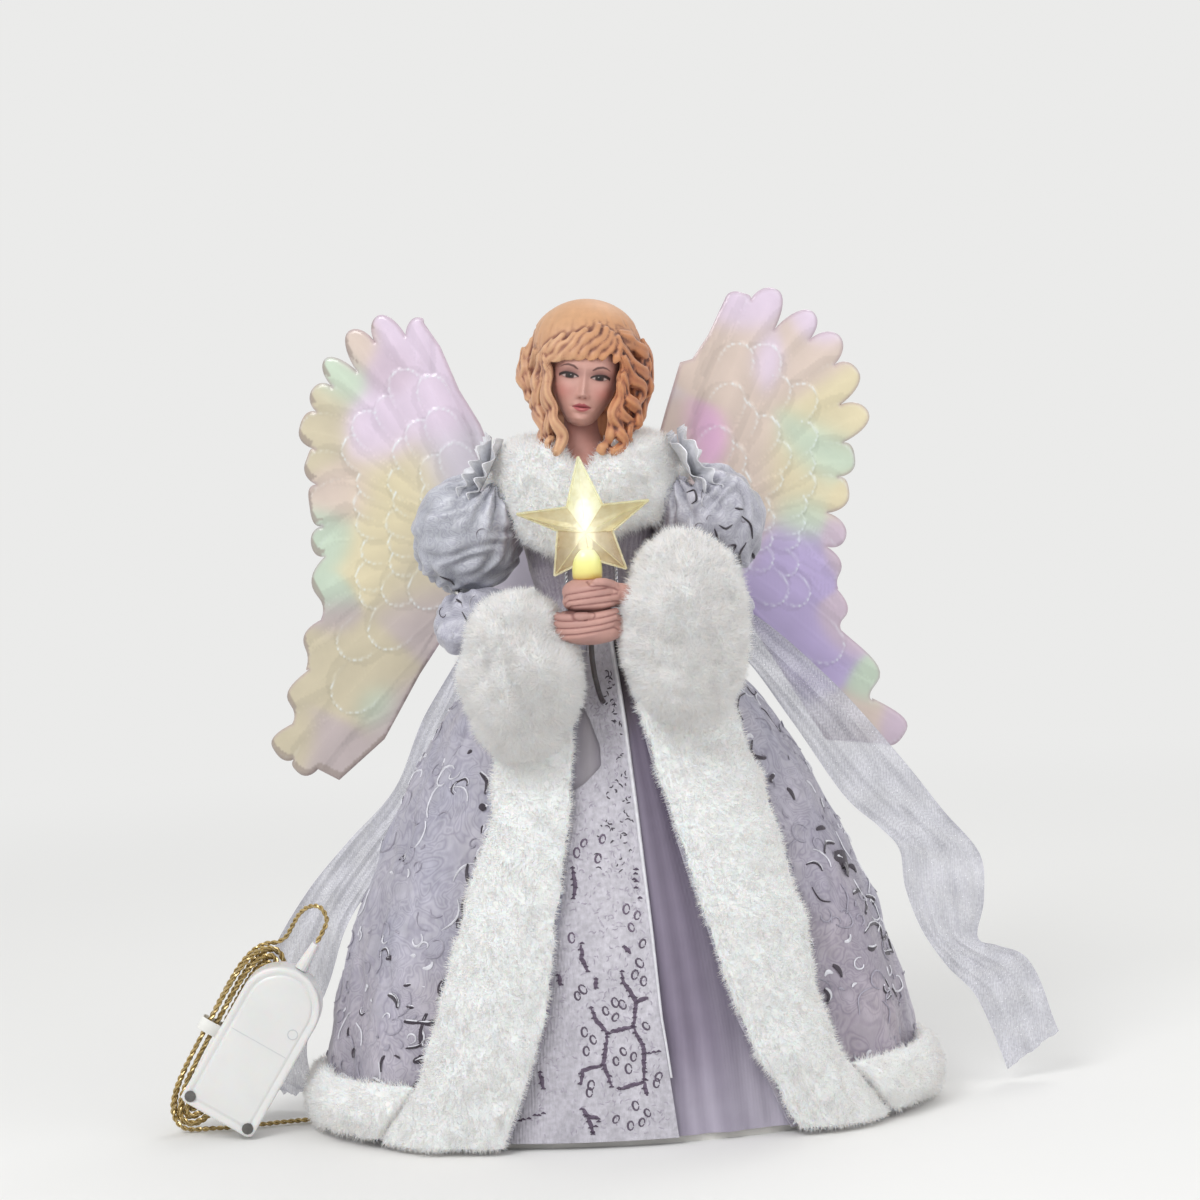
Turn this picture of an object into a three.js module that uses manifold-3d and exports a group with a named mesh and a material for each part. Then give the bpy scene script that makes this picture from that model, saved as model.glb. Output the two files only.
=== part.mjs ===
// Angel tree topper: a gowned doll on a hollow bell, with moulded wings, a lamp held in both hands, and a
// battery box on a thin lead. Millimetres, +Z up. The doll faces -Y. Left and right in names are as seen
// from the front, so left is towards -X.
import * as THREE from "three";
import { mergeVertices } from "three/addons/utils/BufferGeometryUtils.js";
import Module from "manifold-3d";

const wasm = await Module();
wasm.setup();

// Clearances
const clearance = 0.3; // between pieces that touch
const cloth_gap = 0.4; // between layers of cloth
const wire_gap = 0.5; // round a wire or a lead that runs through a soft piece
const overrun = 1; // how far a cutter runs past what it cuts
const weld = 1e-3; // points closer than this are one point

// Bell under the skirts, an open oval shell
const bell_height = 150;
const bell_half_width = 85;
const bell_half_depth = 48;
const bell_wall = 1.6;
const bell_sides = 24;
const skirt_sides = 36;
const puff_sides = 14;
const puff_rings = 9;
const sleeve_sides = 16;
const cuff_sides = 16;
const cuff_rings = 11;
const notch_width = 4; // way out for the lead, in the bell's lower edge
const notch_height = 3.4;
const notch_angle = -95; // degrees round from the front, towards +X
// Rows of height share and share of the half width, and of the half depth.
const bell_width_shares = [
  [0, 1], [0.2, 0.965], [0.413, 0.87], [0.667, 0.686], [0.833, 0.528], [1, 0.254],
];
const bell_depth_shares = [
  [0, 1], [0.2, 0.97], [0.413, 0.89], [0.667, 0.72], [0.833, 0.585], [1, 0.315],
];

// Clothes of the skirt, from the bell outwards
const gown_thickness = 0.8;
const gown_fold = 1.6; // depth of a fold at the hem
const gown_folds = 12;
const gown_hem = 2.3; // height of the hem above the floor
const lace_thickness = 0.7;
const robe_thickness = 1;
const robe_fold = 3;
const robe_folds = 12;
const robe_hem = 2.5;
const fur_depth = 5.5; // how far a fur border stands out from the robe
const fur_hem_height = 18;
const fur_hem_lift = 2.1;
const fur_edge_share = 0.12; // how full a border still is at its edges
const waist_gap_share = 0.03; // part of the bell's height that fur borders stay below its top
// Rows of height share and degrees round from the front.
const robe_left_edge_shares = [[0, -23], [0.25, -14.5], [0.66, -10.5], [1, -9]];
const robe_right_edge_shares = [[0, 33], [0.23, 23], [0.66, 15], [1, 9]];
const fur_left_edge_shares = [[0, -52], [0.14, -41], [0.27, -38], [0.66, -32], [1, -48]];
const fur_right_edge_shares = [[0, 58], [0.14, 45], [0.27, 41.5], [0.66, 46], [1, 52]];
const lace_left_edge_shares = [[0, -25], [0.25, -17], [1, -11]];
const lace_right_edge_shares = [[0, 10], [0.25, 7.8], [1, 6]];

// Torso, bodice and its piping
const torso_height = 53;
const torso_half_width = 21; // at the shoulders
const torso_half_depth = 13.5; // at the bust
const body_shift = -2; // how far the upper body sits towards -X of the bell's axis
const bodice_thickness = 1.2;
const piping_radius = 0.6;
const piping_angle = 22; // degrees each side of the front
const piping_row_shares = [0.1, 0.18, 0.3, 0.44, 0.56];
// Rows of height share, share of the half width and share of the half depth.
const torso_shares = [
  [0, 0.94, 1.04], [0.18, 0.74, 0.8], [0.5, 0.9, 1], [0.78, 1, 0.92], [0.9, 0.86, 0.76], [1, 0.36, 0.5],
];
const bodice_top_share = 0.84;

// Head: face, hair and neck are one casting
const head_height = 46.7; // from the torso's top to the top of the hair
const head_width_share = 0.43683; // its half width, as a share of its height
const head_depth_share = 0.36403; // its half depth, as a share of its height
const head_tilt_share = 0.1; // how far the head leans forward, as a share of its half depth
const neck_radius = 5.8;
// Rows of centre and half sizes as shares of the head's half width, half depth and half width.
const hair_shares = [
  [0, 0.12, -1, 0.95, 0.95, 0.98],
  [0, 0.32, -1.7, 0.82, 0.62, 0.82],
  [-0.66, 0, -1.42, 0.36, 0.5, 0.5],
  [0.66, 0, -1.42, 0.36, 0.5, 0.5],
  [-0.55, -0.05, -1.95, 0.28, 0.42, 0.46],
  [0.52, -0.05, -1.95, 0.34, 0.44, 0.44],
];
const face_shares = [-0.08, -0.22, -1.22, 0.6, 0.86, 0.72];

// Fur collar. Rows of height share above the waist, then shares of the half width and half depth.
const collar_half_width = 29.5;
const collar_half_depth = 22.5;
const collar_outer_shares = [
  [0.6, 0.9, 0.96], [0.73, 1, 1], [0.9, 0.98, 0.94], [1.02, 0.86, 0.78], [1.08, 0.62, 0.62],
];
const collar_inner_shares = [
  [0.6, 0.83, 0.74], [0.76, 0.83, 0.68], [0.93, 0.7, 0.6], [1.0, 0.46, 0.5], [1.08, 0.4, 0.48],
];

// Arms and sleeves. Their places are shares of the arm's spread, its reach and the torso's height.
const arm_spread = 36; // from the body's axis to the middle of a puffed sleeve
const arm_reach = 40; // from the body's axis forward to the hands
const arm_wire_radius = 0.8;
const bore_tip_share = -0.4; // how far a wire's bore runs past its tip, as a share of its last piece
const bore_root_share = -0.6; // and past its root, as a share of its first piece
const arm_left_shares = [
  [0.64, 0.03, 0.77], [0.86, 0.1, 0.68], [1.08, 0.19, 0.45], [1.12, 0.34, 0.2], [0.9, 0.62, 0.06], [0.62, 0.86, 0.04],
];
const arm_right_shares = [
  [0.64, 0.03, 0.77], [0.86, 0.1, 0.68], [1.08, 0.19, 0.47], [1.12, 0.34, 0.28], [0.9, 0.62, 0.2], [0.7, 0.86, 0.2],
];
const puff_radius = 17.5;
const puff_center_shares = [1.02, 0.18, 0.56];
const puff_size_shares = [0.98, 0.86, 1.02];
const ruffle_radius = 10.5;
const ruffle_thickness = 5;
const ruffle_waves = 9;
const ruffle_wave_share = 0.12;
const ruffle_ring_shares = [[-1, 0.66], [0, 1], [1, 0.6]]; // share of half the thickness, then of the radius
const ruffle_center_shares = [0.88, 0.14, 0.84];
const ruffle_tilt = 58; // degrees that the frill leans outwards
const sleeve_radius = 13;
const sleeve_depth_share = 0.8;
const sleeve_shares = [[1.02, 0.3, 0.26, 0.86], [0.98, 0.42, 0.08, 1], [0.9, 0.56, -0.12, 1.08]];

// Fur cuffs: rows of centre, then half sizes as shares of the cuff's half height.
const cuff_half_height = 26;
const cuff_left_shares = [0.62, 1, -0.2, 0.63, 0.46, 0.9];
const cuff_right_shares = [0.76, 1, 0.02, 0.66, 0.46, 1.1];
const cuff_tilt = 14; // degrees that a cuff's lower end stands forward

// Lamp in the hands: socket tube, bulb and star cover
const lamp_x = -1; // from the body's axis
const hands_rise = 15; // the upper hand's top above the waist
const hands_drop = 1.3; // the lower hand's underside below the waist
const upper_hand_size = [9.2, 6.6, 3.3];
const lower_hand_size = [11, 7.2, 4.6];
const upper_hand_offset = 3.4;
const lower_hand_offset = -0.6;
const socket_radius = 3.4;
const socket_rim_radius = 4.7;
const socket_rim_height = 1.1;
const bulb_collar_radius = 4.4;
const bulb_collar_height = 9;
const bulb_radius = 2.3;
const bulb_height = 14;
const bulb_shares = [[0, 0], [1, 0], [1, 0.62], [0.7, 0.86], [0.28, 0.97], [0, 1]]; // of its radius and height
const star_radius = 23;
const star_half_depth = 5.4;
const star_edge_half_depth = 1.1;
const star_seat = 4; // how far the star's middle stands above the bulb's collar
const star_cover_gap = 0.4;
// The ten corners, tip and valley in turn, as shares of the star's radius.
const star_corner_shares = [
  [-0.04, 1], [-0.22, 0.36], [-0.86, 0.31], [-0.35, 0.07], [-0.42, -0.5],
  [0.04, -0.3], [0.5, -0.46], [0.35, 0.03], [0.83, 0.4], [0.24, 0.37],
];

// Wings, drawn flat and swept back from their pins
const wing_height = 149;
const wing_drop = 49.3; // the lowest feather's tip below the waist
const wing_left_reach = 96;
const wing_right_reach = 89;
const wing_thickness = 1.4;
const wing_sweep = 12; // degrees
const wing_pin_x = 9;
const wing_pin_y = 27;
const wing_pin_radius = 1;
const wing_knuckle_radius = 2.6;
const wing_pin_gap = 0.3;
// Feathers down the outer edge: rows of tip and of the notch after it, as shares of reach and height.
const wing_left_feather_shares = [
  [0.43, 0.982, 0.472, 0.945], [0.561, 0.99, 0.575, 0.935], [0.66, 0.961, 0.64, 0.875],
  [0.745, 0.905, 0.725, 0.845], [0.79, 0.845, 0.785, 0.795], [0.845, 0.76, 0.795, 0.715],
  [0.83, 0.69, 0.8, 0.64], [0.825, 0.59, 0.785, 0.55], [0.828, 0.515, 0.785, 0.485],
  [0.815, 0.4, 0.805, 0.352], [0.868, 0.29, 0.86, 0.245], [0.93, 0.17, 0.925, 0.13],
  [1, 0.08, 0.93, 0.052], [0.915, 0.022, 0.85, 0.03],
];
const wing_right_feather_shares = [
  [0.475, 0.999, 0.512, 0.981], [0.61, 1, 0.59, 0.915], [0.733, 0.95, 0.715, 0.89],
  [0.825, 0.896, 0.8, 0.835], [0.887, 0.82, 0.815, 0.75], [0.917, 0.73, 0.82, 0.67],
  [0.86, 0.63, 0.795, 0.597], [0.833, 0.56, 0.75, 0.522], [0.814, 0.47, 0.742, 0.45],
  [0.783, 0.39, 0.77, 0.36], [0.792, 0.296, 0.78, 0.27], [0.898, 0.15, 0.88, 0.12],
  [1, 0.045, 0.91, 0.02],
];
// The edge from the lowest feather back to the root, then from the root up to the first feather.
const wing_left_inner_shares = [
  [0.78, 0.005], [0.62, 0.09], [0.49, 0.226], [0.393, 0.312], [0.2, 0.385], [0, 0.42],
  [0, 0.505], [0.12, 0.6], [0.213, 0.695], [0.243, 0.751], [0.306, 0.825], [0.36, 0.918], [0.41, 0.97],
];
const wing_right_inner_shares = [
  [0.706, 0.038], [0.59, 0.158], [0.45, 0.303], [0.393, 0.378], [0.2, 0.41], [0, 0.42],
  [0, 0.505], [0.09, 0.6], [0.158, 0.7], [0.194, 0.764], [0.251, 0.858], [0.295, 0.864], [0.355, 0.912], [0.42, 0.984],
];
const feather_steps = 2;
const feather_bulge_share = 0.28;

// Bracket that holds the wings on the back
const bracket_height = 19;
const bracket_lift = 10.5; // above the waist
const bracket_plate = 2.4;
const bracket_half_width = 12.4;
const ear_height = 2.5;
const ear_radius = 3.2;
const screw_radius = 1.1;
const screw_head_radius = 2.4;
const screw_head_height = 1.6;
const screw_length = 9;
const screw_spread = 5.5; // each screw's distance from the bracket's middle

// Organza scarf, from the end of the tail at +X, round the back, to the end of the tail at -X. Each row is
// a height share, degrees round from the front, then, in shares of the scarf's width, how far the inner edge
// stands off the robe, how far the outer edge stands out from it, and how far the outer edge rises over it.
const scarf_width = 27;
const scarf_thickness = 0.8;
const scarf_shares = [
  [0.025, 98, 1.02, 0.62, 0.4], [0.12, 98, 0.9, 0.66, 0.36], [0.19, 98, 0.78, 0.62, 0.38],
  [0.25, 98, 0.56, 0.6, 0.2], [0.33, 98, 0.4, 0.66, -0.14], [0.42, 98, 0.38, 0.92, -0.2],
  [0.5, 98, 0.52, 0.96, -0.14], [0.55, 99, 0.42, 0.76, 0.12], [0.62, 100, 0.2, 0.72, 0.36],
  [0.78, 102, 0.12, 0.5, 0.42], [0.92, 106, 0.22, 0.16, 0.46], [0.97, 122, 0.06, 0, 0.46],
  [0.97, 150, 0.06, 0, 0.44], [0.97, 180, 0.06, 0, 0.44], [0.97, 210, 0.06, 0, 0.44],
  [0.97, 228, 0.06, 0, 0.46], [0.92, 238, 0.14, 0.1, 0.46], [0.78, 234, 0.12, 0.3, 0.3],
  [0.62, 236, 0.12, 0.34, 0.3], [0.5, 246, 0.14, 0.4, 0.34], [0.4, 256, 0.16, 0.48, 0.36],
  [0.28, 256, 0.24, 0.72, 0.24], [0.16, 256, 0.4, 0.74, 0.06], [0.08, 254, 0.36, 0.6, -0.04],
  [0.04, 250, 0.3, 0.52, -0.06],
];
const scarf_steps = 48;
const scarf_across = 3;
const scarf_probe_share = 0.01;

// Battery box, leaning on the skirt beside the hem
const box_width = 25;
const box_length = 52;
const box_base_depth = 7.6;
const box_cover_depth = 3.2;
const box_wall = 1.3;
const box_lean = 33; // degrees from upright, towards the skirt
const box_standoff = 29.5; // from the bell's edge to where its lower corner stands
const box_y = -10.5;
const floor_gap = 0.3;
const boss_inset = 2.6; // a screw's distance from the flat end
const boss_spread = 10; // a screw's distance from the box's middle line
const boss_radius = 2.1;
const cover_screw_radius = 0.9;
const cover_screw_head_radius = 1.75;
const cover_screw_head_height = 1;
const cover_screw_length = 6;
const cell_wall_gap = 1.2; // from a cell to the box's side wall
const cell_end_gap = 2.1; // from the first cell to the end wall
const cell_between_gap = 0.8; // from cell to cell
const cell_switch_gap = 1.1; // from the second cell to the switch
const cell_thickness = 3.2;
const contact_thickness = 0.4;
const contact_width = 5;
const switch_size = [8, 2.6, 3.4];
const switch_inset = 5; // from the switch's middle to the tip of the round end
const knob_size = [2.4, 2.2];
const knob_height = 1.2; // above the box's back
const switch_travel = 3;
const relief_length = 9;
const relief_root_radius = 2.1;
const relief_tip_radius = 1.2;

// Lead. Its free routes are points chosen by hand, from the bell's axis. Inside the bell it follows the wall:
// rows of height share and degrees round from the front.
const lead_radius = 0.8;
const lead_sides = 8;
const inner_lead_steps = 36;
const inner_lead_points = [
  [-3, -40, -0.6], [-3, -40, -5], [-2.4, -38.4, -11], [-1, -32, -18], [0, -26, -20.2], [-1, -22.6, -21.4],
]; // with heights from the lower hand's underside
const inner_lead_shares = [
  [0.82, -12], [0.747, -30], [0.64, -47], [0.513, -61], [0.353, -74], [0.2, -84], [0.093, -90],
  [0.033, -93.5], [0.009, -95],
];
const inner_lead_end = [2.6, 4.18, 1.1]; // from the bell's edge at -X, as are the two routes below
const inner_lead_standoff = 3.8; // from the bell's outer face to the lead's middle
const floor_lead_points = [
  [2, 4.2, 1.1], [-1, 4.3, 1.1], [-7, 4.6, 1.1], [-15, 4.2, 1.1], [-23, 2.6, 1.1], [-30, 0.8, 1.1],
  [-37, -0.4, 1.1], [-44, -0.7, 1.1], [-48.8, -0.71, 1.1],
];
const box_lead_points = [
  [-21.55, 1.52, 57.5], [-19.4, 1.46, 57.6], [-16.6, 0.6, 59.4], [-14.4, -0.9, 62.8], [-12, -3, 66.5],
  [-8.6, -5.6, 69.2], [-4.9, -8, 69.2], [-2.9, -9.9, 65.6], [-4.6, -10.5, 61.6], [-6.43, -10.5, 58.8],
];
const hank_turns = 5.5;
const hank_half_length = 32;
const hank_half_width = 13;
const hank_waist_share = 0.66;
const hank_pitch = 2.25; // between neighbouring turns, and between the two layers
const hank_lean = 31; // degrees from upright
const hank_standoff = 35.5; // from the bell's edge to the hank's middle
const hank_y = 0.4;
const hank_steps = 24; // a turn
const hank_climb_share = 0.25; // part of a turn, each side of the middle, in which it changes layer
const hank_probe_share = 1e-3;
const hank_start_share = -0.214; // where on a turn the hank begins, from the waist at +X: its lowest point
const cord_nodes = ["floor_lead", "cord_hank", "hank_tie", "box_lead"];
const tie_width = 4;
const tie_thickness = 0.6;
const tie_slack = 0.6; // round the bundle

const deg = Math.PI / 180;
const waist = bell_height + clearance;
const head_top = waist + torso_height + head_height;
const head_half_width = head_height * head_width_share;
const head_half_depth = head_height * head_depth_share;
const hand_top = waist + hands_rise;
const hand_bottom = waist - hands_drop;
const wing_bottom = waist - wing_drop;
const doll = new THREE.Group();

// Reads a table whose rows start with a share, at any share from 0 to 1.
function read(rows, share, column = 1) {
  let i = 0;
  while (i < rows.length - 2 && rows[i + 1][0] < share) i++;
  const [low, high] = [rows[i], rows[i + 1]];
  const part = (share - low[0]) / (high[0] - low[0]);
  return low[column] + (high[column] - low[column]) * part;
}

// Turns a surface round if its faces point inwards.
function facingOut(geometry) {
  const place = geometry.getAttribute("position");
  const index = geometry.index.array;
  const [a, b, c] = [new THREE.Vector3(), new THREE.Vector3(), new THREE.Vector3()];
  let volume = 0;
  for (let i = 0; i < index.length; i += 3) {
    a.fromBufferAttribute(place, index[i]);
    b.fromBufferAttribute(place, index[i + 1]);
    c.fromBufferAttribute(place, index[i + 2]);
    volume += a.dot(b.cross(c));
  }
  if (volume < 0) {
    for (let i = 0; i < index.length; i += 3) {
      [index[i], index[i + 1]] = [index[i + 1], index[i]];
    }
  }
  return geometry;
}

function surface(points, index) {
  const flat = points.flatMap((p) => [p.x, p.y, p.z]);
  const geometry = new THREE.BufferGeometry();
  geometry.setAttribute("position", new THREE.Float32BufferAttribute(flat, 3));
  geometry.setIndex(index);
  return facingOut(geometry);
}

// A closed skin through rings of equally many points. With `through` the last ring joins the first, as on a
// shell that is open at both ends. Without it each end is closed by a fan.
function ringSkin(rings, through) {
  const count = rings[0].length;
  const points = rings.flat();
  const index = [];
  const last = through ? rings.length : rings.length - 1;
  for (let r = 0; r < last; r++) {
    for (let i = 0; i < count; i++) {
      const [a, b] = [r * count + i, r * count + ((i + 1) % count)];
      const next = ((r + 1) % rings.length) * count;
      const [c, d] = [next + ((i + 1) % count), next + i];
      index.push(a, b, c, a, c, d);
    }
  }
  if (!through) {
    for (const [ring, start] of [[rings[0], 0], [rings.at(-1), (rings.length - 1) * count]]) {
      const middle = ring.reduce((sum, p) => sum.add(p), new THREE.Vector3()).divideScalar(count);
      points.push(middle);
      for (let i = 0; i < count; i++) {
        const [a, b] = [start + i, start + ((i + 1) % count)];
        if (start) index.push(points.length - 1, a, b);
        else index.push(points.length - 1, b, a);
      }
    }
  }
  return surface(points, index);
}

// A closed sheet between two grids of points, `face` and `rear`, each a function of two shares.
function sheetSolid(face, rear, across, along) {
  const points = [];
  for (const side of [face, rear]) {
    for (let j = 0; j <= along; j++) {
      for (let i = 0; i <= across; i++) points.push(side(i / across, j / along));
    }
  }
  const row = across + 1;
  const half = row * (along + 1);
  const index = [];
  for (let j = 0; j < along; j++) {
    for (let i = 0; i < across; i++) {
      const a = j * row + i;
      index.push(a, a + 1, a + row + 1, a, a + row + 1, a + row);
      index.push(half + a, half + a + row + 1, half + a + 1, half + a, half + a + row, half + a + row + 1);
    }
  }
  const rim = [];
  for (let i = 0; i < across; i++) rim.push(i);
  for (let j = 0; j < along; j++) rim.push(j * row + across);
  for (let i = across; i > 0; i--) rim.push(along * row + i);
  for (let j = along; j > 0; j--) rim.push(j * row);
  rim.forEach((a, k) => {
    const b = rim[(k + 1) % rim.length];
    index.push(b, a, half + a, b, half + a, half + b);
  });
  return surface(points, index);
}

// Solids for joins and cuts
function solid(geometry) {
  const bare = geometry.clone();
  for (const name of Object.keys(bare.attributes)) {
    if (name !== "position") bare.deleteAttribute(name);
  }
  const merged = mergeVertices(bare, weld);
  return new wasm.Manifold(
    new wasm.Mesh({
      numProp: 3,
      vertProperties: merged.getAttribute("position").array,
      triVerts: new Uint32Array(merged.index.array),
    }),
  );
}

function shapeOf(made) {
  const mesh = made.getMesh();
  const geometry = new THREE.BufferGeometry();
  geometry.setAttribute("position", new THREE.BufferAttribute(mesh.vertProperties, 3));
  geometry.setIndex(new THREE.BufferAttribute(mesh.triVerts, 1));
  return geometry;
}

function join(...geometries) {
  return shapeOf(geometries.map(solid).reduce((sum, next) => sum.add(next)));
}

function cut(geometry, ...cutters) {
  return shapeOf(cutters.map(solid).reduce((rest, next) => rest.subtract(next), solid(geometry)));
}

// The largest of the bodies that a cut leaves.
function mainBody(geometry) {
  const bodies = solid(geometry).decompose();
  return shapeOf(bodies.reduce((best, next) => (next.volume() > best.volume() ? next : best)));
}

function cylinder(radius, low, high, sides = 20) {
  const length = high - low;
  const geometry = new THREE.CylinderGeometry(radius, radius, length, sides);
  return geometry.rotateX(Math.PI / 2).translate(0, 0, low + length / 2);
}

function ellipsoid(center, sizes, around = 20, down = 12) {
  const geometry = new THREE.SphereGeometry(1, around, down).rotateX(Math.PI / 2);
  return geometry.scale(...sizes).translate(...center);
}

function block(low, high) {
  const size = high.map((v, i) => v - low[i]);
  const middle = high.map((v, i) => (v + low[i]) / 2);
  return new THREE.BoxGeometry(...size).translate(...middle);
}

function tube(points, radius, sides, steps) {
  const path = new THREE.CatmullRomCurve3(points, false, "centripetal");
  const section = new THREE.Shape();
  for (let i = 0; i < sides; i++) {
    const angle = (2 * Math.PI * i) / sides;
    const [x, y] = [radius * Math.cos(angle), radius * Math.sin(angle)];
    if (i) section.lineTo(x, y);
    else section.moveTo(x, y);
  }
  section.closePath();
  return new THREE.ExtrudeGeometry(section, { steps, bevelEnabled: false, extrudePath: path });
}

function vectors(rows) {
  return rows.map((row) => new THREE.Vector3(...row));
}

const looks = {
  card: [0xd8d2c4, 0.9, 0],
  satin: [0x8e8a9c, 0.5, 0],
  lace: [0xb8b4c2, 0.7, 0],
  brocade: [0xb2b0be, 0.6, 0.1],
  fur: [0xf2f1ef, 1, 0],
  skin: [0xbe968c, 0.7, 0],
  hair: [0xbe6e4b, 0.8, 0],
  wire: [0x9a9a9c, 0.4, 1],
  pearl: [0xd8cfe0, 0.3, 0],
  white: [0xf0f0f0, 0.45, 0],
  amber: [0xf0d070, 0.15, 0],
  glow: [0xfff3c0, 0.3, 0],
  dark: [0x3a302a, 0.5, 0],
  screw: [0x5c5854, 0.35, 1],
  steel: [0xb8b8bc, 0.3, 1],
  organza: [0xb8b8c6, 0.6, 0],
  silver: [0xd4d4dc, 0.35, 0.6],
  cord: [0xa08040, 0.35, 0.3],
};

function add(name, geometry, look, group = doll) {
  const [color, roughness, metalness] = looks[look];
  const material = new THREE.MeshStandardMaterial({ color, roughness, metalness });
  const mesh = new THREE.Mesh(geometry, material);
  mesh.name = name;
  group.add(mesh);
  return mesh;
}

// Half sizes of the bell's outer face at a height, and a point at an offset outside it.
function bellHalf(z) {
  const share = THREE.MathUtils.clamp(z / bell_height, 0, 1);
  return [bell_half_width * read(bell_width_shares, share), bell_half_depth * read(bell_depth_shares, share)];
}

function bellPoint(angle, z, offset) {
  const [a, b] = bellHalf(z);
  return new THREE.Vector3((a + offset) * Math.sin(angle), -(b + offset) * Math.cos(angle), z);
}

// Depth of folds: none at the waist and the full depth at the hem.
function fold(angle, z, depth, count) {
  const spread = 1 - z / bell_height;
  return (depth * spread * (1 + Math.cos(count * angle))) / 2;
}

const gown_inside = cloth_gap;
const gown_outside = (angle, z) => gown_inside + gown_thickness + fold(angle, z, gown_fold, gown_folds);
const lace_inside = (z) => gown_inside + gown_thickness + gown_fold * (1 - z / bell_height) + cloth_gap;
const robe_inside = (z) => lace_inside(z) + lace_thickness + cloth_gap;
const robe_outside = (angle, z) => robe_inside(z) + robe_thickness + fold(angle, z, robe_fold, robe_folds);
const robe_limit = (z) => robe_inside(z) + robe_thickness + robe_fold * (1 - z / bell_height);
const fur_limit = (z) => robe_limit(z) + cloth_gap + fur_depth;

// Heights from bottom to top, with every row of the bell's tables and of `more` between them.
function levelsBetween(bottom, top, more = []) {
  const rows = [...bell_width_shares, ...more].map(([share]) => share * bell_height);
  const between = rows.filter((z) => z > bottom + overrun && z < top - overrun);
  return [...new Set([bottom, ...between, top])].sort((a, b) => a - b);
}

// An open shell round the bell, between two offsets.
function shell(bottom, top, inside, outside, around) {
  const rings = [];
  const levels = levelsBetween(bottom, top);
  const ring = (z, offset) => {
    const points = [];
    for (let i = 0; i < around; i++) {
      const angle = (2 * Math.PI * i) / around;
      points.push(bellPoint(angle, z, offset(angle, z)));
    }
    return points;
  };
  for (const z of levels) rings.push(ring(z, outside));
  for (const z of levels.toReversed()) rings.push(ring(z, inside));
  return ringSkin(rings, true);
}

// A sheet on the bell between two edges, each giving degrees by height share.
function bellSheet(levels, edges, inside, outside, across) {
  const along = levels.length - 1;
  const place = (offset) => (u, v) => {
    const z = levels[Math.round(v * along)];
    const [from, to] = edges.map((edge) => edge(z / bell_height) * deg);
    const angle = from + (to - from) * u;
    return bellPoint(angle, z, offset(angle, z, u, v));
  };
  return sheetSolid(place(outside), place(inside), across, along);
}

const tableEdge = (rows) => (share) => read(rows, share);

const bell_edge = -bell_half_width;
const besideBell = (points) => vectors(points).map((p) => p.setX(p.x + bell_edge));

function innerLead() {
  const along = inner_lead_shares.map(([share, angle]) => {
    return bellPoint(angle * deg, share * bell_height, -inner_lead_standoff);
  });
  const start = vectors(inner_lead_points).map((p) => p.setZ(p.z + hand_bottom));
  return [...start, ...along, ...besideBell([inner_lead_end])];
}

const leadBore = () => tube(innerLead(), lead_radius + wire_gap, 6, inner_lead_steps);

function makeBell() {
  const inner = -bell_wall;
  const wall = shell(0, bell_height, () => inner, () => 0, bell_sides);
  const middle = bellPoint(notch_angle * deg, notch_height, inner / 2);
  const reach = bell_wall + overrun + notch_width;
  const notch = block(
    [-notch_width / 2, -reach, -overrun],
    [notch_width / 2, reach, notch_height],
  ).rotateZ(notch_angle * deg).translate(middle.x, middle.y, 0);
  add("bell_form", cut(wall, notch, leadBore()), "card");
}

function makeSkirts() {
  const way = leadBore();
  const gown_top = bell_height - clearance;
  const gown = shell(gown_hem, gown_top, () => gown_inside, gown_outside, gown_folds * 4);
  add("gown_skirt", cut(gown, way), "satin");
  const lace_edges = [tableEdge(lace_left_edge_shares), tableEdge(lace_right_edge_shares)];
  const lace = bellSheet(
    levelsBetween(gown_hem, gown_top, lace_left_edge_shares), lace_edges,
    (angle, z) => lace_inside(z), (angle, z) => lace_inside(z) + lace_thickness, 8,
  );
  add("lace_panel", cut(lace, way), "lace");
  const round = 360;
  const robe_edges = [tableEdge(robe_right_edge_shares), (share) => round + read(robe_left_edge_shares, share)];
  const robe_levels = levelsBetween(robe_hem, gown_top, robe_left_edge_shares);
  const robe = bellSheet(robe_levels, robe_edges, (angle, z) => robe_inside(z), robe_outside, robe_folds * 4);
  add("robe", robe, "brocade");
}

const furCrown = (z, share) => {
  const swell = Math.sqrt(Math.max(fur_edge_share, Math.sin(Math.PI * share)));
  return robe_limit(z) + cloth_gap + fur_depth * swell;
};
const furBack = (angle, z) => robe_limit(z) + cloth_gap;

function makeFurBorders() {
  const top = bell_height * (1 - waist_gap_share);
  const left = [tableEdge(fur_left_edge_shares), tableEdge(robe_left_edge_shares)];
  const right = [tableEdge(robe_right_edge_shares), tableEdge(fur_right_edge_shares)];
  const hem_levels = [];
  const steps = 4;
  for (let j = 0; j <= steps; j++) hem_levels.push(fur_hem_lift + (fur_hem_height * j) / steps);
  const hem_shares = hem_levels.map((z) => [z / bell_height]);
  const levels = levelsBetween(fur_hem_lift, top, [...hem_shares, ...fur_left_edge_shares]);
  const crown = (angle, z, u) => furCrown(z, u);
  add("fur_border_left", bellSheet(levels, left, furBack, crown, 6), "fur");
  add("fur_border_right", bellSheet(levels, right, furBack, crown, 6), "fur");
  const round = 360;
  const gap = Math.atan(clearance / bell_half_depth) / deg;
  const edges = [
    (share) => read(fur_right_edge_shares, share) + gap,
    (share) => round + read(fur_left_edge_shares, share) - gap,
  ];
  const hem_crown = (angle, z, u, v) => furCrown(z, v);
  add("fur_hem", bellSheet(hem_levels, edges, furBack, hem_crown, skirt_sides), "fur");
}

// The upper body stands in a group of its own, whose axis is a little off the bell's.
const bust = new THREE.Group();
bust.position.x = body_shift;
doll.add(bust);

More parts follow.
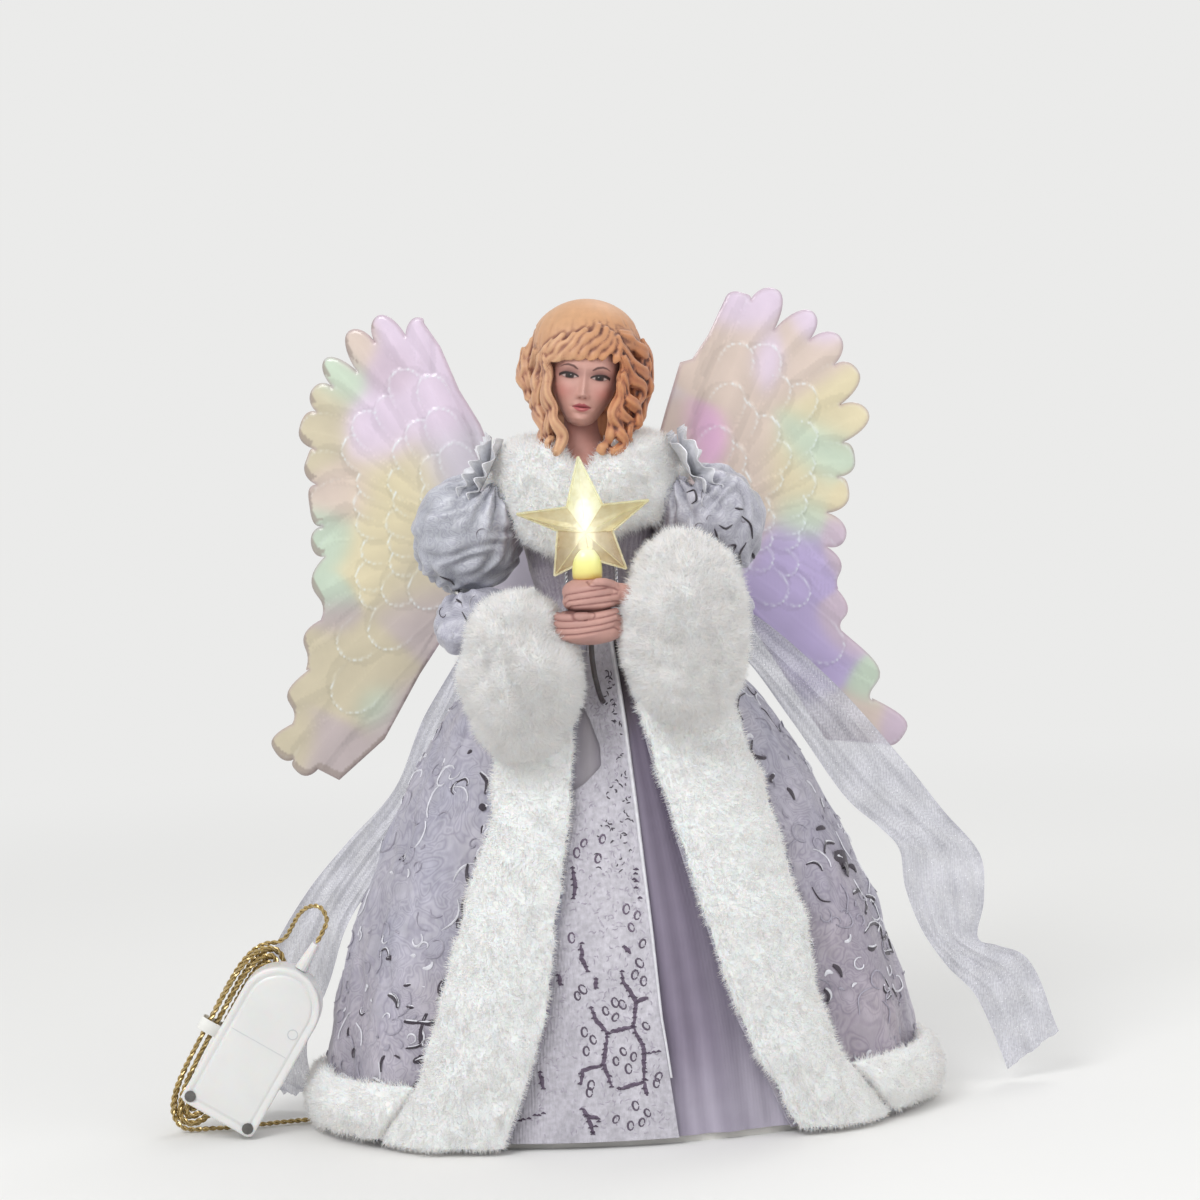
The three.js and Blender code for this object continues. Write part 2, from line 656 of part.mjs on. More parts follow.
function ovalRing(halfWidth, halfDepth, z, around = bell_sides) {
  const points = [];
  for (let i = 0; i < around; i++) {
    const angle = (2 * Math.PI * i) / around;
    points.push(new THREE.Vector3(halfWidth * Math.sin(angle), -halfDepth * Math.cos(angle), z));
  }
  return points;
}

const torsoZ = (share) => waist + torso_height * share;

function torsoHalf(share, grow) {
  return [
    torso_half_width * read(torso_shares, share, 1) + grow,
    torso_half_depth * read(torso_shares, share, 2) + grow,
  ];
}

function armPoints(shares, side, hand) {
  const points = shares.map(([x, y, z]) => new THREE.Vector3(side * x * arm_spread, -y * arm_reach, torsoZ(z)));
  points.push(hand);
  return points;
}

const hand_x = lamp_x;
const hand_y = -arm_reach;
const upper_hand_z = hand_top - upper_hand_size[2];
const lower_hand_z = hand_bottom + lower_hand_size[2];
const wrist_gap = clearance + arm_wire_radius;
const left_wrist = new THREE.Vector3(
  hand_x + lower_hand_offset - lower_hand_size[0] - wrist_gap, hand_y, lower_hand_z,
);
const right_wrist = new THREE.Vector3(
  hand_x + upper_hand_offset + upper_hand_size[0] + wrist_gap, hand_y, upper_hand_z,
);
const arm_left = armPoints(arm_left_shares, -1, left_wrist);
const arm_right = armPoints(arm_right_shares, 1, right_wrist);
const arm_steps = 14;
const armBores = () => [arm_left, arm_right].map((points) => {
  const tip = points.at(-1).clone().lerp(points.at(-2), bore_tip_share);
  const root = points[0].clone().lerp(points[1], bore_root_share);
  return tube([root, ...points, tip], arm_wire_radius + wire_gap, 6, arm_steps + 2);
});

const bracket_low = waist + bracket_lift;
const bracket_high = bracket_low + bracket_height;
const bracket_middle = (bracket_low + bracket_high) / 2;
const bodice_back = torso_half_depth + clearance + bodice_thickness;
const bracket_front = bodice_back + clearance;
const bracket_back = bracket_front + bracket_plate;

function screwShank(radius, z) {
  const shank = cylinder(radius, -screw_length - overrun, overrun, 12);
  return shank.rotateX(-Math.PI / 2).translate(0, bracket_back, z);
}

const screw_heights = [bracket_middle - screw_spread, bracket_middle + screw_spread];
const screwBores = () => screw_heights.map((z) => screwShank(screw_radius + clearance, z));

function makeTorso() {
  const rings = torso_shares.map(([share]) => ovalRing(...torsoHalf(share, 0), torsoZ(share)));
  add("torso", cut(ringSkin(rings, false), ...screwBores()), "skin", bust);
  const levels = torso_shares.map(([share]) => share).filter((share) => share < bodice_top_share);
  levels.push(bodice_top_share);
  const layer = (grow) => levels.map((share) => ovalRing(...torsoHalf(share, grow), torsoZ(share)));
  const inside = layer(clearance).reverse();
  const bodice = ringSkin([...layer(clearance + bodice_thickness), ...inside], true);
  add("bodice", cut(bodice, ...screwBores(), ...armBores()), "satin", bust);
  for (const [name, side] of [["left", -1], ["right", 1]]) {
    const points = [];
    const offset = bodice_thickness + 3 * clearance + piping_radius;
    for (const share of piping_row_shares) {
      const [a, b] = torsoHalf(share, offset);
      const angle = side * piping_angle * deg;
      points.push(new THREE.Vector3(a * Math.sin(angle), -b * Math.cos(angle), torsoZ(share)));
    }
    add("bodice_piping_" + name, tube(points, piping_radius, 6, 10), "silver", bust);
  }
}

function headSolid(grow) {
  const [w, d] = [head_half_width, head_half_depth];
  const lean = -head_tilt_share * d;
  const place = ([x, y, z, a, b, c]) => {
    const sizes = [a * w + grow, b * d + grow, c * w + grow];
    return ellipsoid([x * w, y * d + lean, head_top + z * w], sizes, 12, 8);
  };
  const neck_bottom = torsoZ(1) + clearance - grow;
  const neck = cylinder(neck_radius + grow, neck_bottom, head_top + face_shares[2] * w, 16).translate(0, lean / 2, 0);
  return join(place(face_shares), ...hair_shares.map(place), neck);
}

function makeHead() {
  add("head", mainBody(cut(headSolid(0), torsoEnvelope(clearance))), "hair", bust);
}

function collarRings(rows, grow) {
  return rows.map(([share, a, b]) => {
    return ovalRing(collar_half_width * a + grow, collar_half_depth * b + grow, torsoZ(share));
  });
}

function collarEnvelope() {
  return ringSkin(collarRings(collar_outer_shares, clearance), false);
}

function makeCollar() {
  const inner = collarRings(collar_inner_shares, 0).reverse();
  const collar = ringSkin([...collarRings(collar_outer_shares, 0), ...inner], true);
  add("collar_fur", mainBody(cut(collar, headSolid(clearance), ...armBores())), "fur", bust);
}

function ruffleSolid(side, grow) {
  const rings = [];
  const radius = ruffle_radius + grow;
  const half = ruffle_thickness / 2 + grow;
  const around = ruffle_waves * 3;
  for (const [height_share, share] of ruffle_ring_shares) {
    const ring = [];
    for (let i = 0; i < around; i++) {
      const angle = (2 * Math.PI * i) / around;
      const wave = 1 + ruffle_wave_share * Math.cos(ruffle_waves * angle);
      const r = radius * share * wave;
      ring.push(new THREE.Vector3(r * Math.cos(angle), r * Math.sin(angle), half * height_share));
    }
    rings.push(ring);
  }
  const [x, y, z] = ruffle_center_shares;
  const frill = ringSkin(rings, false).rotateY(side * ruffle_tilt * deg);
  return frill.translate(side * x * arm_spread, -y * arm_reach, torsoZ(z));
}

function puffSolid(side, grow) {
  const [x, y, z] = puff_center_shares;
  const sizes = puff_size_shares.map((share) => puff_radius * share + grow);
  return ellipsoid([side * x * arm_spread, -y * arm_reach, torsoZ(z)], sizes, puff_sides, puff_rings);
}

function sleeveSolid(side, grow) {
  const rings = sleeve_shares.map(([x, y, z, size]) => {
    const radius = sleeve_radius * size + grow;
    return ovalRing(radius, radius * sleeve_depth_share, 0, sleeve_sides).map((p) => {
      return p.add(new THREE.Vector3(side * x * arm_spread, -y * arm_reach, torsoZ(z)));
    });
  });
  return ringSkin(rings, false);
}

function cuffSolid(side, shares, grow) {
  const [x, y, z, a, b, c] = shares;
  const h = cuff_half_height;
  const cuff = ellipsoid([0, 0, 0], [a * h + grow, b * h + grow, c * h + grow], cuff_sides, cuff_rings);
  return cuff.rotateX(-cuff_tilt * deg).translate(side * x * arm_spread, -y * arm_reach, torsoZ(z));
}

// Everything of the dressed skirt, as one oval body that sleeves and cuffs keep clear of.
function skirtEnvelope() {
  const rings = levelsBetween(0, bell_height).map((z) => {
    const [a, b] = bellHalf(z);
    const offset = fur_limit(z) + 2 * clearance;
    return ovalRing(a + offset, b + offset, z, skirt_sides);
  });
  rings.push(rings.at(-1).map((p) => p.clone().setZ(bell_height + clearance)));
  return ringSkin(rings, false).translate(-body_shift, 0, 0);
}

function torsoEnvelope(grow) {
  const rings = torso_shares.map(([share]) => ovalRing(...torsoHalf(share, grow), torsoZ(share)));
  return ringSkin(rings, false);
}

function handSolids(grow) {
  const grown = (size) => size.map((v) => v + grow);
  return [
    ellipsoid([hand_x + upper_hand_offset, hand_y, upper_hand_z], grown(upper_hand_size), 14, 8),
    ellipsoid([hand_x + lower_hand_offset, hand_y, lower_hand_z], grown(lower_hand_size), 14, 8),
  ];
}

function makeArms() {
  add("arm_wire_left", tube(arm_left, arm_wire_radius, 6, arm_steps), "wire", bust);
  add("arm_wire_right", tube(arm_right, arm_wire_radius, 6, arm_steps), "wire", bust);
  const bore = cylinder(socket_radius + clearance, hand_bottom - overrun, hand_top + overrun, 16);
  bore.translate(hand_x, hand_y, 0);
  const [upper, lower] = handSolids(0);
  const way = leadBore().translate(-body_shift, 0, 0);
  add("hand_right", cut(upper, bore), "skin", bust);
  add("hand_left", cut(lower, bore, way), "skin", bust);
}

function makeSleeves() {
  for (const [name, side, cuff_shares] of [["left", -1, cuff_left_shares], ["right", 1, cuff_right_shares]]) {
    const dressed = torsoEnvelope(bodice_thickness + 2 * clearance);
    const cut_by_body = [collarEnvelope(), dressed, ...armBores()];
    const ruffle = cut(ruffleSolid(side, 0), ...cut_by_body);
    add("shoulder_ruffle_" + name, mainBody(ruffle), "silver", bust);
    const puff = cut(puffSolid(side, 0), ruffleSolid(side, clearance), ...cut_by_body);
    add("puff_sleeve_" + name, mainBody(puff), "organza", bust);
    const keep_clear = [skirtEnvelope(), dressed, ...armBores(), ...handSolids(clearance)];
    const sleeve = cut(sleeveSolid(side, 0), puffSolid(side, clearance), ...keep_clear);
    add("lower_sleeve_" + name, mainBody(sleeve), "brocade", bust);
    const others = [sleeveSolid(side, clearance), puffSolid(side, clearance), collarEnvelope()];
    const cuff = cut(cuffSolid(side, cuff_shares, 0), ...others, ...keep_clear);
    add("cuff_fur_" + name, mainBody(cuff), "fur", bust);
  }
}

// Lamp: the socket tube runs up through both hands, and the star drops over the bulb.
const socket_low = hand_bottom - clearance;
const rim_low = hand_top + clearance;
const collar_low = rim_low + socket_rim_height + clearance;
const collar_high = collar_low + bulb_collar_height;
const star_middle = collar_high + star_seat;
const lamp_place = [hand_x, hand_y, 0];

function makeLamp() {
  const stem = cylinder(socket_radius, socket_low, rim_low + overrun, 16);
  const rim = cylinder(socket_rim_radius, rim_low, rim_low + socket_rim_height, 20);
  add("lamp_socket", join(stem, rim).translate(...lamp_place), "dark", bust);
  const ring = cylinder(bulb_collar_radius, collar_low, collar_high, 20);
  add("bulb_collar", ring.translate(...lamp_place), "amber", bust);
  const glass_low = collar_high + clearance;
  const profile = bulb_shares.map(([r, z]) => new THREE.Vector2(r * bulb_radius, z * bulb_height));
  const glass = new THREE.LatheGeometry(profile, 16).rotateX(Math.PI / 2);
  add("star_bulb", glass.translate(hand_x, hand_y, glass_low), "glow", bust);
}

function makeStar() {
  const rim = star_corner_shares.map(([x, z]) => [x * star_radius, z * star_radius]);
  const side = (y) => rim.map(([x, z]) => new THREE.Vector3(x, y, z));
  const rings = [side(-star_edge_half_depth), side(star_edge_half_depth)];
  const body = ringSkin(rings, false);
  const place = body.getAttribute("position");
  place.setXYZ(rim.length * 2, 0, -star_half_depth, 0);
  place.setXYZ(rim.length * 2 + 1, 0, star_half_depth, 0);
  body.translate(hand_x, hand_y, star_middle);
  const bore_top = collar_high + clearance + bulb_height + star_cover_gap;
  const bore = cylinder(bulb_radius + star_cover_gap, collar_low, bore_top, 16).translate(...lamp_place);
  const seat = cylinder(bulb_collar_radius + star_cover_gap, collar_low - overrun, collar_high + clearance, 20);
  add("star_cover", cut(body, bore, seat.translate(...lamp_place)), "amber", bust);
}

// Wings: each outline is drawn outwards from its pin, with a rounded lobe for each feather.
function featherLobe(from, tip, to) {
  const points = [];
  const middle = new THREE.Vector2().addVectors(from, to).multiplyScalar(0.5);
  for (const [start, end] of [[from, tip], [tip, to]]) {
    const control = start.clone().lerp(end, 0.5);
    const away = control.clone().sub(middle).multiplyScalar(feather_bulge_share);
    const curve = new THREE.QuadraticBezierCurve(start, control.add(away), end);
    points.push(...curve.getPoints(feather_steps).slice(0, -1));
  }
  return points;
}

function wingOutline(reach, feathers, inner) {
  const at = (u, v) => new THREE.Vector2(u * reach, wing_bottom + v * wing_height);
  const points = inner.map(([u, v]) => at(u, v));
  let from = points.at(-1);
  points.pop();
  for (const [u, v, nu, nv] of feathers) {
    const to = at(nu, nv);
    points.push(...featherLobe(from, at(u, v), to));
    from = to;
  }
  points.push(from);
  return points;
}

const knuckle_low = bracket_low + ear_height + clearance;
const knuckle_high = bracket_high - ear_height - clearance;
const root_cut_depth = wing_knuckle_radius + ear_radius;

function makeWing(name, side, reach, feathers, inner) {
  const outline = wingOutline(reach / Math.cos(wing_sweep * deg), feathers, inner);
  const shape = new THREE.Shape(outline);
  const plate = new THREE.ExtrudeGeometry(shape, { depth: wing_thickness, bevelEnabled: false });
  plate.translate(0, 0, -wing_thickness / 2).rotateX(Math.PI / 2);
  const root_top = block(
    [-wing_knuckle_radius - overrun, -root_cut_depth, knuckle_high],
    [wing_knuckle_radius + ear_radius, root_cut_depth, wing_bottom + wing_height],
  );
  const root_bottom = block(
    [-wing_knuckle_radius - overrun, -root_cut_depth, wing_bottom],
    [wing_knuckle_radius + ear_radius, root_cut_depth, knuckle_low],
  );
  const knuckle = cylinder(wing_knuckle_radius, knuckle_low, knuckle_high, 16);
  const bore = cylinder(wing_pin_radius + wing_pin_gap, knuckle_low - overrun, knuckle_high + overrun, 12);
  const wing = cut(join(cut(plate, root_top, root_bottom), knuckle), bore);
  if (side < 0) wing.rotateZ(Math.PI);
  const mesh = add("wing_" + name, wing, "pearl", bust);
  mesh.position.set(side * wing_pin_x, wing_pin_y, 0);
  mesh.rotation.z = side * wing_sweep * deg;
}

function makeWingBracket() {
  const plate = block(
    [-bracket_half_width, bracket_front, bracket_low],
    [bracket_half_width, bracket_back, bracket_high],
  );
  const pieces = [plate];
  for (const side of [-1, 1]) {
    for (const low of [bracket_low, bracket_high - ear_height]) {
      const high = low + ear_height;
      const ear = cylinder(ear_radius, low, high, 16).translate(side * wing_pin_x, wing_pin_y, 0);
      const arm = block([-ear_radius, bracket_back - overrun, low], [ear_radius, wing_pin_y, high]);
      pieces.push(ear, arm.translate(side * wing_pin_x, 0, 0));
    }
  }
  const bores = [-1, 1].map((side) => {
    const bore = cylinder(wing_pin_radius + wing_pin_gap, bracket_low - overrun, bracket_high + overrun, 12);
    return bore.translate(side * wing_pin_x, wing_pin_y, 0);
  });
  add("wing_bracket", cut(join(...pieces), ...bores, ...screwBores()), "white", bust);
  for (const [name, side] of [["left", -1], ["right", 1]]) {
    const pin = cylinder(wing_pin_radius, bracket_low, bracket_high, 12);
    add("wing_pin_" + name, pin.translate(side * wing_pin_x, wing_pin_y, 0), "steel", bust);
  }
  for (const [name, z] of [["lower", screw_heights[0]], ["upper", screw_heights[1]]]) {
    const head = cylinder(screw_head_radius, 0, screw_head_height, 14).translate(0, 0, clearance);
    const shank = cylinder(screw_radius, clearance - screw_length, clearance + overrun, 12);
    const screw = join(head, shank).rotateX(-Math.PI / 2).translate(0, bracket_back, z);
    add("bracket_screw_" + name, screw, "screw", bust);
  }
}

// The ribbon's thickness lies along its own face's direction at each point, because it turns as it falls.
function makeScarf() {
  const edge = (row, out) => {
    const [share, angle, off, width, rise] = row;
    const z = bell_height * share;
    const point = bellPoint(angle * deg, z, robe_limit(z) + scarf_width * (off + out * width));
    point.z = z + out * rise * scarf_width;
    return point;
  };
  const side = (out) => new THREE.CatmullRomCurve3(scarf_shares.map((row) => edge(row, out)), false, "centripetal");
  const [inner, outer] = [side(0), side(1)];
  const middle = (u, v) => {
    const point = inner.getPoint(v).lerp(outer.getPoint(v), u);
    point.y += Math.sin(2 * Math.PI * u) * scarf_thickness;
    return point;
  };
  const grid = (depth) => (u, v) => {
    const [back, ahead] = [Math.max(0, v - scarf_probe_share), Math.min(1, v + scarf_probe_share)];
    const along = middle(u, ahead).sub(middle(u, back));
    const across = outer.getPoint(v).sub(inner.getPoint(v));
    return middle(u, v).addScaledVector(across.cross(along).normalize(), depth);
  };
  const [face, rear] = [grid(scarf_thickness / 2), grid(-scarf_thickness / 2)];
  add("organza_scarf", sheetSolid(face, rear, scarf_across, scarf_steps), "organza");
}

// Battery box, built upright with its flat end at z 0, its cover towards -Y, then leaned over.
const box = new THREE.Group();
const box_depth = box_base_depth + box_cover_depth;
const box_back = box_depth / 2;
const box_split = box_back - box_base_depth;

function boxOutline(inset) {
  const half = box_width / 2 - inset;
  const shape = new THREE.Shape();
  shape.moveTo(-half, inset);
  shape.lineTo(half, inset);
  shape.lineTo(half, box_length - box_width / 2);
  shape.absarc(0, box_length - box_width / 2, half, 0, Math.PI, false);
  shape.closePath();
  return shape;
}

function boxSlab(inset, front, back) {
  const options = { depth: back - front, bevelEnabled: false, curveSegments: 12 };
  const slab = new THREE.ExtrudeGeometry(boxOutline(inset), options);
  return slab.rotateX(Math.PI / 2).translate(0, back, 0);
}

function acrossBox(radius, front, back, x, z, sides = 12) {
  return cylinder(radius, front, back, sides).rotateX(-Math.PI / 2).translate(x, 0, z);
}

const switch_place = box_length - switch_inset;

// The two cells fill the room between the end wall and the switch, or else the box's width.
const cells_low = box_wall + cell_end_gap;
const cells_high = switch_place - switch_size[2] / 2 - cell_switch_gap;
const cell_radius = Math.min(
  (cells_high - cells_low - cell_between_gap) / 4, box_width / 2 - box_wall - cell_wall_gap,
);
const cell_places = [cells_low + cell_radius, cells_high - cell_radius]; // along the box, from its flat end

const boss_places = [-boss_spread, boss_spread];
const pocket_back = box_back - box_wall;

function makeBox() {
  const shell_solid = cut(
    boxSlab(0, box_split + clearance / 2, box_back),
    boxSlab(box_wall, box_split - overrun, pocket_back),
  );
  const bosses = boss_places.map((x) => {
    return acrossBox(boss_radius, box_split + clearance / 2, pocket_back + overrun / 2, x, boss_inset);
  });
  const bores = boss_places.map((x) => {
    return acrossBox(cover_screw_radius + clearance, box_split - overrun, pocket_back, x, boss_inset);
  });
  const [knob_x, knob_z] = knob_size;
  const slot = block(
    [-knob_x / 2 - clearance, pocket_back - overrun, switch_place - knob_z / 2 - clearance],
    [knob_x / 2 + switch_travel + clearance, box_back + overrun, switch_place + knob_z / 2 + clearance],
  ).translate(-switch_travel / 2, 0, 0);
  add("box_base", cut(join(shell_solid, ...bosses), ...bores, slot), "white", box);
  const cover = cut(
    boxSlab(0, -box_back, box_split - clearance / 2),
    boxSlab(box_wall, -box_back + box_wall, box_split + overrun),
  );
  const posts = boss_places.map((x) => {
    return acrossBox(boss_radius, -box_back + box_wall / 2, box_split - clearance / 2, x, boss_inset);
  });
  const holes = boss_places.flatMap((x) => [
    acrossBox(cover_screw_radius + clearance, -box_back - overrun, box_split + overrun, x, boss_inset),
    acrossBox(
      cover_screw_head_radius + clearance, -box_back - overrun, -box_back + cover_screw_head_height, x, boss_inset,
    ),
  ]);
  add("box_cover", cut(join(cover, ...posts), ...holes), "white", box);
  ["1", "2"].forEach((name, i) => {
    const head_back = -box_back + cover_screw_head_height - clearance;
    const head = acrossBox(
      cover_screw_head_radius, head_back - cover_screw_head_height, head_back, boss_places[i], boss_inset,
    );
    const shank = acrossBox(
      cover_screw_radius, head_back - overrun / 2, head_back + cover_screw_length, boss_places[i], boss_inset,
    );
    add("cover_screw_" + name, join(head, shank), "screw", box);
  });
}

function makeBoxInside() {
  const bridge_back = pocket_back - clearance;
  const bridge_front = bridge_back - contact_thickness;
  const cell_back = bridge_front - clearance;
  const cell_front = cell_back - cell_thickness;
  cell_places.forEach((z, i) => {
    add("coin_cell_" + (i + 1), acrossBox(cell_radius, cell_front, cell_back, 0, z, 24), "steel", box);
  });
  const [low, high] = cell_places;
  add(
    "contact_bridge",
    block([-contact_width / 2, bridge_front, low], [contact_width / 2, bridge_back, high]),
    "steel", box,
  );
  const tab_back = cell_front - clearance;
  ["contact_plus", "contact_minus"].forEach((name, i) => {
    const z = cell_places[i];
    const tab = block(
      [-contact_width / 2, tab_back - contact_thickness, z - contact_width],
      [contact_width / 2, tab_back, z + contact_width],
    );
    add(name, tab, "steel", box);
  });
  const [width, depth, height] = switch_size;
  const body_back = pocket_back - clearance;
  add(
    "switch_body",
    block(
      [-width / 2, body_back - depth, switch_place - height / 2], [width / 2, body_back, switch_place + height / 2],
    ),
    "dark", box,
  );
  const [knob_x, knob_z] = knob_size;
  const knob = block(
    [-knob_x / 2, body_back + clearance, switch_place - knob_z / 2],
    [knob_x / 2, box_back + knob_height, switch_place + knob_z / 2],
  );
  add("switch_knob", knob.translate(-switch_travel / 2, 0, 0), "dark", box);
  const relief = new THREE.CylinderGeometry(relief_tip_radius, relief_root_radius, relief_length, 14);
  relief.rotateX(Math.PI / 2).translate(0, 0, box_length + clearance + relief_length / 2);
  add("strain_relief", relief, "white", box);
}

// The box's lower corner stands on the floor.
function placeBox() {
  const lean = box_lean * deg;
  const half = box_width / 2;
  box.rotation.y = lean;
  box.position.set(bell_edge - box_standoff - half * Math.cos(lean), box_y, half * Math.sin(lean) + floor_gap);
  doll.add(box);
}

// One turn of the hank is a long loop, drawn in at its waist. Turns spiral in on the lower layer and out
// again on the upper one.
function hankTurn(angle, inset) {
  const width = (t) => hank_half_width * (hank_waist_share + (1 - hank_waist_share) * Math.sin(t) ** 2);
  const at = (t) => new THREE.Vector2(Math.cos(t) * width(t), Math.sin(t) * hank_half_length);
  const along = at(angle + hank_probe_share).sub(at(angle - hank_probe_share)).normalize();
  const normal = new THREE.Vector2(along.y, -along.x);
  return at(angle).addScaledVector(normal, -inset);
}

function hankPoints() {
  const points = [];
  const count = Math.round(hank_turns * hank_steps);
  const half = hank_turns / 2;
  for (let i = 0; i <= count; i++) {
    const turn = (hank_turns * i) / count;
    const angle = -2 * Math.PI * (turn - hank_start_share);
    const inset = hank_pitch * (half - Math.abs(turn - half));
    const climb = THREE.MathUtils.smoothstep(turn, half - hank_climb_share, half + hank_climb_share);
    const { x, y } = hankTurn(angle, inset);
    points.push(new THREE.Vector3(x, hank_pitch * (climb - 0.5), y));
  }
  return points;
}

function leastSelfGap(points, radius, skip) {
  let least = Infinity;
  points.forEach((a, i) => {
    for (let j = i + skip; j < points.length; j++) least = Math.min(least, a.distanceTo(points[j]));
  });
  return least - 2 * radius;
}

function makeLead() {
  add("lamp_lead", tube(innerLead(), lead_radius, lead_sides, inner_lead_steps), "cord");
  add("floor_lead", tube(besideBell(floor_lead_points), lead_radius, lead_sides, 12), "cord");
  add("box_lead", tube(besideBell(box_lead_points), lead_radius, lead_sides, 14), "cord");
  const points = hankPoints();
  const lean = hank_lean * deg;
  const turned = points.map((p) => p.clone().applyAxisAngle(new THREE.Vector3(0, 1, 0), lean));
  const lowest = Math.min(...turned.map((p) => p.z));
  const rise = lead_radius + floor_gap - lowest;
  const placed = turned.map((p) => p.add(new THREE.Vector3(bell_edge - hank_standoff, hank_y, rise)));
  const steps = Math.round(hank_turns * hank_steps);
  add("cord_hank", tube(placed, lead_radius, 6, steps), "cord");
  const ends = [placed[0], placed.at(-1)].map((p) => p.toArray().map((v) => v.toFixed(2)).join(" "));
  console.log("hank starts and ends at", ends.join(" / "));
  console.log("least gap between turns", leastSelfGap(placed, lead_radius, 6).toFixed(2), "mm");
  const inner = hank_half_width * hank_waist_share + lead_radius + tie_slack;
  const depth = hank_pitch / 2 + lead_radius + tie_slack;
  const ring = (grow, z) => {
    const corner = new THREE.Vector3(inner + grow, depth + grow, z);
    return [[-1, -1], [1, -1], [1, 1], [-1, 1]].map(([x, y]) => corner.clone().multiply({ x, y, z: 1 }));
  };
  const half = tie_width / 2;
  const band = tie_thickness;
  const tie = ringSkin([ring(band, -half), ring(band, half), ring(0, half), ring(0, -half)], true);
  tie.rotateY(lean).translate(bell_edge - hank_standoff, hank_y, rise);
  add("hank_tie", tie, "white");
}

// The part's origin is the middle of its lower face, measured without the cord.
function centre() {
  doll.updateMatrixWorld(true);
  const bounds = new THREE.Box3();
  doll.traverse((o) => {
    if (o.isMesh && !cord_nodes.includes(o.name)) bounds.expandByObject(o, true);
  });
  const middle = bounds.getCenter(new THREE.Vector3());
  console.log("moved by", [-middle.x, -middle.y].map((v) => v.toFixed(3)).join(" "), "mm");
  doll.position.set(-middle.x, -middle.y, 0);
}

makeBell();
makeSkirts();
makeFurBorders();
makeTorso();
makeHead();
makeCollar();
makeArms();
makeSleeves();
makeLamp();
makeStar();
makeWing("left", -1, wing_left_reach, wing_left_feather_shares, wing_left_inner_shares);
makeWing("right", 1, wing_right_reach, wing_right_feather_shares, wing_right_inner_shares);
makeWingBracket();
makeScarf();
makeBox();
makeBoxInside();
placeBox();
makeLead();
centre();

export default doll;
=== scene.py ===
# %% [markdown]
# # An angel for the top of a Christmas tree
# The doll is a hollow bell dressed in satin, lace and brocade. Its head and hands are cast, its trim is long
# white pile, and its wings are thin pearl plastic. A lead runs from the lamp in its hands to a battery box.
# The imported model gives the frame: every piece below takes its place from it, and rides on one of its bodies.

# %% The frame
import math
import random

import bpy
import numpy as np
from mathutils import Matrix, Vector
from mathutils.bvhtree import BVHTree
from mathutils.geometry import delaunay_2d_cdt
from mathutils.kdtree import KDTree


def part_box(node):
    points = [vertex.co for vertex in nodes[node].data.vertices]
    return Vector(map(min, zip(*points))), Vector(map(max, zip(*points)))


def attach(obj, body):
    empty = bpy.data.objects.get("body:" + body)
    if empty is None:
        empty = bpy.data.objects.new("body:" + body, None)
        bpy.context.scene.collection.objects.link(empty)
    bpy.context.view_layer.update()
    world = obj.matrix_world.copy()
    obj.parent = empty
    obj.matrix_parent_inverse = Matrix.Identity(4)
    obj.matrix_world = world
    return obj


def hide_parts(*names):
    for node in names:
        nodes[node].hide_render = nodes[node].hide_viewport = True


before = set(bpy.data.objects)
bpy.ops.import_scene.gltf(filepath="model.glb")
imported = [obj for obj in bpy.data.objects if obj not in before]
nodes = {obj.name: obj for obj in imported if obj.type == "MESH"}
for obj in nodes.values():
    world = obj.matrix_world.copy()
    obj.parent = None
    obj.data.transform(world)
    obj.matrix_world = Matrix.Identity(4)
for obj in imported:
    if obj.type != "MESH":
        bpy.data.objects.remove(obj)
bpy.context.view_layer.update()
MM = 0.001
bell_low, bell_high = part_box("bell_form")
AXIS = np.array([(bell_low.x + bell_high.x) / 2, (bell_low.y + bell_high.y) / 2, 0.0])
print("the doll's axis stands at", AXIS.round(5))

# %% [markdown]
# Sizes are easiest to read in millimetres from the doll's own axis, so small helpers turn them into the
# frame's metres. A piece from points and faces is right for cloth, where each point has a reason. A primitive
# shaped in edit mode is right for hard pieces. Both end with their place in the mesh and the object at the
# origin.

# %% Helpers for places and pieces
def at(x, y, z):
    return Vector((x * MM + AXIS[0], y * MM + AXIS[1], z * MM))


def piece_from(name, points, faces):
    mesh = bpy.data.meshes.new(name)
    mesh.from_pydata((np.asarray(points, float) * MM + AXIS).tolist(), [], [list(f) for f in faces])
    mesh.validate()
    piece = bpy.data.objects.new(name, mesh)
    bpy.context.scene.collection.objects.link(piece)
    return piece


def only(piece):
    for other in bpy.context.selected_objects:
        other.select_set(False)
    piece.select_set(True)
    bpy.context.view_layer.objects.active = piece


def put(piece, name, material, body="doll", instead_of=(), smooth=True):
    only(piece)
    bpy.ops.object.transform_apply(location=True, rotation=True, scale=True)
    piece.name = piece.data.name = name
    piece.data.materials.clear()
    piece.data.materials.append(material)
    if smooth:
        bpy.ops.object.shade_smooth_by_angle(angle=math.radians(50))
    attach(piece, body)
    if instead_of:
        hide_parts(*instead_of)
    return piece


def smooth_all(piece):
    only(piece)
    bpy.ops.object.shade_smooth()


def apply_all(piece):
    only(piece)
    for modifier in list(piece.modifiers):
        bpy.ops.object.modifier_apply(modifier=modifier.name)
    return piece


def modify(piece, kind, **settings):
    modifier = piece.modifiers.new(kind.title(), kind)
    for key, value in settings.items():
        setattr(modifier, key, value)
    return apply_all(piece)


def grid_faces(columns, rows, wrap=False, start=0, flip=False):
    """Faces of a grid of points laid out row by row. With wrap the last column joins the first."""
    faces = []
    for r in range(rows - 1):
        for c in range(columns if wrap else columns - 1):
            d = (c + 1) % columns
            face = (start + r * columns + c, start + r * columns + d, start + (r + 1) * columns + d,
                    start + (r + 1) * columns + c)
            faces.append(face[::-1] if flip else face)
    return faces


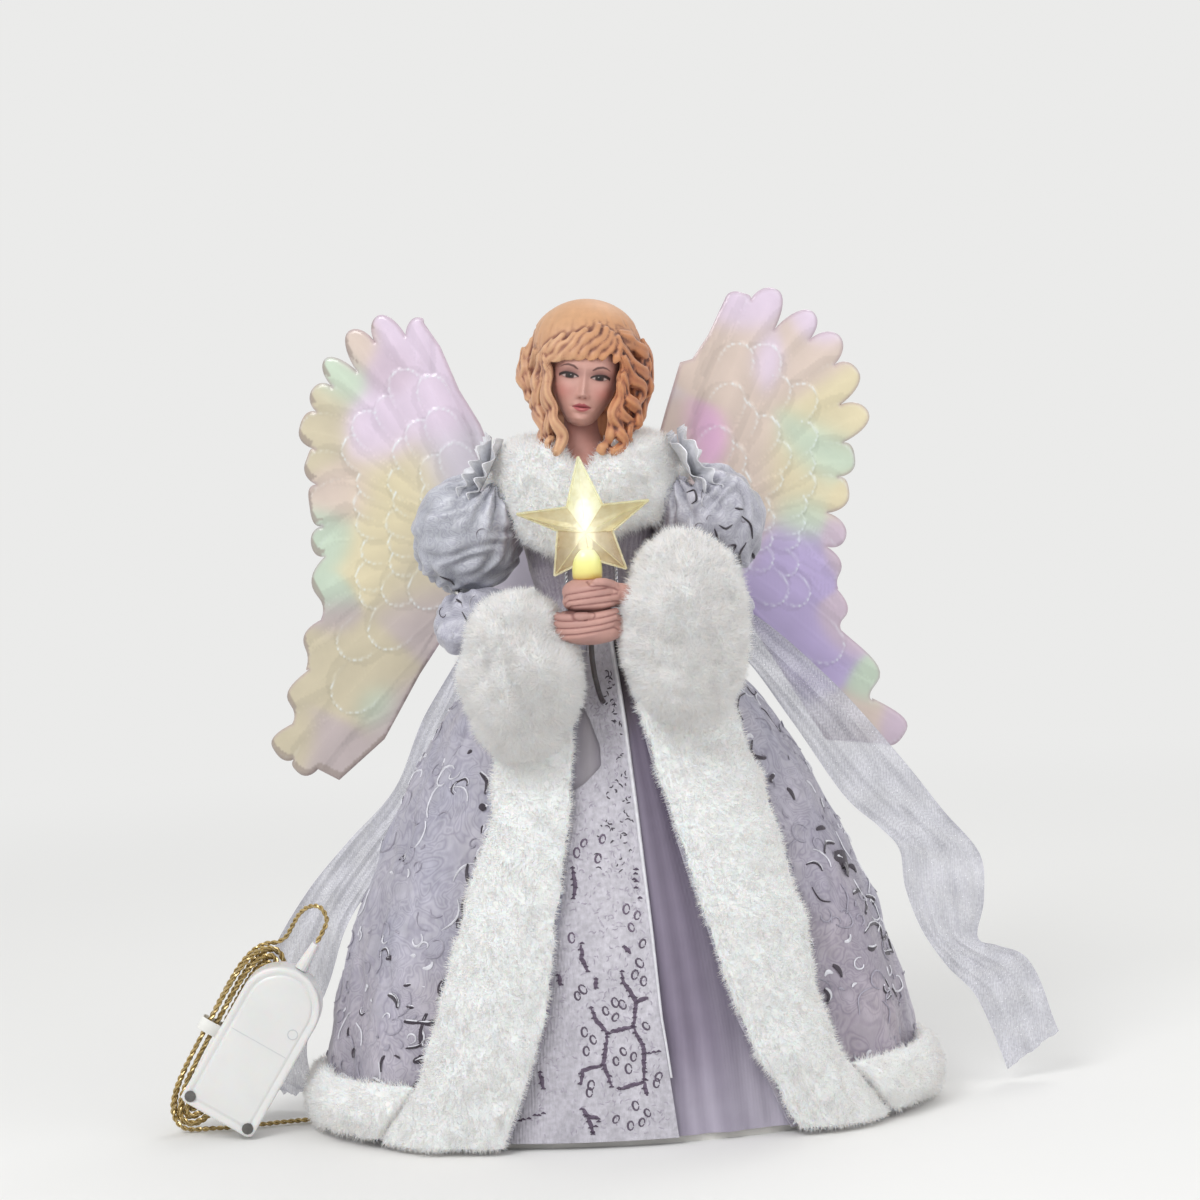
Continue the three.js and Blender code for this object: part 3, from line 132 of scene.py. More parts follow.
def end_caps(sides, total):
    """The two faces that close a tube whose rings of points were laid out one after another."""
    return [tuple(range(sides))[::-1], tuple(range(total - sides, total))]


def attribute(piece, name, colours, domain="POINT"):
    """Stores one colour for each point, or each corner of a face, which a material reads by this name."""
    layer = piece.data.color_attributes.new(name, "FLOAT_COLOR", domain)
    rgba = np.ones((len(layer.data), 4), np.float32)
    rgba[:, :3] = colours
    layer.data.foreach_set("color", rgba.ravel())


def read_points(piece, key):
    flat = np.zeros(len(piece.data.vertices) * 3)
    piece.data.vertices.foreach_get(key, flat)
    return flat.reshape(-1, 3)


def places(piece):
    """The piece's points in millimetres from the doll's axis."""
    return (read_points(piece, "co") - AXIS) / MM


def normals_of(piece):
    return read_points(piece, "normal")


def move_points(piece, points):
    piece.data.vertices.foreach_set("co", (np.asarray(points) * MM + AXIS).ravel())
    piece.data.update()


def unit(v):
    """The same directions, each one long."""
    return v / np.linalg.norm(v, axis=-1, keepdims=True)


def smooth_line(points, steps):
    """A smooth curve through a few points, with the same number of steps between each two."""
    p = np.asarray(points, float)
    p = np.vstack([2 * p[0] - p[1], p, 2 * p[-1] - p[-2]])
    line = []
    for i in range(1, len(p) - 2):
        for t in np.linspace(0, 1, steps, endpoint=False):
            a, b, c, d = p[i - 1:i + 3]
            line.append(0.5 * (2 * b + (c - a) * t + (2 * a - 5 * b + 4 * c - d) * t**2
                               + (3 * b - a - 3 * c + d) * t**3))
    line.append(p[-2])
    return np.array(line)


def along(line, spacing):
    """The same curve with points at an even spacing."""
    far = np.concatenate([[0], np.cumsum(np.linalg.norm(np.diff(line, axis=0), axis=1))])
    count = max(2, int(far[-1] / spacing) + 1)
    want = np.linspace(0, far[-1], count)
    return np.stack([np.interp(want, far, line[:, k]) for k in range(3)], 1)


def frames(line):
    """Two directions square to the curve at each point, turning as little as they can."""
    ahead = unit(np.gradient(line, axis=0))
    side = [unit(np.cross(ahead[0], [0.3, 0.2, 1.0]))]
    for t in ahead[1:]:
        side.append(unit(side[-1] - t * (side[-1] @ t)))
    side = np.array(side)
    return side, np.cross(ahead, side)


def tube(line, radius, sides, flat=1.0, closed=True):
    """Points and faces of a tube along a curve. Radius may change along it."""
    side, up = frames(line)
    radius = np.broadcast_to(radius, len(line))
    angle = 2 * math.pi * np.arange(sides)[:, None] / sides
    ring = side[:, None] * np.cos(angle) + flat * up[:, None] * np.sin(angle)
    points = (line[:, None] + ring * radius[:, None, None]).reshape(-1, 3)
    return points, grid_faces(sides, len(line), wrap=True) + (end_caps(sides, len(points)) if closed else [])


def gather(parts):
    """Joins lists of points and faces into one pair."""
    points, faces, start = [], [], 0
    for p, f in parts:
        points.append(p)
        faces += [tuple(i + start for i in face) for face in f]
        start += len(p)
    return np.vstack(points), faces


def face_out(piece, merge=1e-6):
    """Turns every face outward. Points closer together than merge become one, unless it is 0."""
    only(piece)
    bpy.ops.object.mode_set(mode="EDIT")
    bpy.ops.mesh.select_all(action="SELECT")
    if merge:
        bpy.ops.mesh.remove_doubles(threshold=merge)
    bpy.ops.mesh.normals_make_consistent(inside=False)
    bpy.ops.object.mode_set(mode="OBJECT")
    return piece


def closed_sheet(name, front, back):
    """A cloth from two grids of points with a rim all round."""
    rows, columns = front.shape[:2]
    n = rows * columns
    faces = grid_faces(columns, rows) + grid_faces(columns, rows, start=n, flip=True)
    rim = ([(0, c) for c in range(columns)] + [(r, columns - 1) for r in range(1, rows)]
           + [(rows - 1, c) for c in range(columns - 2, -1, -1)] + [(r, 0) for r in range(rows - 2, 0, -1)])
    index = [r * columns + c for r, c in rim]
    faces += [(b, a, a + n, b + n) for a, b in zip(index, index[1:] + index[:1])]
    return face_out(piece_from(name, np.vstack([front.reshape(-1, 3), back.reshape(-1, 3)]), faces))


WAVES, WAVES_IN_SPACE = 7, 6  # how many sines make an uneven surface


def waves(x, y, seed, size):
    """A gentle unevenness between about -1 and 1, from a few waves of chance directions."""
    chance = np.random.default_rng(seed)
    total = 0
    for _ in range(WAVES):
        way = chance.uniform(0, 2 * math.pi)
        length = size * chance.uniform(0.6, 1.7)
        total = total + np.sin(2 * math.pi * (x * math.cos(way) + y * math.sin(way)) / length
                               + chance.uniform(0, 2 * math.pi))
    return total / WAVES * 1.6


def to_linear(colour):
    """The linear values of a colour as it looks on a screen, 0 to 255."""
    c = np.clip(np.asarray(colour, float) / 255, 0, 1)
    return np.where(c > 0.04, ((c + 0.055) / 1.055) ** 2.4, c / 12.92)


def over(start, end, share):
    """Colours part of the way from one to another. share is one number for each point."""
    start = np.asarray(start, float)
    return start + (np.asarray(end, float) - start) * np.asarray(share)[..., None]


def peak(x, middle, wide):
    """1 at the middle, and fading to nothing on both sides."""
    return np.exp(-(((x - middle) / wide) ** 2))


# %% [markdown]
# A finish is a Principled shader with its own small network. Colours are written as they look on a screen,
# and turned into the linear values that the shader wants. Two effects serve many finishes, so they are
# groups: a soft mottle that breaks a flat colour, and a woven ground of crossing threads.

# %% Helpers for finishes
def linear(colour):
    return (*map(float, to_linear(colour)), 1.0)


def finish(name, colour, rough, **sockets):
    material = bpy.data.materials.new(name)
    material.use_nodes = True
    shader = material.node_tree.nodes["Principled BSDF"]
    shader.inputs["Base Color"].default_value = linear(colour)
    shader.inputs["Roughness"].default_value = rough
    for key, value in sockets.items():
        socket = shader.inputs[key.replace("_", " ")]
        socket.default_value = linear(value) if isinstance(value, tuple) and len(value) == 3 else value
    return material


def node(tree, kind, inputs=(), **settings):
    made = tree.nodes.new(kind)
    for key, value in settings.items():
        setattr(made, key, value)
    for key, value in dict(inputs).items():
        if isinstance(value, bpy.types.NodeSocket):
            tree.links.new(value, made.inputs[key])
        else:
            made.inputs[key].default_value = value
    return made


def feed(material, value, *sockets):
    """Links a value to sockets of the finish's shader."""
    tree = material.node_tree
    for socket in sockets:
        tree.links.new(value, tree.nodes["Principled BSDF"].inputs[socket])


def math_node(tree, operation, *values):
    return node(tree, "ShaderNodeMath", dict(enumerate(values)), operation=operation).outputs[0]


def mix_colours(tree, share, a, b, blend="MIX"):
    return node(tree, "ShaderNodeMix", {0: share, 6: a, 7: b}, data_type="RGBA", blend_type=blend).outputs[2]


def times_grey(tree, colour, shade):
    """A colour made lighter or darker by one value."""
    grey = node(tree, "ShaderNodeCombineColor", {k: shade for k in range(3)}).outputs[0]
    return mix_colours(tree, 1.0, colour, grey, "MULTIPLY")


def stored(tree, layer="tint"):
    """The colour that a piece keeps at its points under this name."""
    return node(tree, "ShaderNodeVertexColor", layer_name=layer).outputs[0]


def ramp(tree, value, stops):
    made = node(tree, "ShaderNodeValToRGB", {0: value})
    while len(made.color_ramp.elements) < len(stops):
        made.color_ramp.elements.new(0.5)
    for element, (place, colour) in zip(made.color_ramp.elements, stops):
        element.position = place
        element.color = colour if len(colour) == 4 else linear(colour)
    return made.outputs[0]


def new_group(name, inputs, outputs):
    group = bpy.data.node_groups.new(name, "ShaderNodeTree")
    for key, kind, value in inputs:
        socket = group.interface.new_socket(key, in_out="INPUT", socket_type=kind)
        if value is not None:
            socket.default_value = value
    for key, kind in outputs:
        group.interface.new_socket(key, in_out="OUTPUT", socket_type=kind)
    return group, group.nodes.new("NodeGroupInput"), group.nodes.new("NodeGroupOutput")


mottle, take, give = new_group(
    "mottle", [("Vector", "NodeSocketVector", None), ("Scale", "NodeSocketFloat", 200.0),
               ("Low", "NodeSocketFloat", 0.85), ("High", "NodeSocketFloat", 1.05)],
    [("Shade", "NodeSocketFloat"), ("Height", "NodeSocketFloat")])
cloud = node(mottle, "ShaderNodeTexNoise",
             {"Vector": take.outputs[0], "Scale": take.outputs[1], "Detail": 4.0})
spread = node(mottle, "ShaderNodeMapRange",
              {0: cloud.outputs[0], 1: 0.3, 2: 0.7, 3: take.outputs[2], 4: take.outputs[3]})
mottle.links.new(spread.outputs[0], give.inputs[0])
mottle.links.new(cloud.outputs[0], give.inputs[1])

weave, take, give = new_group(
    "weave", [("Vector", "NodeSocketVector", None), ("Threads", "NodeSocketFloat", 2500.0)],
    [("Height", "NodeSocketFloat"), ("Warp", "NodeSocketFloat")])
split = node(weave, "ShaderNodeSeparateXYZ", {0: take.outputs[0]})
threads = [math_node(weave, "SINE", math_node(weave, "MULTIPLY", split.outputs[k], take.outputs[1]))
           for k in (0, 1)]
crossing = math_node(weave, "MULTIPLY", *threads)
weave.links.new(crossing, give.inputs[0])
weave.links.new(math_node(weave, "GREATER_THAN", crossing, 0.0), give.inputs[1])


def place_group(tree, group, inputs):
    return node(tree, "ShaderNodeGroup", inputs, node_tree=group)


def coordinates(tree):
    return node(tree, "ShaderNodeTexCoord").outputs["Object"]


def height_share(tree, low, high):
    """0 below one height and 1 above another, both in metres, with an even climb between."""
    height = node(tree, "ShaderNodeSeparateXYZ", {0: coordinates(tree)}).outputs[2]
    return node(tree, "ShaderNodeMapRange", {0: height, 1: low, 2: high}).outputs[0]


def mottled(tree, colour, scale, low, high):
    """A colour broken by the mottle, and the mottle itself."""
    cloud = place_group(tree, mottle, {"Vector": coordinates(tree), "Scale": scale, "Low": low, "High": high})
    return times_grey(tree, colour, cloud.outputs["Shade"]), cloud


def bump(material, height, strength, distance):
    tree = material.node_tree
    made = node(tree, "ShaderNodeBump", {"Height": height, "Strength": strength, "Distance": distance})
    feed(material, made.outputs[0], "Normal")


def shade_colour(material, colour, scale, low=0.85, high=1.05, height=0.0, distance=0.0005):
    """Breaks a flat colour with the mottle, and raises a fine grain from it."""
    toned, cloud = mottled(material.node_tree, linear(colour), scale, low, high)
    feed(material, toned, "Base Color")
    if height:
        bump(material, cloud.outputs["Height"], height, distance)
    return material


print("helpers are ready")

# %% [markdown]
# The camera comes first, because the cord has to lie where it sees it. The photograph looks straight at the
# doll from a little above, with the doll leaning about three degrees to the left. A long lens keeps the
# wings, which stand behind the gown, at nearly the gown's scale.

# %% Camera
PICTURE_POINTS, MM_PER_POINT = 1200, 0.303
PICTURE_MM = PICTURE_POINTS * MM_PER_POINT
LENS, SENSOR = 100.0, 36.0
ELEVATION, ROLL = math.radians(4), math.radians(-3.05)
aim = at(0.3, -8, 158.4)
distance = PICTURE_MM * MM / 2 / (SENSOR / 2 / LENS)
back = Vector((0, -math.cos(ELEVATION), math.sin(ELEVATION)))
camera = bpy.data.objects.new("camera", bpy.data.cameras.new("camera"))
camera.data.lens, camera.data.sensor_width = LENS, SENSOR
camera.location = aim + back * distance
camera.rotation_mode = "QUATERNION"
camera.rotation_quaternion = (-back).to_track_quat("-Z", "Y") @ Matrix.Rotation(ROLL, 4, "Z").to_quaternion()
bpy.context.scene.collection.objects.link(camera)
bpy.context.scene.camera = camera
print("the camera stands", round(distance, 3), "m away")

# %% [markdown]
# The doll stands on a pale floor that has no edge and no wall, so that it can be looked at from every side.
# Near the doll the floor takes light and shadow. Farther out it melts into the even tone that the world shows
# to the eye. Three large soft lamps light the doll the way a bright room does: little contrast, with a soft
# shadow under the hem.

# %% Stage and light
PALE, LIGHT = 0.83, 0.62  # the world's strength as it is seen, and as it lights the doll
FLOOR_RADIUS, MELT_FROM, MELT_TO = 5, 0.3, 0.95
DOLL_MIDDLE = Vector((0, 0, 0.13))
bpy.context.scene.view_settings.view_transform = "Standard"


def looked_at(tree):
    """1 for what the camera, a gloss or a clear piece sees, and 0 for the light on matt pieces."""
    ray = node(tree, "ShaderNodeLightPath").outputs
    bent = math_node(tree, "ADD", ray["Is Glossy Ray"], ray["Is Transmission Ray"])
    return math_node(tree, "MINIMUM", math_node(tree, "ADD", ray["Is Camera Ray"], bent), 1.0)


bpy.ops.mesh.primitive_circle_add(vertices=96, radius=FLOOR_RADIUS, fill_type="NGON")
floor = bpy.context.object
floor.name = "floor"
paper = finish("pale_paper", (235, 235, 234), 0.9)
floor.data.materials.append(paper)
tree = paper.node_tree
far = node(tree, "ShaderNodeVectorMath", {0: coordinates(tree)}, operation="LENGTH").outputs["Value"]
melt = node(tree, "ShaderNodeMapRange", {0: far, 1: MELT_FROM, 2: MELT_TO},
            interpolation_type="SMOOTHSTEP").outputs[0]
even = node(tree, "ShaderNodeEmission", {0: (PALE, PALE, PALE * 0.99, 1.0)}).outputs[0]
both = node(tree, "ShaderNodeMixShader", {0: math_node(tree, "MULTIPLY", melt, looked_at(tree)),
                                          1: tree.nodes["Principled BSDF"].outputs[0], 2: even})
tree.links.new(both.outputs[0], tree.nodes["Material Output"].inputs[0])

world = bpy.context.scene.world or bpy.data.worlds.new("world")
bpy.context.scene.world = world
world.use_nodes = True
tree = world.node_tree
tone = node(tree, "ShaderNodeMapRange", {0: looked_at(tree), 3: LIGHT, 4: PALE}).outputs[0]
tree.nodes["Background"].inputs[0].default_value = (1, 1, 0.99, 1)
tree.links.new(tone, tree.nodes["Background"].inputs[1])


def lamp(name, place, size, power):
    light = bpy.data.objects.new(name, bpy.data.lights.new(name, "AREA"))
    light.data.size, light.data.energy = size, power
    light.location = place
    light.rotation_euler = (DOLL_MIDDLE - Vector(place)).to_track_quat("-Z", "Y").to_euler()
    bpy.context.scene.collection.objects.link(light)


lamp("key_lamp", (-0.55, -0.9, 1.0), 0.6, 8.5)
lamp("fill_lamp", (0.9, -0.6, 0.7), 0.9, 3.0)
lamp("back_lamp", (0.3, 0.6, 1.1), 0.5, 2.5)
print("stage is set")

# %% [markdown]
# The lead is a thin pair of wires twisted together. It leaves by the notch in the bell's edge, lies on the
# floor, is wound into a hank of five and a half turns that a tie holds, and goes into the battery box. A
# curve with a round bevel would be one wire, so two thin tubes wind round the same line instead, as the real
# pair does.

# %% Lead
LEAD = 0.8  # half the width of the twisted pair
STRAND, STEP, TWIST_PITCH = 0.4, 0.55, 4.4
floor_route = [(-83, 4.2, 1.1), (-86, 4.3, 1.1), (-92, 4.6, 1.1), (-100, 4.2, 1.1), (-108, 2.6, 1.1),
               (-115, 0.8, 1.1), (-122, -0.4, 1.1), (-129, -0.7, 1.1), (-133.8, -0.71, 1.1)]
box_route = [(-106.55, 1.52, 57.5), (-104.4, 1.46, 57.6), (-101.6, 0.6, 59.4), (-99.4, -0.9, 62.8),
             (-97, -3, 66.5), (-93.6, -5.6, 69.2), (-89.9, -8, 69.2), (-87.9, -9.9, 65.6),
             (-89.6, -10.5, 61.6), (-91.43, -10.5, 58.8)]
TURNS, HALF_LENGTH, HALF_WIDTH, WAIST, PITCH = 5.5, 32, 13, 0.66, 2.25
HANK_LEAN = math.radians(31)


def hank_route():
    """Long loops that draw in at the waist. They spiral inwards in one layer and out again in the next."""
    turn = np.linspace(0, TURNS, int(TURNS * 48) + 1)
    angle = -2 * math.pi * (turn + 0.214)

    def loop(a):
        width = HALF_WIDTH * (WAIST + (1 - WAIST) * np.sin(a) ** 2)
        return np.stack([np.cos(a) * width, np.sin(a) * HALF_LENGTH], 1)

    ahead = unit(loop(angle + 1e-3) - loop(angle - 1e-3))
    inset = PITCH * (TURNS / 2 - np.abs(turn - TURNS / 2))
    flat = loop(angle) - np.stack([ahead[:, 1], -ahead[:, 0]], 1) * inset[:, None]
    climb = np.clip((turn - TURNS / 2 + 0.25) / 0.5, 0, 1)
    climb = climb * climb * (3 - 2 * climb)
    c, s = math.cos(HANK_LEAN), math.sin(HANK_LEAN)
    x, z = flat[:, 0] * c + flat[:, 1] * s, flat[:, 1] * c - flat[:, 0] * s
    return np.stack([x - 120.5, PITCH * (climb - 0.5) + 0.4, z - z.min() + LEAD + 0.3], 1)


whole_route = [smooth_line(floor_route, 6)[:-1], hank_route(), smooth_line(box_route, 6)[1:]]
lead_line = along(np.vstack(whole_route), STEP)
strands = []
side, up = frames(lead_line)
wind = 2 * math.pi * np.arange(len(lead_line)) * STEP / TWIST_PITCH
for start in (0, math.pi):
    offset = side * np.cos(wind + start)[:, None] + up * np.sin(wind + start)[:, None]
    strands.append(tube(lead_line + offset * STRAND, STRAND, 6))
copper = finish("clear_insulation", (176, 148, 88), 0.22, Metallic=0.55, Coat_Weight=0.8, Coat_Roughness=0.15)
shade_colour(copper, (184, 158, 98), 500, 0.7, 1.15)
lead = put(piece_from("lead", *gather(strands)), "lamp_cord", copper,
           instead_of=("floor_lead", "cord_hank", "box_lead"))

# %% Tie round the hank
tie_low, tie_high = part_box("hank_tie")
tie_turn = Matrix.Translation((tie_low + tie_high) / 2) @ Matrix.Rotation(HANK_LEAN, 4, "Y")
TIE_HALF_WIDE, TIE_HALF_DEEP, ROUNDNESS = 10.15, 2.75, 6
bpy.ops.object.select_all(action="DESELECT")
bpy.ops.mesh.primitive_cylinder_add(vertices=48, radius=1, depth=4 * MM, end_fill_type="NOTHING")
tie = bpy.context.object
for v in tie.data.vertices:
    c, s = Vector(v.co[:2]).normalized()
    corner = (abs(c) ** ROUNDNESS + abs(s) ** ROUNDNESS) ** (-1 / ROUNDNESS) * MM
    v.co.x, v.co.y = c * corner * TIE_HALF_WIDE, s * corner * TIE_HALF_DEEP
tie.data.transform(tie_turn)
modify(tie, "SOLIDIFY", thickness=0.5 * MM, offset=1)
modify(tie, "BEVEL", width=0.12 * MM, segments=2)
tie_plastic = shade_colour(finish("tie_plastic", (236, 236, 232), 0.4), (236, 236, 232), 300, 0.95, 1.02)
put(face_out(tie), "lead_tie", tie_plastic, instead_of=("hank_tie",))

# %% [markdown]
# Each wing is one moulded plate of pearl plastic, pressed with rows of overlapping feathers. Its edge runs
# from tip to notch to tip, so it is drawn as curves and filled with small triangles. Then every point gets a
# thickness from the feather that lies on top there: a round back, a shaft, fine barbs and a raised rim. Both
# faces carry the pattern.

# %% Wing shapes
WING_Z, WING_TALL, SWEEP, PIN = 101, 149, math.radians(12), (9, 27)
left_tips = [[0.43, 0.982, 0.472, 0.945], [0.561, 0.99, 0.575, 0.935], [0.66, 0.961, 0.64, 0.875],
             [0.745, 0.905, 0.725, 0.845], [0.79, 0.845, 0.785, 0.795], [0.845, 0.76, 0.795, 0.715],
             [0.83, 0.69, 0.8, 0.64], [0.825, 0.59, 0.785, 0.55], [0.828, 0.515, 0.785, 0.485],
             [0.815, 0.4, 0.805, 0.352], [0.868, 0.29, 0.86, 0.245], [0.93, 0.17, 0.925, 0.13],
             [1, 0.08, 0.93, 0.052], [0.915, 0.022, 0.85, 0.03]]
right_tips = [[0.475, 0.999, 0.512, 0.981], [0.61, 1, 0.59, 0.915], [0.733, 0.95, 0.715, 0.89],
              [0.825, 0.896, 0.8, 0.835], [0.887, 0.82, 0.815, 0.75], [0.917, 0.73, 0.82, 0.67],
              [0.86, 0.63, 0.795, 0.597], [0.833, 0.56, 0.75, 0.522], [0.814, 0.47, 0.742, 0.45],
              [0.783, 0.39, 0.77, 0.36], [0.792, 0.296, 0.78, 0.27], [0.898, 0.15, 0.88, 0.12],
              [1, 0.045, 0.91, 0.02]]
left_inner = [[0.78, 0.005], [0.62, 0.09], [0.49, 0.226], [0.393, 0.312], [0.2, 0.385], [0.12, 0.6],
              [0.213, 0.695], [0.243, 0.751], [0.306, 0.825], [0.36, 0.918], [0.41, 0.97]]
right_inner = [[0.706, 0.038], [0.59, 0.158], [0.45, 0.303], [0.393, 0.378], [0.2, 0.41], [0.09, 0.6],
               [0.158, 0.7], [0.194, 0.764], [0.251, 0.858], [0.295, 0.864], [0.355, 0.912], [0.42, 0.984]]
root_points = [[6.4, 162], [6.2, 163.9], [1.8, 163.9], [1.8, 176.6], [6.2, 176.6], [6.4, 178.6]]
# A tint is a place on the wing, how far it spreads, and one of the pearl colours.
PEARL = {"mint": (196, 212, 193), "haze": (208, 202, 214), "lilac": (221, 205, 224), "pink": (222, 176, 212),
         "shell": (213, 196, 185), "straw": (202, 192, 166), "taupe": (189, 176, 176),
         "mauve": (204, 186, 202), "butter": (220, 209, 175), "violet": (187, 172, 214)}
left_tints = [(0.45, 0.93, 0.06, "lilac"), (0.53, 0.88, 0.05, "mauve"), (0.58, 0.75, 0.07, "lilac"),
              (0.63, 0.92, 0.04, "shell"), (0.7, 0.86, 0.05, "mint"), (0.76, 0.81, 0.05, "straw"),
              (0.78, 0.74, 0.06, "straw"), (0.52, 0.6, 0.1, "butter"), (0.35, 0.8, 0.08, "lilac"),
              (0.27, 0.66, 0.1, "haze"), (0.7, 0.62, 0.06, "shell"), (0.6, 0.5, 0.07, "butter"),
              (0.76, 0.53, 0.05, "mint"), (0.45, 0.45, 0.08, "straw"), (0.79, 0.4, 0.04, "mint"),
              (0.78, 0.36, 0.04, "taupe"), (0.8, 0.28, 0.06, "straw"), (0.66, 0.22, 0.07, "straw"),
              (0.42, 0.36, 0.07, "taupe"), (0.55, 0.14, 0.06, "taupe"), (0.63, 0.17, 0.04, "mint"),
              (0.93, 0.08, 0.05, "straw"), (0.8, 0.05, 0.06, "taupe"), (0.15, 0.48, 0.12, "haze")]
right_tints = [(0.48, 0.96, 0.05, "lilac"), (0.74, 0.92, 0.04, "lilac"), (0.46, 0.88, 0.06, "shell"),
               (0.56, 0.86, 0.04, "lilac"), (0.69, 0.85, 0.06, "shell"), (0.31, 0.67, 0.045, "pink"),
               (0.24, 0.66, 0.05, "shell"), (0.78, 0.74, 0.06, "butter"), (0.72, 0.66, 0.06, "mint"),
               (0.63, 0.59, 0.07, "butter"), (0.46, 0.58, 0.09, "shell"), (0.64, 0.52, 0.05, "mint"),
               (0.83, 0.54, 0.04, "butter"), (0.6, 0.45, 0.06, "violet"), (0.8, 0.47, 0.04, "mauve"),
               (0.46, 0.34, 0.05, "violet"), (0.6, 0.2, 0.06, "violet"), (0.72, 0.21, 0.05, "violet"),
               (0.79, 0.26, 0.04, "mauve"), (0.87, 0.15, 0.04, "mint"), (0.84, 0.08, 0.05, "shell"),
               (0.96, 0.06, 0.04, "mauve"), (0.74, 0.05, 0.06, "taupe"), (0.15, 0.48, 0.12, "haze")]


def bezier(a, b, c, d, steps):
    t = np.linspace(0, 1, steps, endpoint=False)[:, None]
    return (1 - t) ** 3 * a + 3 * (1 - t) ** 2 * t * b + 3 * (1 - t) * t * t * c + t**3 * d


def wing_edge(tips, inner, wide):
    """The wing's outline in its own plane, as distance from the pin and height, and each feather's line."""
    def place(u, v):
        return np.array([u * wide, WING_Z + v * WING_TALL])

    heart = place(0.2, 0.53)
    rim, feathers = [], []
    low = [place(u, v) for u, v in inner if v < 0.5]
    high = [place(u, v) for u, v in inner if v > 0.5]
    path = low + [np.array(p, float) for p in root_points] + high
    for a, b in zip(path[:-1], path[1:]):
        count = max(2, int(np.linalg.norm(b - a)))
        rim += [a + (b - a) * t for t in np.linspace(0, 1, count, endpoint=False)]
    start = path[-1]
    for u, v, nu, nv in tips:
        tip, end = place(u, v), place(nu, nv)
        middle = (start + end) / 2
        ahead = unit(0.6 * unit(tip - middle) + 0.4 * unit(tip - heart))
        across = unit(end - start)
        across = unit(across - ahead * (across @ ahead))
        width = max(1.6, np.linalg.norm(end - start) * 0.3)
        up_pull, down_pull = (ahead * np.linalg.norm(tip - foot) * 0.42 for foot in (start, end))
        rim += list(bezier(start, start + up_pull, tip - across * width, tip, 9))
        rim += list(bezier(tip, tip + across * width, end + down_pull, end, 9))
        feathers.append((tip, ahead, np.linalg.norm(end - start) * 0.62))
        start = end
    rim += [start + (path[0] - start) * t for t in np.linspace(0, 1, 8, endpoint=False)]
    return np.array(rim), feathers, heart


def inside(points, loop):
    x, y = points[:, :1], points[:, 1:]
    x1, y1 = loop.T
    x2, y2 = np.roll(loop, -1, axis=0).T
    with np.errstate(divide="ignore", invalid="ignore"):
        crosses = ((y1 > y) != (y2 > y)) & (x < (x2 - x1) * (y - y1) / (y2 - y1) + x1)
    return crosses.sum(1) % 2 == 1


def distance_to(points, loop):
    a, b = loop, np.roll(loop, -1, axis=0)
    near = np.full(len(points), 1e9)
    for p, q in zip(a, b):
        t = np.clip(((points - p) @ (q - p)) / max((q - p) @ (q - p), 1e-9), 0, 1)
        near = np.minimum(near, np.linalg.norm(points - p - t[:, None] * (q - p), axis=1))
    return near


def covert_rows(feathers, heart, seed):
    """Shorter feathers that lie over the long ones, row after row towards the root."""
    chance = random.Random(seed)
    laid = [(tip, ahead, width, 0.0, 0) for tip, ahead, width in feathers]
    angles = np.unwrap([math.atan2(*(tip - heart)[::-1]) for tip, _, _ in feathers])
    far = np.array([np.linalg.norm(tip - heart) for tip, _, _ in feathers])
    order = np.argsort(angles)
    for level, (share, count) in enumerate(((0.76, 13), (0.57, 10), (0.4, 7), (0.24, 5)), 1):
        for angle in np.linspace(angles.min() + 0.06 * level, angles.max() - 0.07 * level, count):
            angle += chance.uniform(-0.03, 0.03)
            reach = np.interp(angle, angles[order], far[order]) * share * chance.uniform(0.94, 1.05)
            ahead = np.array([math.cos(angle), math.sin(angle)])
            width = 0.66 * reach * (angles.max() - angles.min()) / count
            laid.append((heart + ahead * reach, ahead, min(width, 9.5), 0.42 * level, level))
    return laid


def press(points, feathers, heart):
    """Thickness, painted rim highlight and painted shade at each point from the feather on top."""
    height = np.zeros(len(points))
    light = np.zeros(len(points))
    shade = np.ones(len(points))
    for tip, ahead, width, layer, level in feathers:
        length = np.linalg.norm(tip - heart) * (1.0 if level < 2 else 0.9)
        rel = points - (tip - ahead * length)
        s, w = rel @ ahead, rel @ np.array([-ahead[1], ahead[0]])
        taper = np.clip(s / length * 1.25 + 0.25, 0.3, 1)
        round_off = width * 1.25
        rounding = np.clip((s - length + round_off) / round_off, 0, 1)
        half = width * taper * np.sqrt(np.clip(1 - rounding ** 2, 0, 1))
        with np.errstate(divide="ignore", invalid="ignore"):
            e = np.where(half > 0.05, np.abs(w) / half, 2)
        in_it = (e < 1) & (s > 0)
        gap = np.minimum((1 - e) * half, (length - s) * 0.9)
        back = 0.5 * (1 - e**2.4) + 0.16 * np.exp(-((w / 0.35) ** 2)) * (s < length * 0.93)
        barbs = 0.045 * np.sin((s + np.abs(w) * 0.9) * 2 * math.pi / 1.7)
        rim = np.exp(-(((gap - 0.45) / 0.42) ** 2))
        top = layer + back + barbs + 0.34 * rim
        on_top = in_it & (top > height - 0.25)
        height = np.where(on_top, top, height)
        front = np.clip((s - length + round_off * 1.3) / round_off, 0, 1)
        # A painted highlight on each feather's raised rim.
        light = np.where(on_top, rim * front * (1.0 if level else 0.5), light)
        # Each feather is painted lighter along its middle and darker at its sides, as shade on its rounded
        # back.
        shade = np.where(on_top, 0.97 + 0.05 * (1 - e), shade)
        # Painted shade just beyond each feather's tip.
        near_out = (~in_it) & (s > length * 0.55) & (e < 1.35) & (s < length + 2.2)
        shade = np.where(near_out, shade * 0.955, shade)
    return height, light, shade


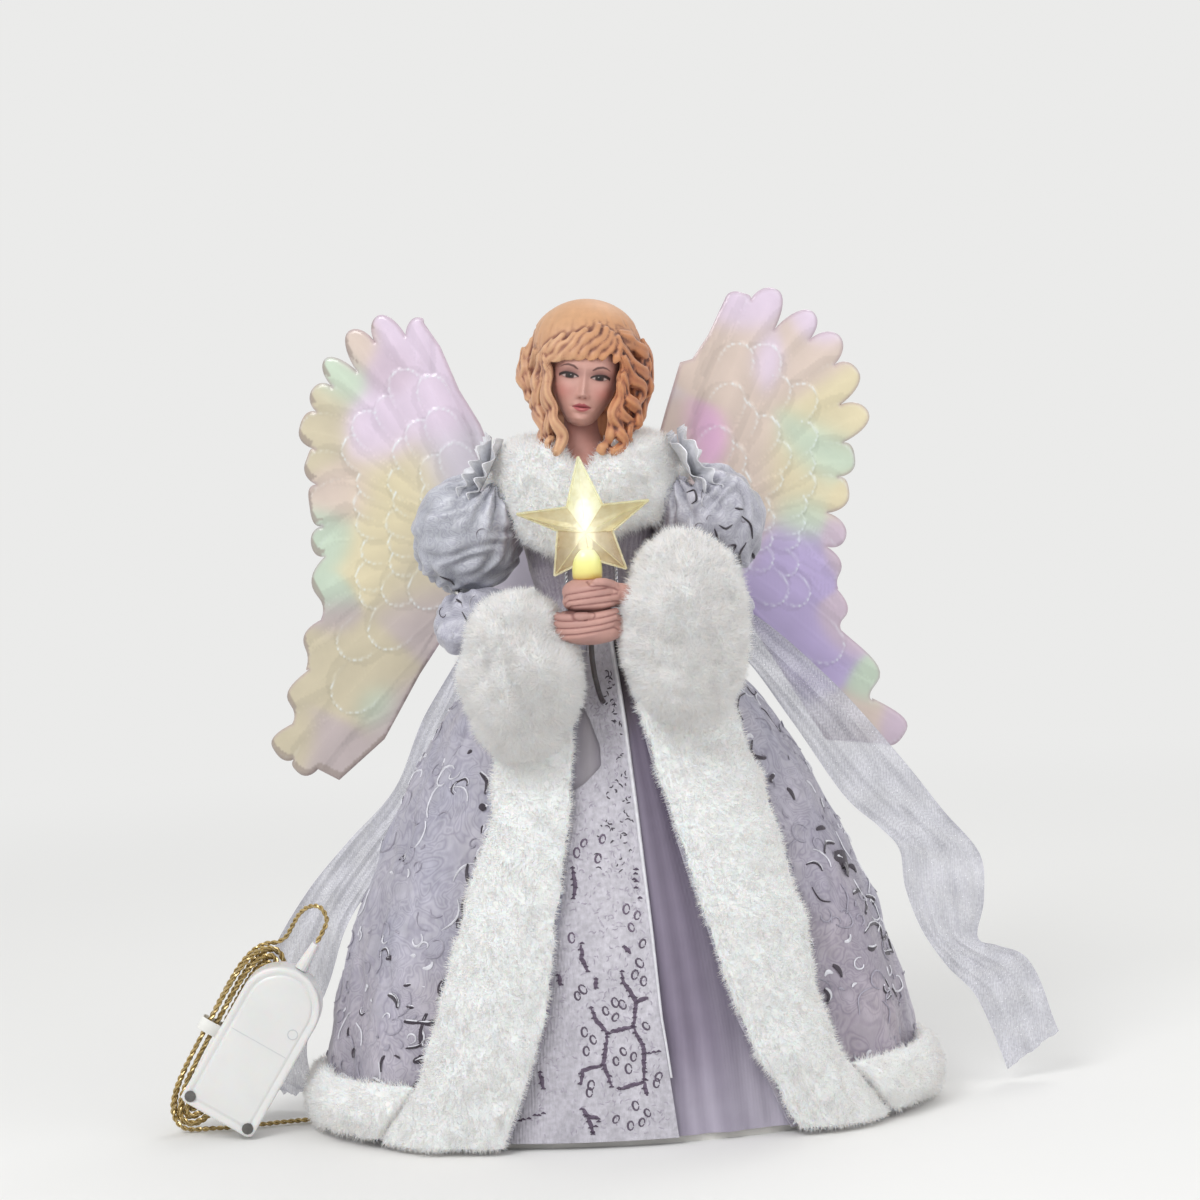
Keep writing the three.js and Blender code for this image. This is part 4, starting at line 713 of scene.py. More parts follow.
def blend_tints(uv, tints):
    total = np.full(len(uv), 1e-6)
    colour = np.tile(np.array(PEARL["shell"]) * 1e-6, (len(uv), 1))
    for u, v, spread, pearl_name in tints:
        weight = np.exp(-((uv[:, 0] - u) ** 2 * 0.42 + (uv[:, 1] - v) ** 2) / (spread * 0.75) ** 2) + 1e-9
        total += weight
        colour += weight[:, None] * np.array(PEARL[pearl_name], float)
    return colour / total[:, None]


# %% [markdown]
# The plastic is tinted like mother of pearl, so its colour is stored at each point: soft patches that melt
# into each other, a mauve line at the very edge, a painted highlight on each raised rim, painted shade on each
# feather's sides and beyond its tip, and on the left wing a painted shadow band along the lower edge. The
# shader adds a gloss coat over it, lets a little light through, and gives it a faint painted glow.

# %% Make both wings
# The faint emission is a painted glow that lightens the pearl plastic.
pearl = finish("pearl_plastic", (210, 200, 205), 0.34, Coat_Weight=0.55, Coat_Roughness=0.12, Alpha=0.92,
               Emission_Strength=0.08)
tree = pearl.node_tree
toned, _ = mottled(tree, stored(tree), 90.0, 0.95, 1.04)
feed(pearl, toned, "Base Color", "Emission Color")

# The wing turns on its pin in a barrel: pairs of radius and height, round the outside and back through the
# bore.
BARREL_SIDES, BARREL_RINGS = 24, [(2.6, 163.7), (2.6, 176.9), (1.3, 176.9), (1.3, 163.7)]


def make_wing(side, name, reach, tips, inner, tints, seed):
    wide = reach / math.cos(SWEEP)
    edge, tip_feathers, heart = wing_edge(tips, inner, wide)
    step = 0.62
    columns, rows = np.arange(0, wide + 2, step), np.arange(WING_Z, WING_Z + WING_TALL + 2, step)
    grid = np.stack(np.meshgrid(columns, rows), -1)
    grid[1::2, :, 0] += step / 2
    grid = grid.reshape(-1, 2)
    grid = grid[inside(grid, edge)]
    grid = grid[distance_to(grid, edge) > step * 0.55]
    flat = np.vstack([edge, grid])
    loop = list(range(len(edge)))
    made = delaunay_2d_cdt([Vector(p) for p in flat], [], [loop], 1, 1e-6)
    flat = np.array([v[:] for v in made[0]])
    triangles = [t for t in made[2] if len(t) == 3]
    centres = np.array([flat[list(t)].mean(0) for t in triangles])
    triangles = [t for t, keep in zip(triangles, inside(centres, edge)) if keep]
    gap = distance_to(flat, edge)
    height, light, shade = press(flat, covert_rows(tip_feathers, heart, seed), heart)
    thin_root = np.clip((flat[:, 0] - 5) / 14, 0, 1) * np.clip(gap / 1.5, 0, 1)
    half = 0.28 + 0.42 * np.sqrt(1 - (1 - np.clip(gap / 1.1, 0, 1)) ** 2) + height * 0.62 * thin_root
    uv = np.stack([flat[:, 0] / wide, (flat[:, 1] - WING_Z) / WING_TALL], 1)
    colour = blend_tints(uv, tints) * shade[:, None]
    # A painted highlight on the raised rims, flickering along them.
    highlight_flicker = 0.55 + 0.45 * np.sin(flat[:, 0] * 3.1 + flat[:, 1] * 2.3)
    colour = over(colour, (232, 240, 244), light * highlight_flicker * 0.85)
    line = np.exp(-((gap / 0.75) ** 2)) * (flat[:, 0] > 12)
    colour = over(colour, (170, 148, 158), 0.5 * line)
    # On the left wing, a painted shadow band along its lower left edge.
    if side < 0:
        shade_below = ~inside(flat + np.array([0.9, -2.4]), edge) & (flat[:, 0] > 45)
        colour = over(colour, (146, 132, 124), 0.6 * shade_below)
    n = len(flat)
    faces = [tuple(t) for t in triangles] + [tuple(i + n for i in t[::-1]) for t in triangles]
    edges = {pair: None for a, b, c in triangles for pair in ((a, b), (b, c), (c, a))}
    faces += [(j, i, i + n, j + n) for i, j in edges if (j, i) not in edges]
    spread = np.stack([np.concatenate([flat[:, 0]] * 2), np.concatenate([-half, half]),
                       np.concatenate([flat[:, 1]] * 2)], 1)
    turns = 2 * math.pi * np.arange(BARREL_SIDES) / BARREL_SIDES
    barrel = np.array([(r * math.cos(t), r * math.sin(t), z) for r, z in BARREL_RINGS for t in turns])
    start, last = len(spread), len(spread) + len(barrel) - BARREL_SIDES
    faces += grid_faces(BARREL_SIDES, len(BARREL_RINGS), wrap=True, start=start)
    faces += [(last + c, last + d, start + d, start + c)
              for c, d in ((c, (c + 1) % BARREL_SIDES) for c in range(BARREL_SIDES))]
    spread = np.vstack([spread, barrel])
    colours = np.vstack([colour, colour, np.tile((214, 204, 214), (len(barrel), 1))])
    x = spread[:, 0] * math.cos(SWEEP) - spread[:, 1] * math.sin(SWEEP)
    y = spread[:, 0] * math.sin(SWEEP) + spread[:, 1] * math.cos(SWEEP)
    placed = np.stack([side * (PIN[0] + x) - 2, PIN[1] + y, spread[:, 2]], 1)
    piece = piece_from(name, placed, faces)
    attribute(piece, "tint", to_linear(colours))
    body = name.replace("_feathers", "")
    put(piece, name, pearl, body=body, instead_of=(body,))
    face_out(piece, 0)
    bpy.ops.object.shade_smooth_by_angle(angle=math.radians(60))
    return piece


left_wing = make_wing(-1, "wing_left_feathers", 96, left_tips, left_inner, left_tints, 3)
right_wing = make_wing(1, "wing_right_feathers", 89, right_tips, right_inner, right_tints, 8)
print("wings:", len(left_wing.data.polygons), "and", len(right_wing.data.polygons), "faces")

# %% [markdown]
# The skirt is three cloths over one bell: a satin gown, a lace panel down its front, and an open brocade
# robe. Each hangs from the waist, so its folds grow from nothing at the top to their full depth at the hem. A
# point on a cloth is an angle round the bell, a height, and how far it stands off the bell. Cloth is drawn
# that way, with both its faces.

# %% Shape of the bell
BELL_TALL, BELL_HALF_WIDTH, BELL_HALF_DEPTH = 150, 85, 48
STAND = 5  # how far the cloths lie off the bell, near enough to place a drawing
bell_shares = np.array([0, 0.2, 0.413, 0.667, 0.833, 1])
bell_widths = np.array([1, 0.965, 0.87, 0.686, 0.528, 0.254]) * BELL_HALF_WIDTH
bell_depths = np.array([1, 0.97, 0.89, 0.72, 0.585, 0.315]) * BELL_HALF_DEPTH


def bell_half(z):
    share = np.clip(np.asarray(z, float) / BELL_TALL, 0, 1)
    near = [(np.interp(share + d, bell_shares, bell_widths), np.interp(share + d, bell_shares, bell_depths))
            for d in (-0.025, 0, 0.025)]
    return sum(n[0] for n in near) / 3, sum(n[1] for n in near) / 3


def bell_at(degrees, z, off):
    a, b = bell_half(z)
    t = np.radians(degrees)
    return np.stack([(a + off) * np.sin(t), -(b + off) * np.cos(t), z + 0 * t], -1)


def fall(z):
    return 1 - np.clip(z / BELL_TALL, 0, 1)


def gown_off(degrees, z):
    t = np.radians(degrees)
    folds = 0.5 + 0.3 * np.cos(29 * t + 2 * np.sin(3 * t + z * 0.012)) + 0.2 * np.cos(53 * t + z * 0.05)
    return 0.55 + fall(z) * 1.7 * folds


def lace_off(degrees, z):
    return 1.75 + 1.6 * fall(z) + 0.25 * fall(z) * waves(degrees * 1.2, z, 4, 22)


def robe_off(degrees, z):
    t = np.radians(degrees)
    wander = 1.1 * np.sin(2 * t + 0.5) + 0.8 * np.sin(3 * t + 1) + 0.004 * z * np.sin(5 * t)
    folds = 0.5 + 0.5 * np.cos(12 * t + wander)
    crumple = waves(degrees * 1.3, z * 0.8, 11, 13) * 0.85 + waves(degrees * 1.3, z * 0.6, 12, 6) * 0.2
    return 2.95 + 1.6 * fall(z) + fall(z) * 3.3 * folds + crumple * np.clip(fall(z) * 4, 0.15, 1)


def hung_cloth(name, low, high, left, right, off, thick, columns, rows):
    """left and right are tables of height share and degrees."""
    z = np.linspace(low, high, rows)[:, None]
    share = z / BELL_TALL
    a = np.interp(share, *zip(*left))
    b = np.interp(share, *zip(*right))
    degrees = a + (b - a) * np.linspace(0, 1, columns)[None, :]
    z = z + 0 * degrees
    inner = off(degrees, z)
    return closed_sheet(name, bell_at(degrees, z, inner + thick), bell_at(degrees, z, inner))


def angle_round(x, y, z):
    """Degrees round the bell, from the front."""
    a, b = bell_half(z)
    return np.degrees(np.arctan2(x / a, -y / b))


coarse = 1
robe_left = [(0, -23), (0.25, -14.5), (0.66, -10.5), (1, -9)]
robe_right = [(0, 33), (0.23, 23), (0.66, 15), (1, 9)]
lace_left = [(0, -25), (0.25, -17), (0.6, -12.5), (0.69, -12), (0.705, -7.5), (0.74, -2), (0.78, -2.2),
             (0.83, -5.5), (0.88, -11), (1, -11)]
lace_right = [(0, 10), (0.25, 7.8), (1, 6)]
gown = hung_cloth("gown", 2.3, 149.7, [(0, -180), (1, -180)], [(0, 179.7), (1, 179.7)], gown_off, 0.5,
                  360 // coarse, 42 // coarse)
lace = hung_cloth("lace_front", 2.3, 149.7, lace_left, lace_right, lace_off, 0.6, 60 // coarse, 120 // coarse)
robe = hung_cloth("brocade_robe", 2.5, 149.7, robe_right, [(s, 360 + d) for s, d in robe_left], robe_off, 0.6,
                  330 // coarse, 84 // coarse)

# %% [markdown]
# The satin is grey lilac, with painted streaks of shade where its folds turn away and painted shade beside the
# lace and in the slit at the waist. The robe is a stiff brocade: pale lilac grey, with a fine woven ground,
# scrolls in darker thread, and painted shade along its folds and on its right side. Both colours are laid over
# the mottle, so no part is flat.

# %% Finishes of the cloths
def tinted_cloth(name, rough, threads, strength, low=0.94, high=1.04, scale=120.0, swirls=0.0, **sockets):
    """Colour from the piece's own tint, over a woven ground. swirls is the fineness of a figured pattern."""
    material = finish(name, (190, 188, 198), rough, **sockets)
    tree = material.node_tree
    place = coordinates(tree)
    colour, _ = mottled(tree, stored(tree), scale, low, high)
    if swirls:
        winding = node(tree, "ShaderNodeTexNoise",
                       {"Vector": place, "Scale": swirls, "Detail": 1.2, "Distortion": 2.6}).outputs[0]
        stops = []
        for line, dark in ((0.405, (228, 226, 233)), (0.515, (222, 220, 228)), (0.625, (230, 228, 235))):
            stops += [(line - 0.045, (252, 252, 254)), (line, dark), (line + 0.045, (255, 255, 255))]
        colour = mix_colours(tree, 1.0, colour, ramp(tree, winding, stops), "MULTIPLY")
    feed(material, colour, "Base Color")
    woven = place_group(tree, weave, {"Vector": place, "Threads": threads})
    grain = node(tree, "ShaderNodeTexNoise", {"Vector": place, "Scale": 900.0, "Detail": 3.0}).outputs[0]
    bump(material, math_node(tree, "ADD", math_node(tree, "MULTIPLY", woven.outputs["Height"], 0.35), grain),
         strength, 0.0004)
    return material


satin = tinted_cloth("gown_satin", 0.38, 5200.0, 0.12, Sheen_Weight=0.3, Sheen_Roughness=0.3, Anisotropic=0.5)
brocade = tinted_cloth("brocade", 0.52, 4200.0, 0.3, 0.88, 1.06, 260.0, 75.0,
                       Sheen_Weight=0.25, Sheen_Roughness=0.4)
net = tinted_cloth("lace_net", 0.6, 6000.0, 0.5, 0.8, 1.1, 700.0, Sheen_Weight=0.2)


def tint_by(piece, colour_of):
    p = places(piece)
    attribute(piece, "tint", to_linear(colour_of(p[:, 0], p[:, 1], p[:, 2])))


def gown_colour(x, y, z):
    degrees = angle_round(x, y, z)
    turn = np.radians(degrees)
    # Painted shade: streaks along the folds, the satin darker right of the lace and at the lace's edge, greyer
    # left of the lace near the top, and nearly black in the slit at the waist.
    streak = 0.5 + 0.5 * np.cos(turn * 53 + z * 0.05) * np.cos(turn * 29 + z * 0.02)
    fine = 0.5 + 0.5 * waves(degrees * 3, z * 0.08, 21, 4)
    base = np.array((176, 170, 186)) + (streak[:, None] - 0.5) * 26 + (fine[:, None] - 0.5) * 16
    front = y < 0
    dark = peak(degrees, 12, 12) * np.clip(z / 30, 0.35, 1) * front
    slit_shadow = peak(degrees, 7, 5) * np.clip((z - 118) / 12, 0, 1) * front
    taupe = peak(degrees, -6, 5) * np.clip((z - 96) / 10, 0, 1) * front
    lace_edge_shade = np.exp(-np.abs(degrees - 9) / 3.5)[:, None] * 16
    out = over(base, np.array((114, 104, 124)) - lace_edge_shade + (streak[:, None] - 0.5) * 40, dark * 0.85)
    return over(over(out, (165, 160, 162), taupe * 0.6), (70, 60, 66), slit_shadow * 0.9)


def robe_colour(x, y, z):
    degrees = angle_round(x, y, z) % 360
    patch = waves(degrees, z, 31, 26)
    small = waves(degrees * 1.4, z, 32, 7)
    base = np.array((178, 176, 188)) + patch[:, None] * np.array((7, 6, 4)) + small[:, None] * 5
    t = np.radians(degrees)
    # Painted shade along the folds, and on the right side of the front.
    fold = np.cos(12 * t + 1.1 * np.sin(2 * t + 0.5) + 0.8 * np.sin(3 * t + 1))
    base += fold[:, None] * 13 * fall(z)[:, None]
    shaded = np.clip((x - 34) / 34, 0, 1) * np.clip(-y / 20, 0, 1) * np.clip(fall(z) * 1.6, 0, 1)
    base -= shaded[:, None] * np.array((17, 22, 22))
    return over(base, (190, 176, 182), peak(z, 30, 22) * 0.25)


def lace_colour(x, _, z):
    patch = waves(x * 2, z, 41, 18)
    base = np.array((188, 185, 195)) + patch[:, None] * 6
    centre = peak(x, 2, 14) * np.clip((110 - z) / 30, 0, 1)
    return base + centre[:, None] * np.array((8, 8, 7))


tint_by(gown, gown_colour)
tint_by(lace, lace_colour)
tint_by(robe, robe_colour)
put(gown, "gown", satin, instead_of=("gown_skirt",))
put(lace, "lace_front", net, instead_of=("lace_panel",))
put(robe, "brocade_robe", brocade, instead_of=("robe",))

# %% [markdown]
# The brocade's scrolls are raised threads of silver: curls, commas, leaves and dots. Some are painted nearly
# black as the dark reflection of the silver, some painted pale as its highlight, and the rest keep the
# thread's own grey. Each is a thin strip with three sides that follows the cloth. Groups of them repeat round
# the skirt. The same strips draw the lace: a few bold lines with short bars across them, small ovals beside
# them, and behind both a pale net of six-sided cells.

# %% Strips on a cloth
def on_front(path):
    """Angles and heights of points on a cloth that are given as seen from the front."""
    a, _ = bell_half(path[:, 1])
    return np.degrees(np.arcsin(np.clip(path[:, 0] / (a + STAND), -0.999, 0.999))), path[:, 1]


def around(path, middle, height):
    """Places a small flat drawing on the skirt at an angle and a height."""
    a, b = bell_half(height)
    t = math.radians(middle)
    arc = math.hypot((a + STAND) * math.cos(t), (b + STAND) * math.sin(t))
    return middle + np.degrees(path[:, 0] / arc), height + path[:, 1] * 0.94


def strip(degrees, z, off_of, width, lift=0.75, rise=0.3):
    """A thin strip with three sides along a path on the cloth, narrow at both ends."""
    line = bell_at(degrees, z, off_of(degrees, z) + lift)
    inner = bell_at(degrees, z, off_of(degrees, z) + lift - 1)
    out = unit(line - inner)
    ahead = np.gradient(line, axis=0)
    ahead /= np.linalg.norm(ahead, axis=1)[:, None] + 1e-9
    side = np.cross(ahead, out)
    share = np.linspace(0, 1, len(line))
    half = width / 2 * (0.25 + 0.75 * np.sin(math.pi * np.clip(share, 0.04, 0.96)) ** 0.6)
    beside = side * half[:, None]
    points = np.stack([line - beside, line + beside, line + out * rise], 1).reshape(-1, 3)
    return points, grid_faces(3, len(line), wrap=True) + end_caps(3, len(points))


def curl(radius, sweep, start, tighten=0.55, steps=12):
    t = np.linspace(0, 1, steps)
    angle = np.radians(start + sweep * t)
    r = radius * (1 - tighten * t)
    return np.stack([np.cos(angle) * r, np.sin(angle) * r], 1)


def turn_path(path, degrees, move=(0, 0), size=1.0):
    c, s = math.cos(math.radians(degrees)), math.sin(math.radians(degrees))
    return path @ np.array([[c, s], [-s, c]]) * size + np.array(move)


def bow(length, bend, steps=8):
    t = np.linspace(-1, 1, steps)
    return np.stack([t * length / 2, bend * (1 - t * t)], 1)


# The nearly black and the pale silver colours are painted reflections of the silver thread; THREAD is its own
# colour.
DARK_REFLECTION, SILVER_HIGHLIGHT, THREAD = (52, 42, 56), (222, 222, 230), (162, 158, 173)
# One group: each stroke's line, turn, place and width.
scroll_group = [
    (curl(4.6, 265, 20), 0, (0, 2), 0.9), (curl(3.2, -240, 200), 15, (6.5, -3), 0.8),
    (bow(11, 2.6), 62, (-4.5, -6), 0.8), (bow(8, -2), 120, (4, -8), 0.7),
    (curl(2.4, 280, 90), 0, (-7, 5.5), 0.7), (bow(3.6, 1), 30, (2.8, 8.2), 1.5),
    (bow(3, 0.8), 100, (-2.5, 9), 1.2), (bow(2, 0.2), 0, (8, 4.5), 1.3), (bow(2, 0.2), 50, (-8.5, -1), 1.2),
    (bow(5, 1.8), -35, (-0.5, -11.5), 0.8), (curl(2, -230, 0), 0, (3.2, 0.5), 0.6)]
threads, tints = [], []


def add_strip(made, colour):
    threads.append(made)
    tints.append(np.tile(colour, (len(made[0]), 1)))


def add_stroke(degrees, z, off_of, width, shade, chance):
    add_strip(strip(degrees, z, off_of, width), shade)
    # Most painted dark reflections get a painted silver highlight beside them.
    if shade is DARK_REFLECTION and chance.random() < 0.8:
        add_strip(strip(degrees + 0.42, z + 0.45, off_of, width * 0.55), SILVER_HIGHLIGHT)


chance = random.Random(5)
rows = [(14, 17), (38, 16), (62, 14), (86, 11), (108, 8), (128, 6)]
for k, (height, count) in enumerate(rows):
    for i in range(count):
        middle = 30 + (i + 0.5 * (k % 2) + 0.35) * 300 / count + chance.uniform(-2, 2)
        if middle > 338:
            continue
        size, turned = chance.uniform(0.75, 1.05), chance.choice((0, 25, 160, -20, 190))
        for path, spin, move, width in scroll_group:
            if chance.random() < 0.22:
                continue
            drawn = turn_path(turn_path(path, spin, move), turned, (0, 0), size)
            degrees, z = around(drawn, middle, height + chance.uniform(-2, 2))
            if z.min() < 3.5 or z.max() > 146:
                continue
            pick = chance.random()
            shade = DARK_REFLECTION if pick < 0.07 else SILVER_HIGHLIGHT if pick < 0.42 else THREAD
            add_stroke(degrees, z, robe_off, width * (0.8 if shade is THREAD else 1), shade, chance)

# Strokes that stand out at the front: place as seen from the front, length, bend, turn and width. They are
# painted dark as a reflection of the silver thread, unless a row names another thread.
front_strokes = [
    (-39, 107, 6, 1.2, -78, 1.3), (-39, 100, 2.2, 0.2, 0, 1.8), (-39.5, 92.5, 4.6, 0.6, 82, 1.5),
    (-41, 85.5, 3.4, 0.8, 40, 1.0), (-43.5, 80, 8, 1.2, 100, 0.9), (-43, 71, 7.5, 3.6, 30, 1.1),
    (-41, 69, 5, -2.4, 60, 1.0), (-47, 66, 4, 1, 20, 2.2), (-55, 41.5, 19, -3.2, 22, 1.7),
    (-57, 38, 16, 2.4, 68, 1.6), (-53, 47, 7, 1.6, 78, 1.2), (-66, 55, 5, 1, -15, 1.6),
    (-61, 48, 4.6, 0.5, -10, 1.3), (-67, 43.5, 4.4, -1.4, 130, 1.7), (-61.5, 42.5, 3, -0.6, 5, 1.1),
    (-60.5, 26.5, 3.4, 0.4, 10, 2.3), (-62, 33, 6.5, -2.4, 60, 1.0), (-68, 25, 7, 3, 40, 1.0),
    (-73, 18.5, 8, 1.4, -8, 1.6), (-82, 26, 3, 0.4, 80, 1.2), (-83, 32, 2.4, 0.3, 85, 1.0),
    (33.5, 113, 7.5, 0.8, -66, 1.9), (39, 119, 3.4, 0.4, -50, 1.3), (45, 112, 7.5, -2.2, -50, 1.3),
    (48.5, 103, 2.2, 0.3, 70, 2.1), (53, 98, 4, 0.5, -60, 1.6), (41, 95, 9, 1.2, -66, 0.9, THREAD),
    (46.5, 82.5, 4, 0.5, -62, 1.3), (53, 64, 4.4, 0.7, -60, 1.4), (56, 55, 4, 0.6, -55, 1.4),
    (63.5, 45.5, 4.6, 0.6, -58, 1.5), (60, 38.5, 4.6, -1.2, 100, 1.5), (67.5, 74.5, 7.5, 1.6, -58, 5.4),
    (72, 72.5, 3, 0.4, -55, 1.7), (63.5, 80.5, 4, 1.8, 30, 1.1), (61.5, 86.5, 2.8, 0.2, -5, 1.4),
    (72, 63, 8.5, -3.6, 125, 1.9), (77, 62, 3.6, 0.6, -60, 1.0), (76, 52.5, 9, 3.6, -30, 0.9),
    (74.5, 50, 3, -0.4, -8, 1.4), (81, 49.5, 4, 0.5, 70, 1.3), (81.5, 45.5, 2, 0.2, -30, 1.6),
    (86.5, 47, 4.6, 1, -70, 1.3), (77, 37.5, 7, -2.8, 90, 0.9), (82, 34.5, 3, 0.3, -70, 1.1)]
for x, z, length, bend, spin, width, *other in front_strokes:
    path = turn_path(bow(length, bend, 9), spin, (x + 0.9, z))
    add_stroke(*on_front(path), robe_off, width * 1.35, other[0] if other else DARK_REFLECTION, chance)

scrolls = piece_from("brocade_scrolls", *gather(threads))
attribute(scrolls, "tint", to_linear(np.vstack(tints)))
thread = tinted_cloth("raised_thread", 0.4, 5200.0, 0.15, 0.8, 1.1, 500.0, Sheen_Weight=0.2)
put(scrolls, "brocade_scrolls", thread)
print("scrolls have", len(scrolls.data.polygons), "faces")

# %% Honeycomb of the lace
threads, tints = [], []
MAUVE, PALE_MAUVE = (98, 84, 104), (170, 164, 178)


def lace_reach(z):
    """The angles of the lace's left and right edges at a height."""
    return [np.interp(z / BELL_TALL, *zip(*side)) for side in (lace_left, lace_right)]


def on_lace(degrees, z, margin=0.8):
    a, b = lace_reach(z)
    return ((degrees > a + margin) & (degrees < b - margin) & (z > 4) & (z < 146)).all()


chance = random.Random(9)
bold_lines = [
    [(-4.3, 34.0), (-6.0, 25.1), (-3.9, 18.5)], [(-4.3, 34.0), (3.5, 35.4)],
    [(3.5, 35.4), (6.3, 28.8), (5.8, 19.5)], [(-8.8, 41.6), (-7.5, 37.5), (-4.3, 34.0)],
    [(3.5, 35.4), (4.8, 42.5), (1.4, 48.2), (0.7, 51.4)], [(4.8, 42.5), (8.3, 43.5)],
    [(6.2, 27.5), (13.4, 27.8)], [(-6.0, 24.8), (-12.3, 23.6), (-13.1, 19.3)], [(-2.1, 17.4), (5.8, 19.2)],
    [(5.8, 19.2), (6.5, 15.1)], [(-11.8, 9.9), (-10.1, 5.5)], [(-8.1, 9.4), (-10.1, 5.5), (-10.9, 3.0)],
    [(-11.8, 9.9), (-8.1, 9.4)], [(7.7, 83.8), (6.2, 76.4), (9.1, 69.5)],
    [(-10.9, 60.0), (-10.9, 55.7), (-9.2, 51.9)], [(-12.4, 81.8), (-11.9, 76.8), (-12.4, 73.1)],
    [(-6.8, 49.9), (-7.3, 46.8)], [(-18.2, 51.7), (-17.8, 48.3)], [(-25.3, 23.0), (-24.3, 18.6)],
    [(-29.2, 18.9), (-32.5, 14.7), (-32.4, 12.2)], [(-34.7, 8.3), (-24.1, 11.2)], [(8.4, 86.2), (11.1, 84.2)],
    [(2.0, 58.7), (3.8, 56.8)], [(-12.9, 12.4), (-11.8, 9.9)]]
ring_places = [
    (0.1, 28.5), (-2.2, 25.8), (3.1, 26.8), (1.4, 23.4), (-4.5, 40.5), (-1.7, 38.5), (0.6, 42.1),
    (-1.6, 42.8), (6.4, 53.8), (4.8, 50.5), (7.3, 48.5), (3.3, 69.5), (6.5, 67.5), (4.5, 64.2), (-11.2, 34.6),
    (-8.7, 32.3), (-10.9, 29.1), (7.3, 35.5), (9.7, 37.9), (10.7, 33.2), (-10.6, 17.0), (-10.0, 19.1),
    (2.9, 12.5), (6.3, 10.2), (4.5, 7.5), (9.5, 77.8), (9.9, 76.2), (-11.0, 47.0), (-12.7, 45.2),
    (-13.6, 62.0), (7.6, 59.3), (-4.9, 4.0), (-7.2, 2.8), (10.2, 20.5), (12.4, 21.0), (9.5, 18.7),
    (8.6, 89.9), (9.9, 84.9), (-10.8, 86.3), (-8.5, 89.0), (-2.8, 89.9), (14.7, 12.2), (-4.4, 84.4),
    (-3.1, 8.8), (1.1, 6.7), (-17.0, 4.6)]


def lace_thread(path, width, shade, rise=0.3):
    degrees, z = on_front(path)
    if on_lace(degrees, z):
        add_strip(strip(degrees, z, lace_off, width, 0.5, rise), shade)


for line in bold_lines:
    path = along(np.array([(x, 0.0, z) for x, z in line]), 0.7)[:, ::2]
    path += np.array([[chance.uniform(-0.16, 0.16), chance.uniform(-0.16, 0.16)] for _ in path])
    lace_thread(path, 1.8, MAUVE, 0.35)
    for x, z in path[::2]:
        bar = np.array([[x - 0.7, z], [x, z + 0.2], [x + 0.7, z]])
        lace_thread(bar + chance.uniform(-0.4, 0.4), 0.9, (82, 68, 88), 0.5)
for x, z in ring_places:
    angle = np.radians(np.linspace(0, 345, 10))
    wide, lean = chance.uniform(0.8, 1.0), chance.uniform(-40, 40)
    oval = turn_path(np.stack([wide * np.cos(angle), 1.5 * wide * np.sin(angle)], 1), lean, (x, z))
    lace_thread(oval, 1.0, (82, 70, 88) if z < 60 else MAUVE)
# The same cells go on over the whole panel, but so pale that they only show as a soft net.
CELL_WIDE, CELL_TALL = 11.6, 15.2
for column in range(-4, 5):
    for row in range(-1, 10):
        cx = 3.5 + column * CELL_WIDE - row * 0.9
        cz = 12 + row * CELL_TALL + (CELL_TALL / 2 if column % 2 else 0) + column * 0.8
        corners = [(cx + CELL_WIDE * 0.62 * math.cos(math.radians(60 * k)),
                    cz + CELL_TALL * 0.56 * math.sin(math.radians(60 * k))) for k in range(4)]
        for (x1, z1), (x2, z2) in zip(corners, corners[1:]):
            for d in range(6):
                if chance.random() < 0.45:
                    continue
                t = np.linspace((d + 0.15) / 6, (d + 0.85) / 6, 3)
                lean = np.array([chance.uniform(-0.4, 0.4), chance.uniform(-0.4, 0.4)])
                side_line = np.stack([x1 + (x2 - x1) * t, z1 + (z2 - z1) * t], 1) + lean
                lace_thread(side_line, 0.8, PALE_MAUVE, 0.2)
for _ in range(620):
    z0 = chance.uniform(5, 138)
    a, b = lace_reach(z0)
    side = chance.choice((0, 0, 1))
    degrees0 = a + (b - a) * (chance.betavariate(6, 1.6) if side else chance.random())
    path = turn_path(bow(chance.uniform(0.7, 1.9), chance.uniform(-0.5, 0.5), 4), chance.uniform(0, 180))
    degrees, z = around(path, degrees0, z0)
    if on_lace(degrees, z):
        dark = z0 > 80 and side
        add_strip(strip(degrees, z, lace_off, 0.75, 0.5, 0.22), (60, 52, 64) if dark else PALE_MAUVE)
honeycomb = piece_from("lace_honeycomb", *gather(threads))
attribute(honeycomb, "tint", to_linear(np.vstack(tints)))
put(honeycomb, "lace_honeycomb", thread)
z = np.linspace(147, 20, 60)
edge_line = bell_at(lace_reach(z)[1] + 0.3, z, lace_off(8 + 0 * z, z) + 0.7)
piping_silk = shade_colour(finish("white_piping", (220, 220, 226), 0.35), (222, 222, 228), 400)
piping = piece_from("lace_piping", *tube(edge_line, np.interp(z, [20, 147], [0.35, 0.7]), 6))
put(piping, "lace_piping", piping_silk)
print("lace has", len(honeycomb.data.polygons), "faces of threads")

# %% [markdown]
# The head is one casting on the real doll, painted after it left the mould. The face is a surface whose depth
# is worked out point by point: brow, sockets, nose, lips and chin are small swellings and hollows on an oval.
# The paint is stored at the same points, fine enough for lashes, and with it painted shade at the face's sides,
# under the nose and lip and in the nostrils, and painted highlights on the nose, the lower lip and each eye.
# The head tilts nine degrees and looks a little down.

# %% Face
EYES = np.array([-0.73, -5.5, 226.05])
TILT = math.radians(9)


def hill(x, z, cx, cz, wide, tall):
    return np.exp(-(((x - cx) / wide) ** 2) - ((z - cz) / tall) ** 2)


